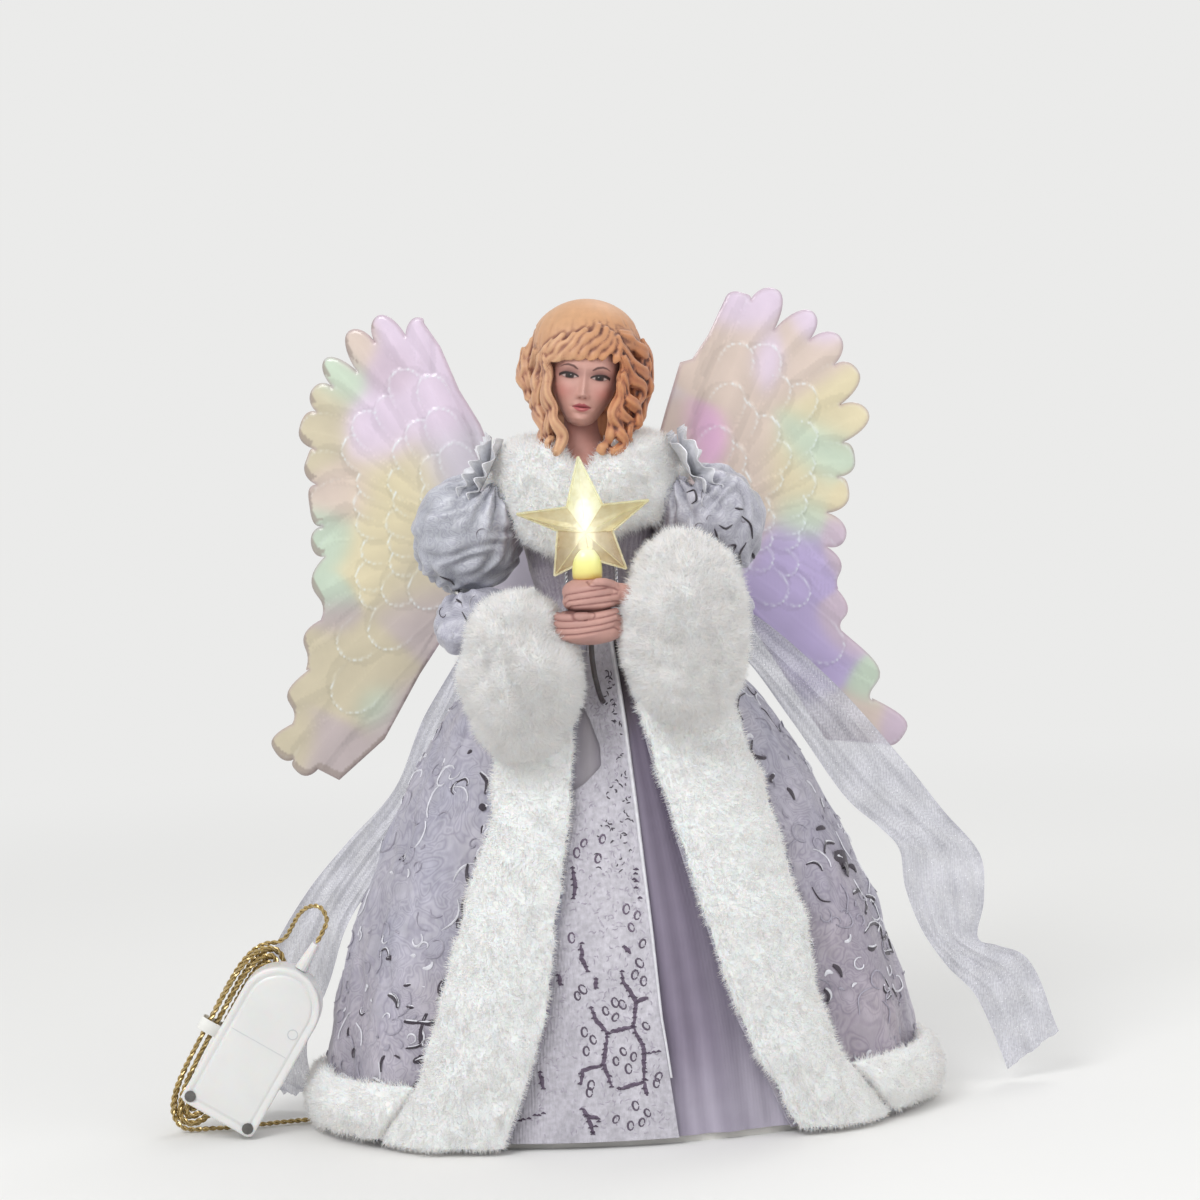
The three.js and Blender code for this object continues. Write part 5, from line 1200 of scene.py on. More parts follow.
face_table = np.array([
    (-15.2, 0.4, 3.0), (-14.7, 2.4, 8.4), (-13.9, 3.9, 10.6), (-12.6, 5.0, 11.6), (-10.6, 6.2, 12.0),
    (-8.6, 7.4, 12.1), (-6, 8.7, 12.1), (-3, 9.7, 12.1), (0, 10.1, 12.1), (2.5, 10.2, 12.2), (5, 10.1, 11.9),
    (9, 9.4, 10.2)])


def face_depth(lx, lz, cosine):
    """How far the face stands out in front of its middle."""
    d = np.interp(lz, face_table[:, 0], face_table[:, 2]) * cosine**0.8
    nose = np.interp(lz, [-6.9, -6.3, -5.5, -4, -1, 1.5, 4], [0, 1.3, 2.9, 2.3, 1.25, 0.6, 0])
    width = np.interp(lz, [-6.9, -5.5, -3, 1], [1.5, 1.25, 0.95, 0.85])
    d = d + nose * np.exp(-(np.abs(lx) / width) ** 2)
    for k in (-1, 1):
        d = d - 1.35 * hill(lx, lz, k * 4.5, -0.1, 2.9, 1.9) + 0.85 * hill(lx, lz, k * 4.6, -0.1, 2.0, 1.15)
        d = d + 0.55 * hill(lx, lz, k * 4.6, 3.0, 3.2, 1.1) + 0.7 * hill(lx, lz, k * 6.0, -4.6, 2.6, 2.4)
        d = d + 0.75 * hill(lx, lz, k * 1.35, -5.75, 0.75, 0.75)
        d = d - 0.35 * hill(lx, lz, k * 0.75, -6.45, 0.45, 0.3)
        d = d - 0.35 * hill(lx, lz, k * 2.9, -9.1, 0.8, 0.8)
        d = d + 0.28 * hill(lx, lz, k * 0.75, -8.35, 0.9, 0.4)
    lips = 0.75 * hill(lx, lz, 0, -8.5, 2.1, 0.62) + 0.95 * hill(lx, lz, 0, -9.85, 1.7, 0.7)
    parting = -0.5 * hill(lx, lz, 0, -9.15, 2.3, 0.22)
    chin = 0.9 * hill(lx, lz, 0, -12.7, 2.2, 1.2)
    return d + lips + parting + chin - 0.35 * hill(lx, lz, 0, -10.95, 1.8, 0.5)


def soft_step(distance, blur=0.13):
    return np.clip(0.5 - distance / (2 * blur), 0, 1)


def face_paint(lx, lz):
    side = np.abs(lx)
    c = np.tile(np.array((194, 148, 137), float), lx.shape + (1,))
    # Painted shade: the face darker towards its sides, where it turns away.
    c = over(c, (170, 120, 112), np.clip((side - 5.5) / 5, 0, 1) * 0.7)
    c = over(c, (196, 132, 124), (hill(side, lz, 5.8, -4.8, 2.8, 2.3)) * 0.75)
    # A painted highlight down the nose and on the forehead.
    c = over(c, (208, 164, 152), hill(lx, lz, 0, -3, 0.9, 3.4) * 0.6 + hill(lx, lz, 0, 4, 3, 1.5) * 0.2)
    # Painted shade under the nose and under the lower lip.
    shade_below = hill(lx, lz, 0, -10.9, 1.7, 0.4) * 0.6 + hill(lx, lz, 0, -6.75, 1.3, 0.35) * 0.6
    c = over(c, (186, 140, 130), shade_below)
    c = over(c, (124, 86, 84), hill(side, lz, 4.6, 0.7, 3.0, 1.25) * 0.85)
    # The nostrils are painted dark, as shade.
    c = over(c, (120, 72, 66), hill(side, lz, 0.8, -6.35, 0.36, 0.2))
    for k in (-1, 1):
        ex, ez = (lx - k * 4.6) * k, lz + 0.05
        arch = np.clip(1 - (ex / 2.7) ** 2, 0, 1)
        upper, lower = 0.98 * arch**0.8 - 0.14 + 0.05 * ex, -0.78 * arch + 0.03 * ex
        opening = soft_step(ez - upper, 0.1) * soft_step(lower - ez, 0.1) * (np.abs(ex) < 2.7)
        c = over(c, (184, 166, 162), opening)
        iris = soft_step(np.hypot(ex + 0.12, (ez + 0.02) * 0.9) - 1.3, 0.16)
        c = over(c, (46, 30, 27), iris * opening)
        c = over(c, (22, 14, 14), soft_step(np.hypot(ex + 0.15, ez - 0.02) - 0.6, 0.1) * opening)
        # A small painted highlight in each eye.
        c = over(c, (235, 228, 224), soft_step(np.hypot(ex + 0.42, ez - 0.32) - 0.13, 0.09) * opening)
        lash = np.abs(ez - (0.98 * np.clip(1 - (ex / 2.95) ** 2, 0, 1) ** 0.8 - 0.14 + 0.05 * ex))
        lash_on = (ex > -2.75) & (ex < 3.1)
        c = over(c, (38, 24, 24), soft_step(lash - (0.3 + 0.08 * ex.clip(0, 2)), 0.13) * lash_on)
        c = over(c, (120, 78, 72), soft_step(np.abs(ez - lower) - 0.1, 0.12) * (np.abs(ex) < 2.6) * 0.8)
        crease = soft_step(np.abs(ez - upper - 0.62) - 0.07, 0.1) * (np.abs(ex) < 2.3)
        c = over(c, (126, 86, 80), crease * 0.7)
    brow = np.interp(side, [2.2, 3.6, 5.2, 6.4, 7.5], [2.1, 2.95, 3.3, 3.05, 2.4])
    thick = np.interp(side, [2.2, 3, 5.5, 7.5], [0.14, 0.36, 0.3, 0.08])
    c = over(c, (86, 56, 52), soft_step(np.abs(lz - brow) - thick, 0.13) * (side > 2.1) * (side < 7.6) * 0.92)
    rise = 1.05 * np.clip(1 - (side / 3.0) ** 1.7, 0, 1)
    rise = rise + 0.12 * hill(side, lz, 0.75, -8.3, 0.5, 9) - 0.14 * (side < 0.3)
    c = over(c, (158, 76, 82), soft_step(lz + 9.12 - rise) * soft_step(-9.12 - lz) * (side < 3.0))
    drop = 1.35 * np.clip(1 - (side / 2.7) ** 2, 0, 1)
    c = over(c, (176, 92, 96), soft_step(-9.12 - drop - lz) * soft_step(lz + 9.12) * (side < 2.7))
    # A painted highlight on the lower lip.
    c = over(c, (222, 150, 148), hill(lx, lz, 0.1, -9.75, 0.8, 0.22) * 0.55)
    mouth_line = soft_step(np.abs(lz + 9.12 + 0.05 * np.cos(side * 2)) - 0.1, 0.1)
    return over(c, (112, 52, 58), mouth_line * (side < 2.85))


def place_face(lx, depth, lz):
    """Turns local face coordinates by the tilt and the small nod."""
    out = depth + 0.09 * lz
    return np.stack([EYES[0] + lx * math.cos(TILT) + lz * math.sin(TILT), EYES[1] - out,
                     EYES[2] - lx * math.sin(TILT) + lz * math.cos(TILT)], -1)


face_columns, face_rows = ((176, 186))
turn = np.radians(np.linspace(-94, 94, face_columns))[None, :]
lz = np.linspace(-15.2, 9, face_rows)[:, None]
lx = np.interp(lz, face_table[:, 0], face_table[:, 1]) * np.sign(turn) * np.abs(np.sin(turn)) ** 0.92
lz = lz + 0 * turn
cosine = np.clip(np.cos(turn), 0.0, 1) + 0 * lz
front = place_face(lx, face_depth(lx, lz, cosine), lz)
rear = place_face(lx * 0.9, np.minimum(face_depth(lx, lz, cosine) * 0.2, 2.0) - 1.5, lz)
face = closed_sheet("face", front, rear)
p = places(face)
rel = p - EYES
local_x = rel[:, 0] * math.cos(TILT) - rel[:, 2] * math.sin(TILT)
local_z = rel[:, 0] * math.sin(TILT) + rel[:, 2] * math.cos(TILT)
attribute(face, "tint", to_linear(face_paint(local_x, local_z)))


def painted_casting(name, rough, low, high, scale, **sockets):
    material = finish(name, (200, 160, 148), rough, **sockets)
    toned, cloud = mottled(material.node_tree, stored(material.node_tree), scale, low, high)
    feed(material, toned, "Base Color")
    bump(material, cloud.outputs["Height"], 0.12, 0.0002)
    return material


skin = painted_casting("painted_skin", 0.55, 0.97, 1.03, 500.0, Sheen_Weight=0.08)
put(face, "face", skin)
smooth_all(face)

# %% [markdown]
# The neck widens into the shoulders where the fur collar hides it. A turned tube with changing width does
# that.

# %% Neck
neck_line = np.array([(-2.2, -5.2, 216), (-2.4, -5.0, 212), (-2.5, -4.8, 208.5), (-2.8, -4.8, 205.5),
                      (-3.1, -5, 203), (-3.3, -5, 200), (-3.4, -5.6, 195), (-3.5, -6.2, 189)])
neck_line = smooth_line(neck_line, 6)
z = neck_line[:, 2]
wide = np.interp(z, [189, 194, 200, 203.5, 206, 209, 216], [15.5, 14, 10.4, 7.6, 6.3, 5.5, 5.2])
NECK_SIDES = 48
angle = np.linspace(0, 2 * math.pi, NECK_SIDES, endpoint=False)
circle = np.stack([np.cos(angle), 0.86 * np.sin(angle), 0 * angle], 1)
rings = neck_line[:, None] + wide[:, None, None] * circle
throat = hill(rings[..., 0], rings[..., 2], -3, 203, 2, 2.5) * (rings[..., 1] < -6)
rings[..., 1] += throat * 0.7
points = rings.reshape(-1, 3)
neck_faces = grid_faces(NECK_SIDES, len(neck_line), wrap=True) + end_caps(NECK_SIDES, len(points))
neck = face_out(piece_from("neck", points, neck_faces))
# Painted shade on the neck, darker towards the chin.
shadow = np.clip((places(neck)[:, 2] - 206) / 8, 0, 1)
attribute(neck, "tint", to_linear(over((184, 134, 124), (146, 98, 92), shadow)))
put(neck, "neck", skin)

# %% [markdown]
# The hair is a smooth combed crown with a fringe and spiral locks. In the mould it is one mass, so the crown,
# a core and every lock are made as plain solids first and then melted together with a remesh. Each lock
# follows guide points seen from the front and lies on the head's oval. Grooves are pressed in afterwards,
# along the nearest lock.

# %% Hair
CROWN = np.array([0.0, -1.0, 231.0])
CROWN_HALF = np.array([18.6, 16.8, 18.6])


def on_crown(x, z, lift):
    high = np.clip((z - CROWN[2]) / CROWN_HALF[2], 0, 1)
    aside = (x - CROWN[0]) / CROWN_HALF[0]
    return CROWN[1] - CROWN_HALF[1] * np.sqrt(np.clip(1 - aside**2 - high**2, 0.02, 1)) - lift


front_locks = [
    ([(-15.3, 238.4), (-18.1, 232.6), (-19.6, 228.9), (-20.4, 225.9), (-20.0, 222.5)], 2.3, -2.0),
    ([(-15.0, 235.0), (-17.0, 229.2), (-17.9, 224.9), (-17.6, 220.8), (-16.2, 219.6)], 2.1, -1.0),
    ([(-13.5, 233.4), (-14.6, 227.3), (-15.1, 222.7), (-15.9, 219.2), (-17.4, 217.4)], 2.0, 0.0),
    ([(-11.9, 231.6), (-13.0, 225.5), (-15.4, 220.2), (-15.4, 215.9), (-13.3, 211.5), (-15.2, 207.3),
      (-14.6, 203.8), (-12.0, 202.3)], 2.2, -0.3),
    ([(-11.6, 232.6), (-10.6, 227.3), (-12.0, 219.9), (-10.4, 215.2), (-12.0, 211.0),
      (-13.4, 207.9)], 1.8, 0.7),
    ([(-11.4, 230.6), (-10.7, 226.5), (-10.9, 221.5), (-9.6, 217.0), (-8.8, 212.9), (-8.2, 208.2),
      (-9.8, 204.4), (-12.6, 204.6), (-12.9, 207.4), (-10.8, 208.3)], 1.75, 0.9),
    ([(9.0, 238.5), (13.6, 235.3), (17.2, 231.9), (18.9, 229.0), (17.9, 226.6)], 2.5, -1.4),
    ([(8.6, 235.7), (11.9, 230.3), (15.6, 227.0), (18.4, 224.6), (18.6, 221.0), (16.4, 219.0)], 2.4, -0.4),
    ([(9.8, 231.4), (12.1, 225.6), (15.6, 222.6), (15.6, 218.8), (13.3, 216.9)], 2.2, 0.5),
    ([(9.4, 226.6), (9.9, 220.9), (12.1, 217.4), (14.6, 214.6), (13.8, 211.6), (11.2, 210.9)], 2.0, 0.7),
    ([(9.3, 232.2), (9.5, 227.0), (8.9, 222.0), (7.2, 217.6), (8.7, 213.9), (11.2, 211.3), (11.5, 208.0),
      (9.3, 206.6)], 1.8, 0.3),
    ([(8.4, 224.2), (7.4, 218.6), (5.6, 213.8), (7.0, 210.2), (9.4, 207.8), (9.1, 204.6), (6.6, 203.2),
      (4.6, 204.4)], 1.75, 0.9),
    ([(5.9, 214.8), (4.5, 211.0), (5.9, 207.9), (4.2, 205.6), (3.4, 203.9), (5.4, 202.6)], 1.4, 0.4),
    ([(-19.3, 236.0), (-20.4, 230.0), (-19.0, 225.0), (-18.2, 219.8)], 2.0, -4.5),
    ([(17.0, 236.5), (19.6, 230.0), (18.6, 224.0), (16.6, 216.2), (15.0, 212.0)], 2.4, -4.0),
    ([(12.5, 226.5), (14.0, 219.5), (12.8, 213.6), (11.0, 208.4), (12.2, 205.6)], 2.3, -2.2),
    ([(-12.9, 226.5), (-13.9, 218.5), (-12.6, 212.6), (-13.4, 206.4)], 2.0, -1.8)]
fringe = [
    ([(-6.3, 239.2), (-8.6, 236.8), (-10.3, 234.7), (-13.0, 232.6), (-14.6, 230.2)], 1.35),
    ([(-2.9, 239.4), (-4.9, 236.9), (-7.4, 235.6), (-9.0, 233.2), (-11.6, 231.9), (-12.4, 229.6)], 1.25),
    ([(0.5, 240.4), (-2.1, 238.0), (-3.9, 235.6), (-6.6, 233.6), (-8.4, 231.9), (-10.3, 231.3)], 1.25),
    ([(4.5, 241.6), (3.0, 238.6), (0.2, 237.3), (-2.3, 234.6), (-4.1, 232.4), (-6.3, 231.8)], 1.3),
    ([(6.8, 240.6), (5.5, 237.5), (2.9, 235.9), (0.3, 234.3), (-1.6, 231.9), (-3.2, 231.5)], 1.3),
    ([(8.4, 239.2), (6.5, 235.9), (4.1, 234.2), (1.8, 231.7), (0.4, 231.3)], 1.25),
    ([(9.1, 237.5), (7.5, 234.1), (5.5, 232.3), (4.2, 230.6)], 1.2),
    ([(9.9, 238.0), (10.3, 234.8), (9.4, 231.6), (8.2, 229.6)], 1.3),
    ([(-9.6, 237.6), (-12.0, 235.0), (-14.4, 232.9), (-15.8, 230.0)], 1.4),
    ([(-1.2, 237.2), (-3.4, 234.6), (-5.6, 233.1), (-7.2, 231.6)], 0.95),
    ([(2.6, 237.5), (0.6, 235.8), (-0.9, 233.4), (-2.6, 232.3)], 0.95)]


def lock_radius(count, r):
    t = np.linspace(0, 1, count)
    ends = np.clip(0.45 + 2.2 * t, 0, 1) * np.clip(0.42 + 3.0 * (1 - t), 0, 1)
    return r * ends * (1 + 0.12 * np.cos(t * 16 + r * 9))


solids, centre_lines = [], []
for guide, r, lift in front_locks:
    flat = np.array(guide)
    flat[:, 0] += np.sign(flat[:, 0]) * 1.5 * np.clip((flat[:, 1] - 206) / 6, 0, 1)
    line = smooth_line(np.stack([flat[:, 0], on_crown(flat[:, 0], flat[:, 1], lift), flat[:, 1]], 1), 8)
    curly = np.linspace(0, 2 * math.pi * len(guide) / 2.2, len(line))
    line[:, 1] -= 0.9 * np.cos(curly)
    line[:, 0] += 0.5 * np.sin(curly + r * 3) * np.clip((238 - line[:, 2]) / 8, 0, 1)
    centre_lines.append((line, r))
for guide, r in fringe:
    flat = np.array(guide)
    line = smooth_line(np.stack([flat[:, 0], on_crown(flat[:, 0], flat[:, 1], 0.35), flat[:, 1]], 1), 8)
    centre_lines.append((line, r * 1.02))
chance = np.random.default_rng(17)
for layer, (count, inset) in enumerate(((17, 0.0), (15, 1.8))):
    for i in range(count):
        around_head = math.radians(78 + (i + 0.5 * layer) * 204 / count)
        top = 239 - 3 * layer + 6 * max(0.0, -math.cos(around_head))  # at the back, nearly on the crown
        z = np.linspace(top, 205 + 2.6 * layer + chance.uniform(-1.2, 1.6), 9)
        swing = 0.075 * np.sin(np.linspace(0, 7.5, 9) + chance.uniform(0, 6))
        width = np.interp(z, [203, 212, 222, 232, 240, 246], [10.5, 13.6, 16.9, 17.8, 15.5, 11]) - inset
        a = around_head + swing
        squeeze = np.interp(z, [203, 212, 222, 232, 240], [0.8, 0.84, 0.86, 0.88, 0.88])
        line = np.stack([width * np.sin(a), CROWN[1] + 0.8 - width * squeeze * np.cos(a), z], 1)
        centre_lines.append((smooth_line(line, 6), 2.35 + chance.uniform(-0.2, 0.3)))
for line, r in centre_lines:
    even = along(line, 0.8)
    solids.append(tube(even, lock_radius(len(even), r), 12))


def ball(centre, half):
    rings, sides = 40, 64
    up = np.linspace(0.02, math.pi - 0.02, rings)[:, None]
    turn = np.linspace(0, 2 * math.pi, sides, endpoint=False)[None, :]
    points = np.stack([np.sin(up) * np.cos(turn), np.sin(up) * np.sin(turn), np.cos(up) + 0 * turn], -1)
    points = points.reshape(-1, 3) * np.array(half) + np.array(centre)
    caps = [cap[::-1] for cap in end_caps(sides, len(points))]
    return points, grid_faces(sides, rings, wrap=True, flip=True) + caps


crown_points, crown_faces = ball(CROWN, CROWN_HALF)
cut_back = np.clip((234.0 - crown_points[:, 2]) / 3.5, 0, 1)
crown_points[:, 1] += (np.maximum(crown_points[:, 1], -4.0) - crown_points[:, 1]) * cut_back
solids.append((crown_points, crown_faces))
solids.append(ball((0.2, 2.6, 224), (15.4, 11.4, 15.5)))
solids.append(ball((-0.6, 2.0, 213), (11.6, 9.4, 9.5)))
hair = face_out(piece_from("hair", *gather(solids)))
modify(hair, "REMESH", mode="VOXEL", voxel_size=0.46 * MM)
modify(hair, "SMOOTH", factor=0.5, iterations=2)

# %% [markdown]
# Fine grooves follow each lock, and combed lines run down the crown, deeper at its back. Then the depth of
# every hollow is measured, as the gap between a point and the average of those around it, and painted shade
# goes darker there, while the raised parts get a painted highlight.

# %% Grooves and paint of the hair
p = places(hair)
normals = normals_of(hair)
samples, side_all, up_all, share_all = [], [], [], []
for line, r in centre_lines:
    even = along(line, 0.9)
    side, up = frames(even)
    samples.append(np.column_stack([even, np.full(len(even), r)]))
    side_all.append(side)
    up_all.append(up)
    share_all.append(np.linspace(0, 1, len(even)))
samples, side_all, up_all = map(np.vstack, (samples, side_all, up_all))
nearest = np.zeros(len(p), int)
best = np.full(len(p), 1e9)
for start in range(0, len(samples), 64):
    block = samples[start:start + 64]
    d = np.linalg.norm(p[:, None] - block[None, :, :3], axis=2) - block[None, :, 3] * 0.4
    least = d.min(1)
    closer = least < best
    best[closer] = least[closer]
    nearest[closer] = d.argmin(1)[closer] + start
rel = p - samples[nearest, :3]
angle = np.arctan2((rel * up_all[nearest]).sum(1), (rel * side_all[nearest]).sum(1))
r = samples[nearest, 3]
in_lock = best < r * 0.9
share = np.concatenate(share_all)[nearest]
groove = np.where(r > 1.5, np.cos(angle * 5 + share * 7) * 0.16 + np.cos(angle * 11 + share * 9) * 0.04,
                  np.cos(angle * 3 + share * 4) * 0.07)
comb = np.arctan2(p[:, 0] - 0.5, -(p[:, 1] - 2))
combed = 0.05 * np.sin(comb * 30 + 1.5 * np.sin(p[:, 2] * 0.25)) + 0.03 * np.sin(comb * 47 + p[:, 2] * 0.12)
behind = np.clip((p[:, 1] + 5) / 7, 0, 1)
combed *= np.clip((247 + 2.5 * behind - p[:, 2]) / 6, 0, 1) * (1 + 3 * behind)
move_points(hair, p + normals * np.where(in_lock, groove, combed)[:, None])
edges = np.zeros(len(hair.data.edges) * 2, int)
hair.data.edges.foreach_get("vertices", edges)
edges = edges.reshape(-1, 2)


def around_mean(values):
    total = np.zeros_like(values)
    count = np.zeros(len(values))
    np.add.at(total, edges[:, 0], values[edges[:, 1]])
    np.add.at(total, edges[:, 1], values[edges[:, 0]])
    np.add.at(count, edges.ravel(), 1)
    return total / np.maximum(count, 1)[(...,) + (None,) * (values.ndim - 1)]


p = places(hair)
higher = np.clip((246 - p[:, 2]) / 10, 0, 1)
outside = np.maximum(np.abs(p[:, 0]) - 10, 0)
p[:, 0] -= np.sign(p[:, 0]) * outside * 0.2 * higher
move_points(hair, p)
smooth_place = p
for _ in range(5):
    smooth_place = around_mean(smooth_place)
hollow = np.clip(around_mean(((smooth_place - p) * normals).sum(1)) / 0.17, -1, 1)
across = np.clip((p[:, 0] + 8) / 22, 0, 1)
height = np.clip((p[:, 2] - 228) / 16, 0, 1)
base = over(over((192, 142, 112), (172, 104, 68), across), (202, 156, 116), height * 0.9)
# The next colour is a painted highlight on the raised parts, and the one after it painted shade in the hollows.
lit = over((212, 168, 130), (194, 130, 86), across)
hollow_shade = over((112, 64, 50), (64, 26, 18), across)
colour = np.where(hollow[:, None] > 0, over(base, hollow_shade, np.clip(hollow, 0, 1) ** 0.75),
                  over(base, lit, np.clip(-hollow, 0, 1)))
attribute(hair, "tint", to_linear(colour))
casting = painted_casting("head_casting", 0.5, 0.93, 1.05, 420.0, Sheen_Weight=0.15)
put(hair, "hair", casting, instead_of=("head",))
smooth_all(hair)
print("face", len(face.data.polygons), "hair", len(hair.data.polygons), "faces")

# %% [markdown]
# The fur is a short soft white pile on a woven backing, glued on as a collar, two cuffs, two bands down the
# robe and a band round the hem. Each piece starts as the imported model's plain solid, rounded and made a
# little lumpy, because stuffed trim is never even. Then fine hairs stand all over it. A hair has three sides
# and no more, since there are many thousands, and it leans with its neighbours so that the pile looks
# brushed.

# %% Fur
# The faint emission is a painted glow that lightens the pile.
fur = finish("white_pile", (248, 247, 248), 0.9, Subsurface_Weight=0.35, Subsurface_Scale=0.004,
             Emission_Strength=0.1, Emission_Color=(242, 239, 235))
feed(fur, stored(fur.node_tree), "Base Color")
HAIR_HALF = 0.13


def waves3(p, seed, size):
    """The same gentle unevenness for points in space."""
    chance = np.random.default_rng(seed)
    total = 0
    for _ in range(WAVES_IN_SPACE):
        way = unit(chance.normal(size=3))
        width = size * chance.uniform(0.6, 1.7)
        total = total + np.sin(2 * math.pi * (p @ way) / width + chance.uniform(0, 6.28))
    return total / WAVES_IN_SPACE * 1.6


def rounded_copy(source, voxel, iterations):
    """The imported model's solid as one fine even skin, with its corners rounded off."""
    base = nodes[source].copy()
    base.data = nodes[source].data.copy()
    bpy.context.scene.collection.objects.link(base)
    base.hide_render = base.hide_viewport = False
    base.hide_set(False)
    world = nodes[source].matrix_world.copy()
    base.parent = None
    base.matrix_world = world
    for key in list(base.keys()):
        del base[key]
    only(base)
    bpy.ops.object.transform_apply(location=True, rotation=True, scale=True)
    base.data.materials.clear()
    modify(base, "REMESH", mode="VOXEL", voxel_size=voxel * MM * 1)
    return modify(base, "SMOOTH", factor=0.5, iterations=iterations)


def fur_piece(name, source, count, length, voxel, lumps, seed, puff=0.0, shape=None):
    """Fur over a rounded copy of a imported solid. lumps is (height, size) of its unevenness."""
    base = rounded_copy(source, voxel, 6)
    p, n = places(base), normals_of(base)
    high, wide = lumps
    lump = waves3(p, seed, wide) + 0.45 * waves3(p, seed + 1, wide * 0.45)
    p = p + n * (puff + high * lump)[:, None]
    if shape:
        p = shape(p)
    p[:, 2] = np.maximum(p[:, 2], 0.5)
    move_points(base, p)
    n = normals_of(base)
    base.data.calc_loop_triangles()
    tri = np.zeros(len(base.data.loop_triangles) * 3, int)
    base.data.loop_triangles.foreach_get("vertices", tri)
    tri = tri.reshape(-1, 3)
    a, b, c = p[tri[:, 0]], p[tri[:, 1]], p[tri[:, 2]]
    area = np.linalg.norm(np.cross(b - a, c - a), axis=1) / 2
    chance = np.random.default_rng(seed)
    pick = chance.choice(len(tri), count, p=area / area.sum())
    u, v = chance.random(count), chance.random(count)
    flip = u + v > 1
    u[flip], v[flip] = 1 - u[flip], 1 - v[flip]
    w = 1 - u - v
    root = a[pick] * w[:, None] + b[pick] * u[:, None] + c[pick] * v[:, None]
    up = unit(n[tri[pick, 0]] * w[:, None] + n[tri[pick, 1]] * u[:, None] + n[tri[pick, 2]] * v[:, None])
    lean = np.stack([waves3(root, seed + k, 7.0) for k in (2, 3, 4)], 1)
    way = unit(up * 0.95 + lean * 0.3 + np.array([0, 0, -0.12]) + chance.normal(size=(count, 3)) * 0.5)
    long = length * chance.uniform(0.55, 1.15, count) * (1 + 0.25 * waves3(root, seed + 5, 5.0))
    tip = root + way * long[:, None]
    tip[:, 2] = np.maximum(tip[:, 2], 0.25)
    side = unit(np.cross(way, chance.normal(size=(count, 3))))
    other = np.cross(way, side)
    corners = [root - up * 0.25 + HAIR_HALF * (side * math.cos(t) + other * math.sin(t))
               for t in (0, 2.094, 4.189)]
    points = np.stack(corners + [tip], 1).reshape(-1, 3)
    points[:, 2] = np.maximum(points[:, 2], 0.2)
    start = len(p) + 4 * np.arange(count)[:, None]
    hairs = np.concatenate([start + np.array(f) for f in ((0, 1, 3), (1, 2, 3), (2, 0, 3))], 0)
    polygons = [tuple(q.vertices) for q in base.data.polygons]
    bpy.data.objects.remove(base)
    piece = piece_from(name, np.vstack([p, points]), polygons + hairs.tolist())
    shade = 1 + 0.008 * waves3(root, seed + 6, 9.0)
    # Painted shade at the roots of the pile, lighter at the tips.
    root_tone = np.array((236, 233, 232)) * shade[:, None]
    tip_tone = np.array((249, 247, 245)) * shade[:, None] * chance.uniform(0.97, 1.02, count)[:, None]
    tone = np.stack([root_tone] * 3 + [tip_tone], 1).reshape(-1, 3)
    attribute(piece, "tint", to_linear(np.vstack([np.tile((236, 234, 232), (len(p), 1)), tone])))
    put(piece, name, fur, instead_of=(source,), smooth=False)
    smooth_all(piece)
    print(name, len(piece.data.polygons), "faces")
    return piece


def open_collar(p):
    """The collar hangs lower at the front, and leaves the throat open."""
    front = np.clip((-5 - p[:, 1]) / 5, 0, 1)
    low = np.clip((195 - p[:, 2]) / 12, 0, 1) * peak(p[:, 0], -8, 14)
    high = np.clip((p[:, 2] - 190) / 8, 0, 1) * peak(p[:, 0], -2.5, 6.5)
    p[:, 2] -= front * (9 * low + 9.5 * high)
    return p


fur_pieces = [
    fur_piece("fur_collar", "collar_fur", 48000, 3.0, 1.1, (0.6, 11), 101, puff=0.4, shape=open_collar),
    fur_piece("fur_cuff_left", "cuff_fur_left", 48000, 3.4, 1.1, (1.7, 19), 111, puff=0.3),
    fur_piece("fur_cuff_right", "cuff_fur_right", 50000, 3.4, 1.1, (1.7, 20), 121, puff=0.3),
    fur_piece("fur_band_left", "fur_border_left", 46000, 2.1, 1.1, (0.5, 15), 131),
    fur_piece("fur_band_right", "fur_border_right", 46000, 2.1, 1.1, (0.5, 15), 141),
    fur_piece("fur_band_hem", "fur_hem", 48000, 2.4, 1.6, (0.5, 17), 151)]

# %% [markdown]
# The two hands are one casting on many dolls of this kind, with the lamp's tube between them. Each hand is a
# palm, a core of two flat balls round the tube that fills the grip, four fingers and a thumb that wrap the
# core, and a wrist that runs into the cuff. Joined and then rounded together they read as flesh. The gaps
# between the fingers and the line where the hands meet are painted darker, as shade. The gaps
# between the fingers are painted darker, as the caster's wash leaves them.

# %% Hands
LAMP = np.array((-3.0, -40.0))
FINGER_SIDES = 14
FINGER_SHAPE = [0, 0.35, 0.5, 0.8, 0.95, 1], 1.22 * np.array([1.1, 1.04, 1.05, 0.97, 0.86, 0.5])
THUMB_SHAPE = [0, 0.5, 0.85, 1], [1.7, 1.4, 1.15, 0.5]
PALMS_MEET = 158.4  # the height where one hand rests on the other


def wrap_line(reach, start, end, z0, z1, bend, broad):
    """A line round the lamp's tube. Angles are degrees from the front, and it can bend up or down."""
    t = np.linspace(0, 1, 24)
    a = np.radians(start + (end - start) * t)
    return np.stack([LAMP[0] + reach * np.sin(a) * broad, LAMP[1] - reach * np.cos(a),
                     z0 + (z1 - z0) * t + bend * np.sin(math.pi * t)], 1)


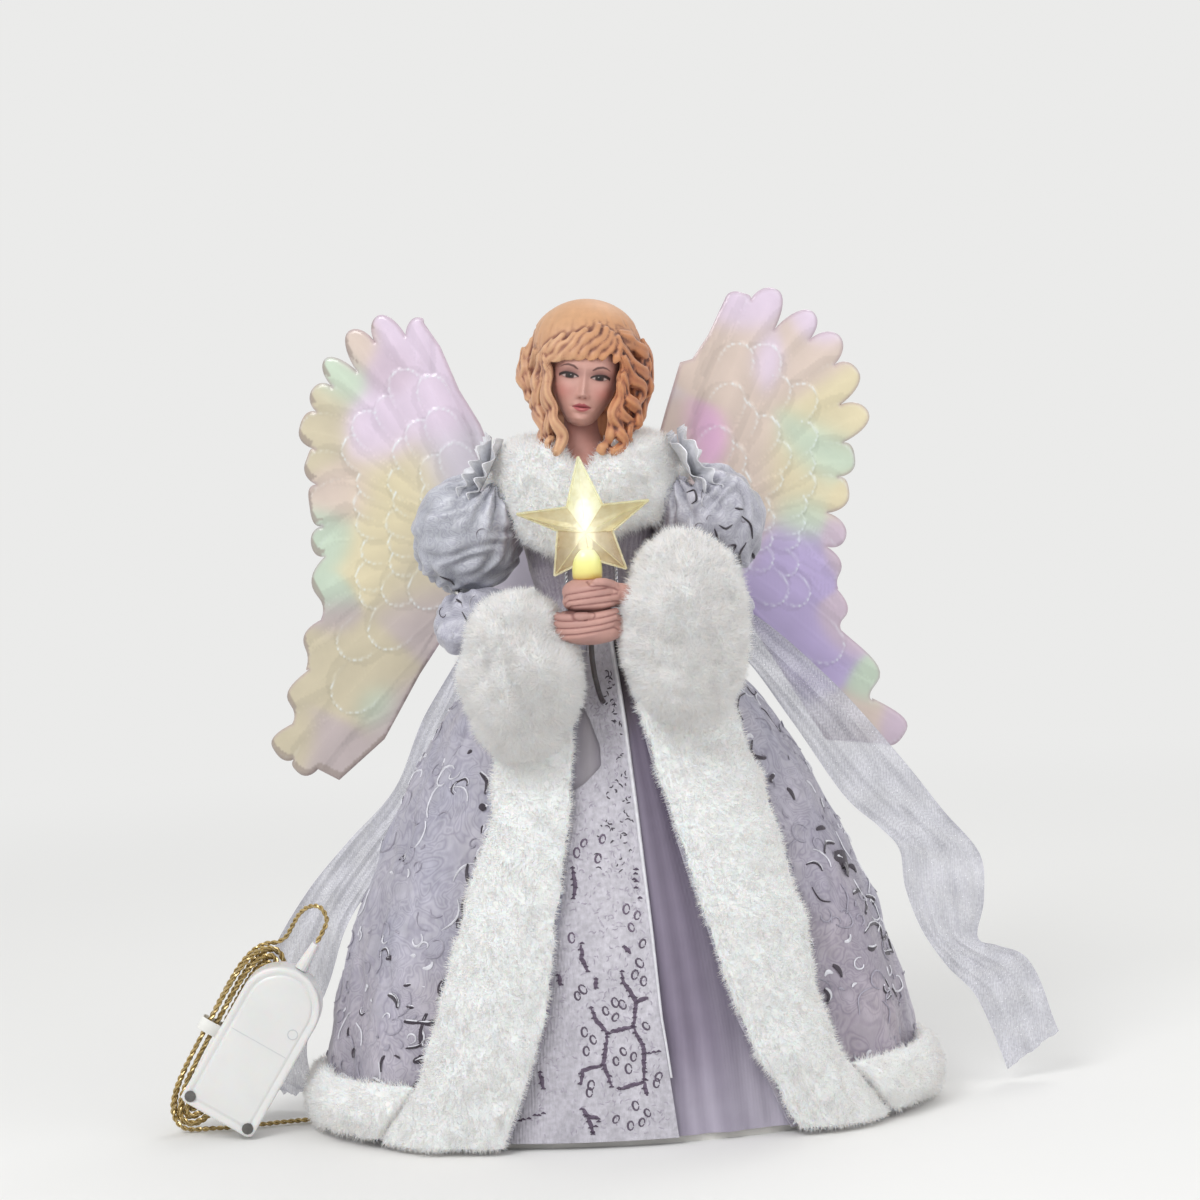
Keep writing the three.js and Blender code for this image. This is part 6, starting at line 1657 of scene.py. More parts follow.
def hand(name, source, side, levels, palm, palm_half, wrist, thumb, broad):
    """side is -1 for the hand that comes from the left of the picture. levels has a row for each finger: its
    height at the palm and at its tip, how far it lies from the tube's middle, and how much it bends."""
    parts, lines = [ball(palm, palm_half)], []
    middle, reach = levels[1][0] - 1.2, np.mean([level[2] for level in levels])
    for rise in (-1.4, 1.4):
        parts.append(ball((*LAMP, middle + rise), (reach * broad + 0.85, reach + 0.85, 4.3)))
    for k, (z0, z1, reach, bend) in enumerate(levels):
        line = wrap_line(reach, side * 88, -side * (62 - 7 * k), z0, z1, bend, broad)
        parts.append(tube(line, np.interp(np.linspace(0, 1, len(line)), *FINGER_SHAPE), FINGER_SIDES))
        lines.append(line)
    parts.append(tube(smooth_line(wrist, 8), np.linspace(3.6, 3.3, 8 * (len(wrist) - 1) + 1), 20))
    thumb_line = smooth_line(thumb, 8)
    parts.append(tube(thumb_line, np.interp(np.linspace(0, 1, len(thumb_line)), *THUMB_SHAPE), FINGER_SIDES))
    lines.append(thumb_line)
    piece = piece_from(name, *gather(parts))
    modify(piece, "REMESH", mode="VOXEL", voxel_size=0.3 * MM)
    modify(piece, "SMOOTH", factor=0.5, iterations=3)
    p, n = places(piece), normals_of(piece)
    reach = np.sort([np.linalg.norm(p[:, None] - along(line, 0.4)[None], axis=2).min(1) for line in lines], 0)
    gap = np.clip(1 - (reach[1] - reach[0]) / 0.42, 0, 1) * (reach[0] < 2.4) * (p[:, 1] < -42)
    crease = 0.035 * waves3(p, 62, 3.5)
    move_points(piece, p + n * (crease - 0.22 * gap)[:, None])
    warm = waves3(p, 61, 6)
    tone = np.array((190, 146, 137)) + warm[:, None] * np.array((7, 6, 5))
    # Painted shade in the gaps between the fingers, and a painted dark line where the two hands meet.
    between = peak(p[:, 2], PALMS_MEET, 0.75) * np.interp(p[:, 0], [-7, 1], [0.95, 0.45])
    tone = over(over(tone, (126, 82, 78), gap * 0.75), (84, 46, 42), between)
    attribute(piece, "tint", to_linear(tone))
    return put(face_out(piece), name, skin, instead_of=(source,))


lower_hand = hand(
    "lower_hand", "hand_left", -1,
    levels=[(156.6, 157.6, 6.3, -0.9), (154.5, 155.8, 6.6, -0.9),
            (152.5, 154, 6.5, -0.8), (150.8, 152.3, 6.1, -0.6)],
    palm=(-9.4, -39.6, 153.6), palm_half=(4.4, 4.8, 4.5),
    wrist=[(-9, -39, 153.4), (-14, -38.6, 152.4), (-19, -38.6, 151)],
    thumb=[(-9.6, -42.6, 155.6), (-6, -46.6, 156.6), (-2.6, -47.2, 156.8)], broad=1.5)
upper_hand = hand(
    "upper_hand", "hand_right", 1,
    levels=[(165.3, 163.4, 5.9, 0.4), (163.3, 161.8, 6.3, 0.4),
            (161.4, 160.3, 6.4, 0.3), (159.7, 159, 6.1, 0.2)],
    palm=(3.6, -39.4, 162.2), palm_half=(4.0, 4.6, 3.9),
    wrist=[(4, -39, 162), (9.5, -38.8, 161.4), (15, -38.8, 160.5)],
    thumb=[(4.4, -41.6, 164.6), (1.4, -45.2, 166.1), (-1.6, -46.4, 166.3)], broad=1.12)
print("the hands have", len(lower_hand.data.polygons), "and", len(upper_hand.data.polygons), "faces")

# %% [markdown]
# The lamp is a warm bulb on a yellow collar, in a dark tube with a rolled rim. The collar has a painted glow,
# lighter towards the bulb. Over it stands the star, a clear amber moulding of five hollow-looking points. Its
# facets are separate flat faces, painted alternately lighter and darker as lit and shaded faces. Its rim and
# ridges carry painted highlights as pale lines, and the long upper point is milkier than the rest, with a
# painted glow down its middle where the bulb lights it from inside.

# %% Lamp
LATHE_SIDES = 48


def lathe(name, steps):
    """A turned piece round the lamp's middle, from pairs of radius and height."""
    turn = 2 * math.pi * np.arange(LATHE_SIDES) / LATHE_SIDES
    points = [(LAMP[0] + r * math.cos(a), LAMP[1] + r * math.sin(a), z) for r, z in steps for a in turn]
    faces = grid_faces(LATHE_SIDES, len(steps), wrap=True) + end_caps(LATHE_SIDES, len(points))
    return face_out(piece_from(name, points, faces))


dark_tube = shade_colour(finish("dark_tube", (62, 52, 46), 0.45), (66, 54, 46), 400, 0.7, 1.15, 0.1)
tube_piece = lathe("lamp_tube", [
    (3.2, 148.7), (3.4, 148.9), (3.4, 164.6), (3.9, 165.3), (4.6, 165.7), (4.75, 166.1), (4.6, 166.6),
    (4.1, 166.7), (3.9, 166.3), (0.4, 166.3)])
put(tube_piece, "lamp_tube", dark_tube, instead_of=("lamp_socket",))
# The collar's emission and its ramp, lighter towards the top, are a painted glow from the bulb.
glow = finish("lit_collar", (236, 226, 120), 0.35, Emission_Color=(240, 226, 96), Emission_Strength=0.12,
              Coat_Weight=0.4)
warm = ramp(glow.node_tree, height_share(glow.node_tree, 0.167, 0.1775),
            [(0.0, (198, 164, 88)), (0.2, (226, 216, 128)), (0.5, (234, 233, 150)), (0.8, (240, 242, 200)),
             (1.0, (244, 246, 230))])
feed(glow, warm, "Base Color", "Emission Color")
collar_piece = lathe("yellow_collar", [
    (4.0, 167.05), (4.4, 167.5), (4.45, 170), (4.2, 173.4), (3.6, 175.6), (2.9, 176.0)])
put(collar_piece, "yellow_collar", glow, instead_of=("bulb_collar",))
lit_glass = finish("lit_glass", (250, 250, 232), 0.15, Emission_Strength=0.85)
feed(lit_glass, ramp(lit_glass.node_tree, height_share(lit_glass.node_tree, 0.176, 0.191),
                     [(0.0, (245, 247, 232)), (1.0, (209, 211, 198))]), "Emission Color")
bulb_piece = lathe("lit_bulb", [
    (1.9, 176.3), (2.3, 177.0), (2.35, 184), (2.15, 187), (1.6, 189.3), (0.7, 190.3)])
put(bulb_piece, "lit_bulb", lit_glass, instead_of=("star_bulb",))

# %% Star
STAR, STAR_REACH = np.array((-3.0, -40.0, 180.0)), 23
star_corners = np.array([(-0.04, 1), (-0.22, 0.36), (-0.86, 0.31), (-0.35, 0.07), (-0.42, -0.5), (0.04, -0.3),
                         (0.5, -0.46), (0.35, 0.03), (0.83, 0.4), (0.24, 0.37)]) * STAR_REACH
star_tones = [(216, 216, 168), (218, 212, 160), (208, 184, 128), (196, 164, 104), (160, 126, 78),
              (226, 220, 150), (168, 132, 80), (196, 158, 98), (206, 182, 124), (216, 212, 158)]
RIM_HALF, MIDDLE_HALF = 1.1, 5.4  # half the star's thickness at its rim and at its middle


def clear_star():
    """Flat facets from the rim up to both middles, and thin round bars along the rim and the front ridges."""
    rim = len(star_corners)

    def corner(k, depth, size=1.0):
        return STAR + (star_corners[k][0] * size, depth, star_corners[k][1] * size)

    points = [corner(k, depth) for depth in (-RIM_HALF, RIM_HALF) for k in range(rim)]
    points += [STAR + (0.0, -MIDDLE_HALF, 0.8), STAR + (0.0, MIDDLE_HALF, 0.8)]
    faces, tones = [], []
    for k in range(rim):
        j = (k + 1) % rim
        faces += [(k, j, 2 * rim), (j + rim, k + rim, 2 * rim + 1), (j, k, k + rim, j + rim)]
        # Facets are painted alternately lighter and darker, as lit and shaded faces.
        tone = np.array(star_tones[j if k % 2 else k]) + (7 if k % 2 else -9)
        tones += [tone, tone, (232, 228, 190)]
    parts = [(points, faces)]

    def bar(a, middle, b, half, sides, tone):
        parts.append(tube(np.array([a, middle, b]), half, sides))
        tones.extend([tone] * len(parts[-1][1]))

    # The rim bars are painted pale as highlights, and the ridge bars alternately dark and pale as shade and
    # highlight.
    for k in range(rim):
        for depth in (-1.15, 1.15):
            a, b = corner(k, depth), corner((k + 1) % rim, depth)
            bar(a, (a + b) / 2, b, 0.34, 6, (246, 243, 214))
        a = corner(k, -1.2, 0.97)
        tone = (176, 146, 92) if k % 2 else (238, 230, 176)
        bar(a, (a + STAR + (0, -5.4, 0.8)) / 2, STAR + (0, -5.3, 0.8), 0.17, 5, tone)
    piece = piece_from("clear_star", *gather(parts))
    polygons = piece.data.polygons
    p = places(piece)[[v for face in polygons for v in face.vertices]]
    tone = np.repeat(np.array(tones, float), [len(face.vertices) for face in polygons], axis=0)
    tone = over(tone, (232, 226, 206), 0.4)
    tone = over(tone, (222, 224, 178), np.clip((p[:, 2] - 184) / 18, 0, 1) * 0.8)
    # A painted glow down the star's middle, where the bulb lights it.
    tone = over(tone, (240, 240, 222), peak(p[:, 0], -3.6, 4.2) * 0.7)
    attribute(piece, "tint", to_linear(tone), "CORNER")
    return piece


star_plastic = finish("clear_amber", (226, 206, 150), 0.1, IOR=1.46, Transmission_Weight=0.62,
                      Coat_Weight=0.5, Coat_Roughness=0.05, Emission_Strength=0.3)
tree = star_plastic.node_tree
streaks = node(tree, "ShaderNodeTexNoise",
               {"Vector": coordinates(tree), "Scale": 420.0, "Detail": 3.0}).outputs[0]
streaked = ramp(tree, streaks, [(0.3, (240, 234, 218)), (0.6, (255, 255, 252))])
toned = mix_colours(tree, 1.0, stored(tree), streaked, "MULTIPLY")
feed(star_plastic, toned, "Base Color")
split = node(tree, "ShaderNodeSeparateXYZ", {0: coordinates(tree)})
# The bulb's light in the star is a painted glow over a tall oval: how far a point is from the oval's middle,
# squared.
squares = []
for axis, middle, half in ((0, STAR[0] * MM + AXIS[0], 0.0042), (2, 0.1855, 0.0145)):
    off = math_node(tree, "DIVIDE", math_node(tree, "SUBTRACT", split.outputs[axis], middle), half)
    squares.append(math_node(tree, "MULTIPLY", off, off))
lit = math_node(tree, "POWER", 2.718, math_node(tree, "MULTIPLY", math_node(tree, "ADD", *squares), -1.0))
shine = mix_colours(tree, math_node(tree, "MULTIPLY", lit, 0.75), toned, linear((232, 238, 240)))
power = math_node(tree, "ADD", math_node(tree, "MULTIPLY", lit, 0.73), 0.27)
feed(star_plastic, times_grey(tree, shine, power), "Emission Color")
star = put(clear_star(), "clear_star", star_plastic, body="star",
           instead_of=("star_cover",), smooth=False)
print("the star has", len(star.data.polygons), "faces")

# %% [markdown]
# Each arm has a puffed upper sleeve, a lower sleeve that runs into the cuff, and a silver frill where the
# sleeve joins the shoulder. The puff is gathered at both ends, so its folds run from pole to pole and are
# deepest there. The frill is a ribbon of the same cloth whose free edge is much longer than its seam, which
# is what makes it wave.

# %% Sleeves
sleeve_cloth = tinted_cloth("sleeve_cloth", 0.4, 5200.0, 0.25, 0.9, 1.06, 300.0, 130.0, Sheen_Weight=0.3,
                            Sheen_Roughness=0.3, Coat_Weight=0.12)
frill_cloth = tinted_cloth("silver_frill", 0.4, 6000.0, 0.3, 0.86, 1.08, 500.0,
                           Metallic=0.05, Sheen_Weight=0.4)
FRILL_ROWS, FRILL_COLUMNS = 16, 260


def sleeve(name, source, seed, pole, strength, count, base, dark_side, soften=5, round_off=0.0):
    """A gathered sleeve. round_off draws the corners of the plain solid in towards an oval."""
    piece = rounded_copy(source, 0.62, soften)
    p = places(piece)
    middle = (p.min(0) + p.max(0)) / 2
    half = (p.max(0) - p.min(0)) / 2
    far = np.linalg.norm((p - middle) / half, axis=1)
    p = middle + (p - middle) * (1 - round_off * np.maximum(far - 1, 0) / far)[:, None]
    move_points(piece, p)
    n = normals_of(piece)
    pole = unit(np.array(pole, float))
    first = unit(np.cross(pole, (0, 1, 0.2)))
    second = np.cross(pole, first)
    local = (p - middle) / half.mean()
    along_pole = local @ pole
    turn = np.arctan2(local @ second, local @ first)
    soft = waves3(p, seed, 11)
    folds = np.sin(turn * count + soft * 1.6 + along_pole * 1.5) * (0.35 + 0.9 * along_pole**2)
    fine = np.sin(turn * count * 2.3 + waves3(p, seed + 1, 6) * 2.2) * np.clip(along_pole, 0, 1) ** 2
    swirl = np.sin(waves3(p, seed + 2, 17) * 7 + p[:, 2] * 0.35) * 0.75
    high = strength * (folds + 0.5 * fine + swirl + 0.6 * soft)
    move_points(piece, p + n * high[:, None])
    # Painted shade: the cloth lighter on the crests of its folds and higher up, and a painted shadow streaked
    # over one side.
    tone = np.array(base) + (high / strength)[:, None] * 13 + (p[:, 2:3] - middle[2]) * 0.35
    shadow = hill(p[:, 0], p[:, 2], *dark_side, 4.5, 8) * (p[:, 1] < 4)
    streak = 0.6 + 0.4 * np.sin(turn * count * 2 + soft)
    attribute(piece, "tint", to_linear(over(tone, (112, 100, 106), shadow * streak * 0.85)))
    return put(piece, name, sleeve_cloth, instead_of=(source,))


def shoulder_frill(name, source, seed):
    """Two rows of waving ribbon round a seam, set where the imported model's ring is."""
    ring = rounded_copy(source, 1.0, 1)
    p = places(ring)
    bpy.data.objects.remove(ring)
    middle = (p.min(0) + p.max(0)) / 2
    _, _, (first, second, normal) = np.linalg.svd(p - middle, full_matrices=False)
    normal = normal * np.sign(normal[0] * middle[0] or 1)
    reach = np.percentile(np.abs((p - middle) @ first), 98)
    t = np.linspace(0, 1, FRILL_ROWS)[:, None]
    a = np.linspace(0, 2 * math.pi, FRILL_COLUMNS, endpoint=False)[None, :]
    n = FRILL_ROWS * FRILL_COLUMNS
    points, faces, high = [], [], []
    for row, (lean, waves_round, tall) in enumerate(((0.95, 14, 1.05), (0.3, 12, 1.1))):
        wave = np.sin(a * waves_round + 2.2 * np.sin(a * 3 + seed) + row)
        wave = wave + 0.2 * np.sin(a * (waves_round * 2 - 3) + seed)
        r = reach * (0.5 + 0.9 * tall * t + 0.07 * np.cos(a * 5 + seed) * t)
        lift = reach * (lean * t * 0.6) + 1.25 * wave * t**1.3
        front = middle + ((np.cos(a) * r)[..., None] * first + (np.sin(a) * r)[..., None] * second
                          + lift[..., None] * normal).reshape(-1, 3)
        points += [front, front - 0.32 * normal]
        high += [(wave * t).ravel()] * 2
        start = row * 2 * n
        faces += grid_faces(FRILL_COLUMNS, FRILL_ROWS, wrap=True, start=start)
        faces += grid_faces(FRILL_COLUMNS, FRILL_ROWS, wrap=True, start=start + n, flip=True)
        for c in range(FRILL_COLUMNS):
            b, d = start + c, start + (c + 1) % FRILL_COLUMNS
            faces.append((d, b, b + n, d + n))
            b, d = b + n - FRILL_COLUMNS, d + n - FRILL_COLUMNS
            faces.append((b, d, d + n, b + n))
    piece = piece_from(name, np.vstack(points), faces)
    seam_gap = np.tile(np.repeat(np.linspace(0, 1, FRILL_ROWS), FRILL_COLUMNS), 4)
    # Painted shade: lighter on the crests of the waves, darker in the troughs and near the seam.
    tone = np.array((212, 213, 219)) + np.clip(np.concatenate(high), -1, 1)[:, None] * 22
    tone = tone - (np.clip(0.3 - seam_gap, 0, 0.3) * 160)[:, None]
    attribute(piece, "tint", to_linear(tone))
    return put(face_out(piece, 0), name, frill_cloth, instead_of=(source,))


sleeves = [
    sleeve("puffed_sleeve_left", "puff_sleeve_left", 201, (0.5, -0.25, 0.8), 0.62, 11,
           (176, 178, 186), (-24, 180)),
    sleeve("puffed_sleeve_right", "puff_sleeve_right", 211, (-0.5, -0.25, 0.8), 0.62, 11,
           (178, 178, 187), (21, 178)),
    sleeve("long_sleeve_left", "lower_sleeve_left", 221, (-0.4, 0.5, 0.75), 0.5, 9,
           (180, 180, 191), (-60, 150), soften=60, round_off=0.75),
    sleeve("long_sleeve_right", "lower_sleeve_right", 231, (0.4, 0.5, 0.75), 0.5, 9,
           (180, 179, 190), (60, 150), soften=60, round_off=0.75)]
frills = [shoulder_frill("frill_left", "shoulder_ruffle_left", 3),
          shoulder_frill("frill_right", "shoulder_ruffle_right", 5)]
print("sleeve faces", [len(piece.data.polygons) for piece in sleeves + frills])

# %% [markdown]
# The same brocade thread runs over the sleeves in a few bold strokes and many small curls, black where it
# turns from the light. The strokes are placed as seen from the front. The curls are dropped on to the cloth
# from the front or the back, wherever a sleeve lies in their way.

# %% Sleeve threads
sleeve_strokes = [
    [(37.0, 179.8), (39.0, 178.7), (41.0, 179.7)], [(35.6, 178.8), (36.6, 174.0), (35.9, 169.4)],
    [(40.0, 173.6), (41.6, 173.4), (41.0, 171.9)], [(35.9, 169.4), (34.0, 170.4)],
    [(35.4, 167.4), (37.8, 162.6), (39.6, 160.2)],
    [(28.0, 190.0), (30.2, 190.4), (30.6, 187.8), (29.2, 186.6)],
    [(44.0, 182.0), (46.4, 179.4), (47.0, 175.0)], [(45.0, 174.0), (43.0, 170.6), (43.6, 166.4)],
    [(42.0, 184.6), (44.6, 184.0)], [(47.2, 170.2), (47.6, 168.0)],
    [(-47.4, 168.6), (-44.6, 167.2), (-43.2, 165.6)], [(-35.8, 160.6), (-34.2, 158.0)],
    [(-33.8, 161.6), (-32.6, 160.0)], [(-41.0, 158.2), (-38.6, 154.6), (-35.4, 154.2), (-34.2, 157.0)],
    [(-42.6, 162.0), (-41.0, 160.8)]]


def drop_on(skins, flat, way):
    """Points seen from the front (way 1) or the back (way -1), moved on to the nearest sleeve."""
    line = []
    for x, _, z in flat:
        hits = [skin_tree.ray_cast(at(x, -80 * way, z), Vector((0, way, 0)))[0] for skin_tree in skins]
        near = [h for h in hits if h is not None]
        if near:
            line.append((np.array(min(near, key=lambda h: h.y * way)) - AXIS) / MM + (0, -0.08 * way, 0))
    return np.array(line)


def surface_of(piece):
    faces = [q.vertices[:] for q in piece.data.polygons]
    return BVHTree.FromPolygons([v.co[:] for v in piece.data.vertices], faces)


def sleeve_threads():
    skins = [surface_of(piece) for piece in sleeves]
    strokes = [(smooth_line([(x, 0, z) for x, z in stroke], 8), 0.62, (56, 50, 58), 1)
               for stroke in sleeve_strokes]
    chance = random.Random(77)
    for piece, count in zip(sleeves, (6, 34, 26, 26)):
        p = places(piece)
        low, high = p.min(0), p.max(0)
        for _ in range(count):
            radius, sweep = chance.uniform(0.8, 2.4), chance.choice((90, 130, -110, 240))
            path = curl(radius, sweep, chance.uniform(0, 360), 0.5, 9)
            place = (chance.uniform(low[0], high[0]), chance.uniform(low[2], high[2]))
            shade = (206, 206, 213)
            if chance.random() >= 0.5:
                shade = (146, 142, 152) if chance.random() < 0.7 else (70, 62, 72)
            flat = np.column_stack([path[:, 0] + place[0], np.zeros(len(path)), path[:, 1] * 1.2 + place[1]])
            strokes.append((flat, 0.26, shade, chance.choice((1, 1, -1))))
    parts, tones = [], []
    for flat, thick, shade, way in strokes:
        line = drop_on(skins, flat, way)
        if len(line) < 5 or np.abs(np.diff(line[:, 1])).max() > 1.5:
            continue
        radius = thick * np.sin(np.pi * np.linspace(0.08, 0.92, len(line))) ** 0.7
        parts.append(tube(line, radius, 6, flat=0.6))
        tones.append(np.tile(shade, (len(parts[-1][0]), 1)))
    piece = piece_from("sleeve_threads", *gather(parts))
    attribute(piece, "tint", to_linear(np.vstack(tones)))
    return put(piece, "sleeve_threads", thread)


sleeve_threads()

# %% [markdown]
# The scarf is sheer organza. It crosses behind the shoulders and its tails hang outside the arms, narrow
# where the elbows hold them and wide where they are free. It is drawn as rows of points across its width,
# each row standing off the robe, and the rows are joined by a smooth curve. The finish is nearly clear, with
# a fine mesh, small painted glints and a faint painted glow that lightens it.

# %% Organza scarf
SCARF_WIDTH = 27
# Each row: share of the bell's height, degrees round it, how far off it the inner edge lies, and how far
# outward and upward the outer edge lies from there. The last three are shares of the width.
scarf_rows = [
    (0.025, 98, 1.02, 0.62, 0.4), (0.12, 98, 0.9, 0.66, 0.36), (0.19, 98, 0.78, 0.62, 0.38),
    (0.25, 98, 0.56, 0.6, 0.2), (0.33, 98, 0.4, 0.66, -0.14), (0.42, 98, 0.38, 0.92, -0.2),
    (0.5, 98, 0.52, 0.96, -0.14), (0.55, 99, 0.42, 0.76, 0.12), (0.62, 100, 0.2, 0.72, 0.36),
    (0.78, 102, 0.12, 0.5, 0.42), (0.92, 106, 0.22, 0.16, 0.46), (0.97, 122, 0.06, 0, 0.46),
    (0.97, 150, 0.06, 0, 0.44), (0.97, 180, 0.06, 0, 0.44), (0.97, 210, 0.06, 0, 0.44),
    (0.97, 228, 0.06, 0, 0.46), (0.92, 238, 0.14, 0.1, 0.46), (0.78, 234, 0.12, 0.3, 0.3),
    (0.62, 236, 0.12, 0.34, 0.3), (0.5, 246, 0.14, 0.4, 0.34), (0.4, 256, 0.16, 0.48, 0.36),
    (0.28, 256, 0.24, 0.72, 0.24), (0.16, 256, 0.4, 0.74, 0.06), (0.08, 254, 0.36, 0.6, -0.04),
    (0.04, 250, 0.3, 0.52, -0.06)]


def scarf_edge(out):
    rows = []
    for share, degrees, off, width, rise in scarf_rows:
        z = BELL_TALL * share
        point = bell_at(degrees, z, 5.6 + 3 * (1 - share) + SCARF_WIDTH * (off + out * width))
        point[2] = z + out * rise * SCARF_WIDTH
        rows.append(point)
    return smooth_line(rows, 14)


inner_edge, outer_edge = scarf_edge(0), scarf_edge(1)
across = np.linspace(0, 1, 34)
grid = inner_edge[:, None] + (outer_edge - inner_edge)[:, None] * across[None, :, None]
square = np.cross(np.gradient(grid, axis=1), np.gradient(grid, axis=0))
square /= np.linalg.norm(square, axis=2)[..., None] + 1e-9
far = np.linspace(0, 1, len(inner_edge))[:, None]
u = across[None, :]
ripple = (0.9 * np.sin(2 * math.pi * (u * 2.4 + 0.4 * np.sin(far * 19)) + far * 22) * (0.4 + u)
          + 0.35 * np.sin(2 * math.pi * u * 7 + far * 47) + 0.8 * np.sin(far * 85 + u * 3) * u)
grid = grid + square * (ripple * 0.95)[..., None]
grid[..., 2] = np.maximum(grid[..., 2], 1.0)
SHEER_HALF = 0.12
faces_of_cloth = grid + square * SHEER_HALF, grid - square * SHEER_HALF
scarf = closed_sheet("organza", *faces_of_cloth)

# The faint emission is a painted glow that lightens the organza.
organza = finish("organza", (210, 211, 217), 0.42, Sheen_Weight=0.35, Sheen_Roughness=0.3,
                 Emission_Strength=0.14, Emission_Color=(214, 214, 220))
tree = organza.node_tree
place = coordinates(tree)
grain = node(tree, "ShaderNodeTexNoise", {"Vector": place, "Scale": 1500.0, "Detail": 2.0}).outputs[0]
# Small painted glints, which also make the cloth less clear where they fall.
glint = node(tree, "ShaderNodeTexVoronoi", {"Vector": place, "Scale": 900.0}).outputs[0]
spark = math_node(tree, "LESS_THAN", glint, 0.09)
mesh_tone = ramp(tree, grain, [(0.3, (214, 214, 218)), (0.7, (255, 255, 255))])
ground = mix_colours(tree, 1.0, stored(tree), mesh_tone, "MULTIPLY")
feed(organza, mix_colours(tree, spark, ground, linear((246, 247, 250))), "Base Color")
woven = place_group(tree, weave, {"Vector": place, "Threads": 7000.0})
body = node(tree, "ShaderNodeSeparateColor", {0: stored(tree, "body")}).outputs[0]
cover = math_node(tree, "ADD", math_node(tree, "MULTIPLY", woven.outputs["Warp"], 0.12), body)
cover = math_node(tree, "ADD", cover, math_node(tree, "MULTIPLY", spark, 0.4))
feed(organza, math_node(tree, "MINIMUM", cover, 1.0), "Alpha")
bump(organza, grain, 0.25, 0.0003)
p = places(scarf)
fold = waves3(p, 301, 9)
speck = waves3(p, 302, 2.2)
tone = np.array((204, 204, 212)) + fold[:, None] * 14 + speck[:, None] * 5
attribute(scarf, "tint", to_linear(tone))
count = grid.shape[0] * grid.shape[1]
flat = np.minimum(u, 1 - u) + 0 * far
hem = np.exp(-flat * 40).ravel()
solid_rows = 0.38 + 0.2 * hem + 0.1 * np.abs(np.sin(far * 85 + u * 3)).ravel()
near = np.vstack([side.reshape(-1, 3) for side in faces_of_cloth])
lookup = KDTree(len(near))
for k, point in enumerate(near):
    lookup.insert(point, k)
lookup.balance()
strength = np.array([solid_rows[lookup.find(point)[1] % count] for point in p])
attribute(scarf, "body", np.repeat(strength[:, None], 3, 1))
put(scarf, "organza_tails", organza, instead_of=("organza_scarf",))

# %% [markdown]
# The bodice is lilac grey cloth with narrow pleats, and a silver piping runs down each side of its front. The
# bell that carries everything is white card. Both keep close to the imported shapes, so the bodice is a rounded
# copy with its pleats pressed in.

# %% Bodice and pipings
bodice = rounded_copy("bodice", 0.8, 3)
p, n = places(bodice), normals_of(bodice)
degrees = np.degrees(np.arctan2((p[:, 0] + 2) / 21, -p[:, 1] / 13.5))
pleat = np.sin(np.radians(degrees) * 62 + 0.6 * np.sin(p[:, 2] * 0.3))
move_points(bodice, p + n * (0.16 * pleat + 0.2 * waves3(p, 311, 9))[:, None])
# The pleats' crests are painted lighter and their hollows darker, as shade.
tone = np.array((170, 163, 173)) + pleat[:, None] * 11 + waves3(p, 312, 12)[:, None] * 6
attribute(bodice, "tint", to_linear(tone))
put(bodice, "pleated_bodice", sleeve_cloth, instead_of=("bodice",))
silver = finish("silver_piping", (214, 214, 220), 0.25, Metallic=0.7)
shade_colour(silver, (220, 220, 226), 900, 0.7, 1.1, 0.3)
surface = surface_of(bodice)
CORD = 0.42  # half of one strand of the piping
for side in ("left", "right"):
    low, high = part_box("bodice_piping_" + side)
    x0 = ((low.x + high.x) / 2 - AXIS[0]) / MM
    starts = [at(x0, -60, z) for z in np.linspace(low.z, high.z, 60) / MM]
    hits = np.array([surface.ray_cast(start, Vector((0, 1, 0)))[0] for start in starts])
    line = (hits - AXIS) / MM + (0, -0.25, 0)
    turn = np.linspace(0, 60, len(line))[:, None]
    side_way, up_way = frames(line)
    strands = [tube(line + CORD * (side_way * np.cos(turn + k) + up_way * np.sin(turn + k) * 0.6), CORD, 8)
               for k in (0, math.pi)]
    put(piece_from("piping", *gather(strands)), "silver_piping_" + side, silver,
        instead_of=("bodice_piping_" + side,))

# %% [markdown]
# The battery box is two white mouldings with soft edges, split all round, with one round end. Its cover has a
# shallow step inside its edge, a small ring where the mould was gated, and two screws at the flat end. The
# cover is drawn as rings of points, each a little further in and a little higher, which is how a moulded edge
# turns. The base keeps its imported shape.

# %% Battery box
BOX_PLACE, BOX_LEAN = np.array((-124.98, -10.5, 7.11)), math.radians(33)
BOX_WIDE, BOX_LONG, BOX_CORNER, BOX_FRONT, BOX_SPLIT = 25, 52, 2.2, -5.4, -2.2


def box_points(points):
    x, y, z = np.asarray(points, float).T
    c, s = math.cos(BOX_LEAN), math.sin(BOX_LEAN)
    return np.stack([x * c + z * s, y, -x * s + z * c], 1) + BOX_PLACE


def box_outline(inset):
    """The box's outline seen from the front, from the flat end round."""
    half = BOX_WIDE / 2 - inset
    r = max(BOX_CORNER - inset, 0.3)
    a = np.linspace(0, math.pi / 2, 8)
    left = [(-half + r - r * math.cos(t), inset + r - r * math.sin(t)) for t in a]
    right = [(-x, z) for x, z in left[::-1]]
    top = [(half * math.cos(t), BOX_LONG - BOX_WIDE / 2 + half * math.sin(t))
           for t in np.linspace(0, math.pi, 40)]
    return left + right + top


def moulding(name, rings):
    """rings is a list of inset and y, from the middle of one face round to the middle of the other."""
    outlines = [[(x, y, z) for x, z in box_outline(inset)] for inset, y in rings]
    n = len(outlines[0])
    points = box_points([p for ring in outlines for p in ring])
    faces = grid_faces(n, len(rings), wrap=True) + end_caps(n, len(points))
    return face_out(piece_from(name, points, faces), 1e-7)


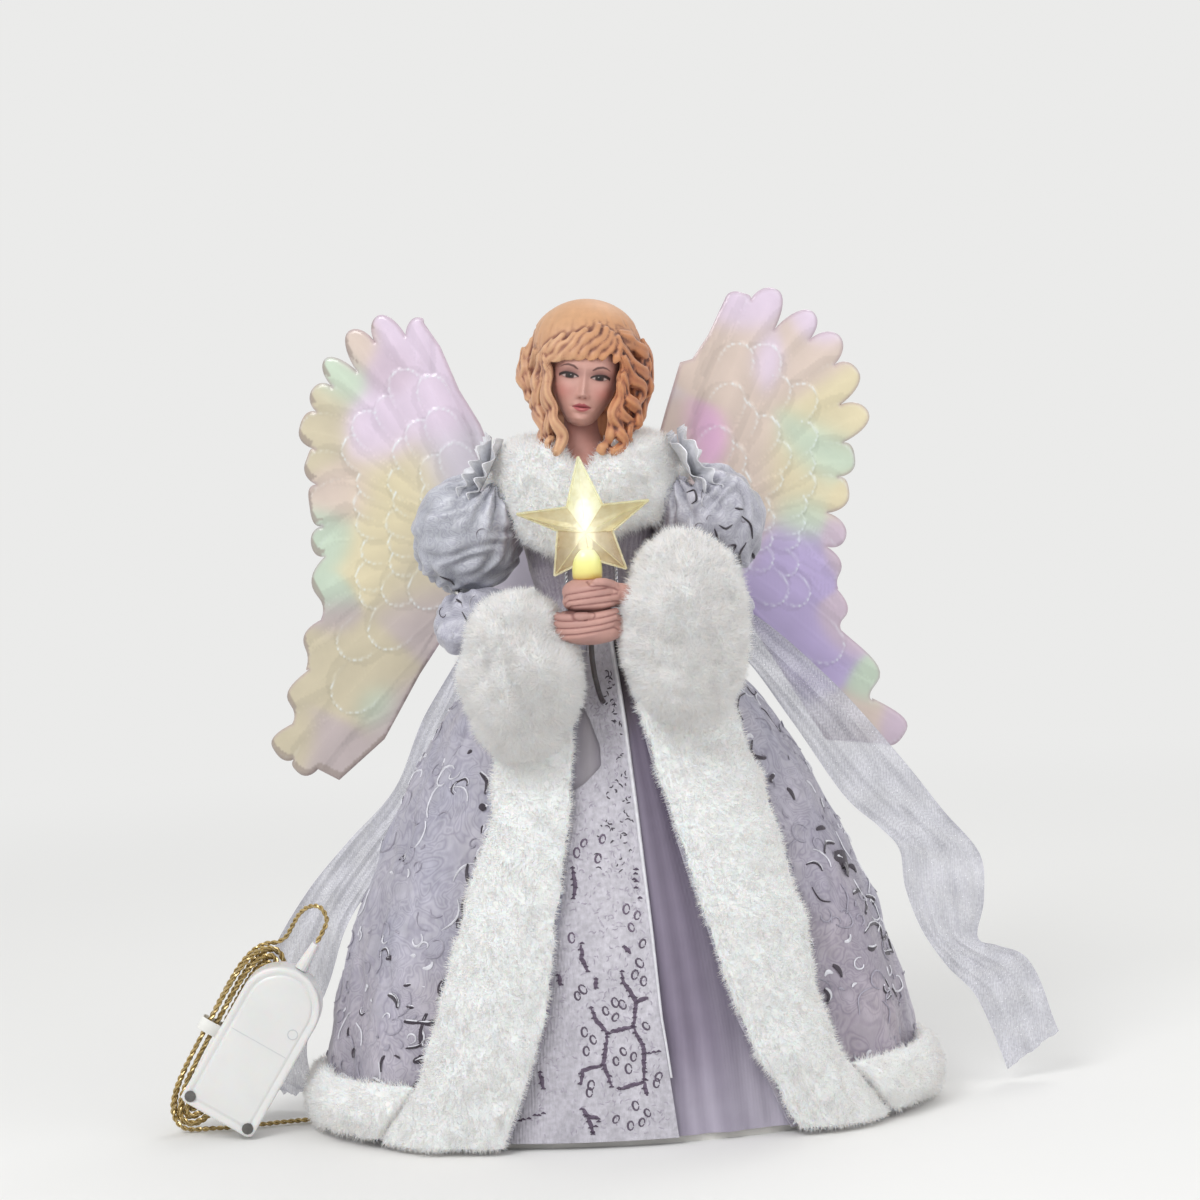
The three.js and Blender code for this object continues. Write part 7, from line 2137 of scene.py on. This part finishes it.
def rounded(y, radius):
    """A quarter turn from the side on to a face at y, which looks to the front."""
    return [(radius * (1 - math.sin(t)), y + radius * (1 - math.cos(t)))
            for t in np.linspace(0, math.pi / 2, 6)][::-1]


cover_rings = [(1.5, BOX_SPLIT - 0.5), (0.2, BOX_SPLIT - 0.15), (0.0, BOX_SPLIT - 0.3)]
cover_rings += rounded(BOX_FRONT, 0.8)
cover_rings += [(inset, BOX_FRONT + sunk) for inset, sunk in (
    (1.7, 0), (2.0, 0.3), (2.5, 0.35), (2.8, 0.05), (3.4, 0), (6, 0), (9, 0))]
cover = moulding("cover", cover_rings)
white_shell = finish("white_shell", (228, 228, 226), 0.3, Subsurface_Weight=0.25, Subsurface_Scale=0.002,
                     Coat_Weight=0.25, Coat_Roughness=0.2)
shade_colour(white_shell, (226, 226, 225), 60, 0.96, 1.02, 0.06, 0.0003)
MARK_Y, GATE, GATE_RADIUS = BOX_FRONT - 0.02, (7.6, 34.5), 1.5
ring = box_points([(GATE[0] + GATE_RADIUS * math.cos(t), MARK_Y, GATE[1] + GATE_RADIUS * math.sin(t))
                   for t in 2 * math.pi * np.arange(32) / 32])
seam = box_points([(x, MARK_Y, 27.2) for x in np.linspace(-9.4, 9.4, 9)])
marks = [tube(np.vstack([ring, ring[:2]]), 0.14, 6, closed=False), tube(seam, 0.1, 6)]
cover_marks = piece_from("cover_marks", *gather(marks))
put(cover, "box_lid", white_shell, body="battery_cover", instead_of=("box_cover",))
mark_plastic = shade_colour(finish("lid_marks", (206, 207, 209), 0.4), (204, 205, 208), 300, 0.95, 1.03)
put(cover_marks, "lid_marks", mark_plastic, body="battery_cover")

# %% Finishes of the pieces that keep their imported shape
def dress(names, material):
    for name in names:
        mesh = nodes[name].data
        if not mesh.materials:
            mesh.materials.append(material)
        for slot in range(len(mesh.materials)):
            mesh.materials[slot] = material


# Each row: pieces, the finish's name, its colour, roughness and other sockets, then the colour that the
# mottle breaks, and the mottle's scale, low, high and grain.
kept_shapes = [
    (("coin_cell_1", "coin_cell_2", "contact_plus", "contact_minus", "contact_bridge", "wing_pin_left",
      "wing_pin_right"),
     ("nickelled_steel", (176, 174, 170), 0.28), {"Metallic": 1.0}, ((178, 176, 172), 700, 0.85, 1.05, 0.1)),
    (("cover_screw_1", "cover_screw_2", "bracket_screw_upper", "bracket_screw_lower"),
     ("dark_nickel", (112, 110, 108), 0.32), {"Metallic": 1.0}, ((118, 116, 114), 700, 0.75, 1.1, 0.12)),
    (("bell_form",), ("white_card", (226, 224, 220), 0.85), {}, ((226, 224, 220), 150, 0.95, 1.03, 0.2)),
    (("torso",), ("doll_plastic", (216, 186, 172), 0.45),
     {"Subsurface_Weight": 0.15, "Subsurface_Scale": 0.002}, ((216, 186, 172), 120, 0.95, 1.03)),
    (("switch_body", "switch_knob"), ("black_plastic", (40, 40, 42), 0.5), {},
     ((44, 44, 46), 500, 0.8, 1.2, 0.15)),
    (("wing_bracket",), ("bracket_plastic", (224, 222, 228), 0.3), {"Coat_Weight": 0.4},
     ((224, 222, 228), 200, 0.96, 1.02)),
    (("arm_wire_left", "arm_wire_right"), ("bent_wire", (150, 148, 146), 0.35), {"Metallic": 0.9},
     ((152, 150, 148), 600, 0.8, 1.1)),
    (("lamp_lead",), ("dark_lead", (46, 38, 40), 0.4), {"Coat_Weight": 0.3}, ((48, 40, 42), 500, 0.8, 1.2))]
dress(["box_base", "strain_relief"], white_shell)
for names, look, sockets, mottling in kept_shapes:
    dress(names, shade_colour(finish(*look, **sockets), *mottling))
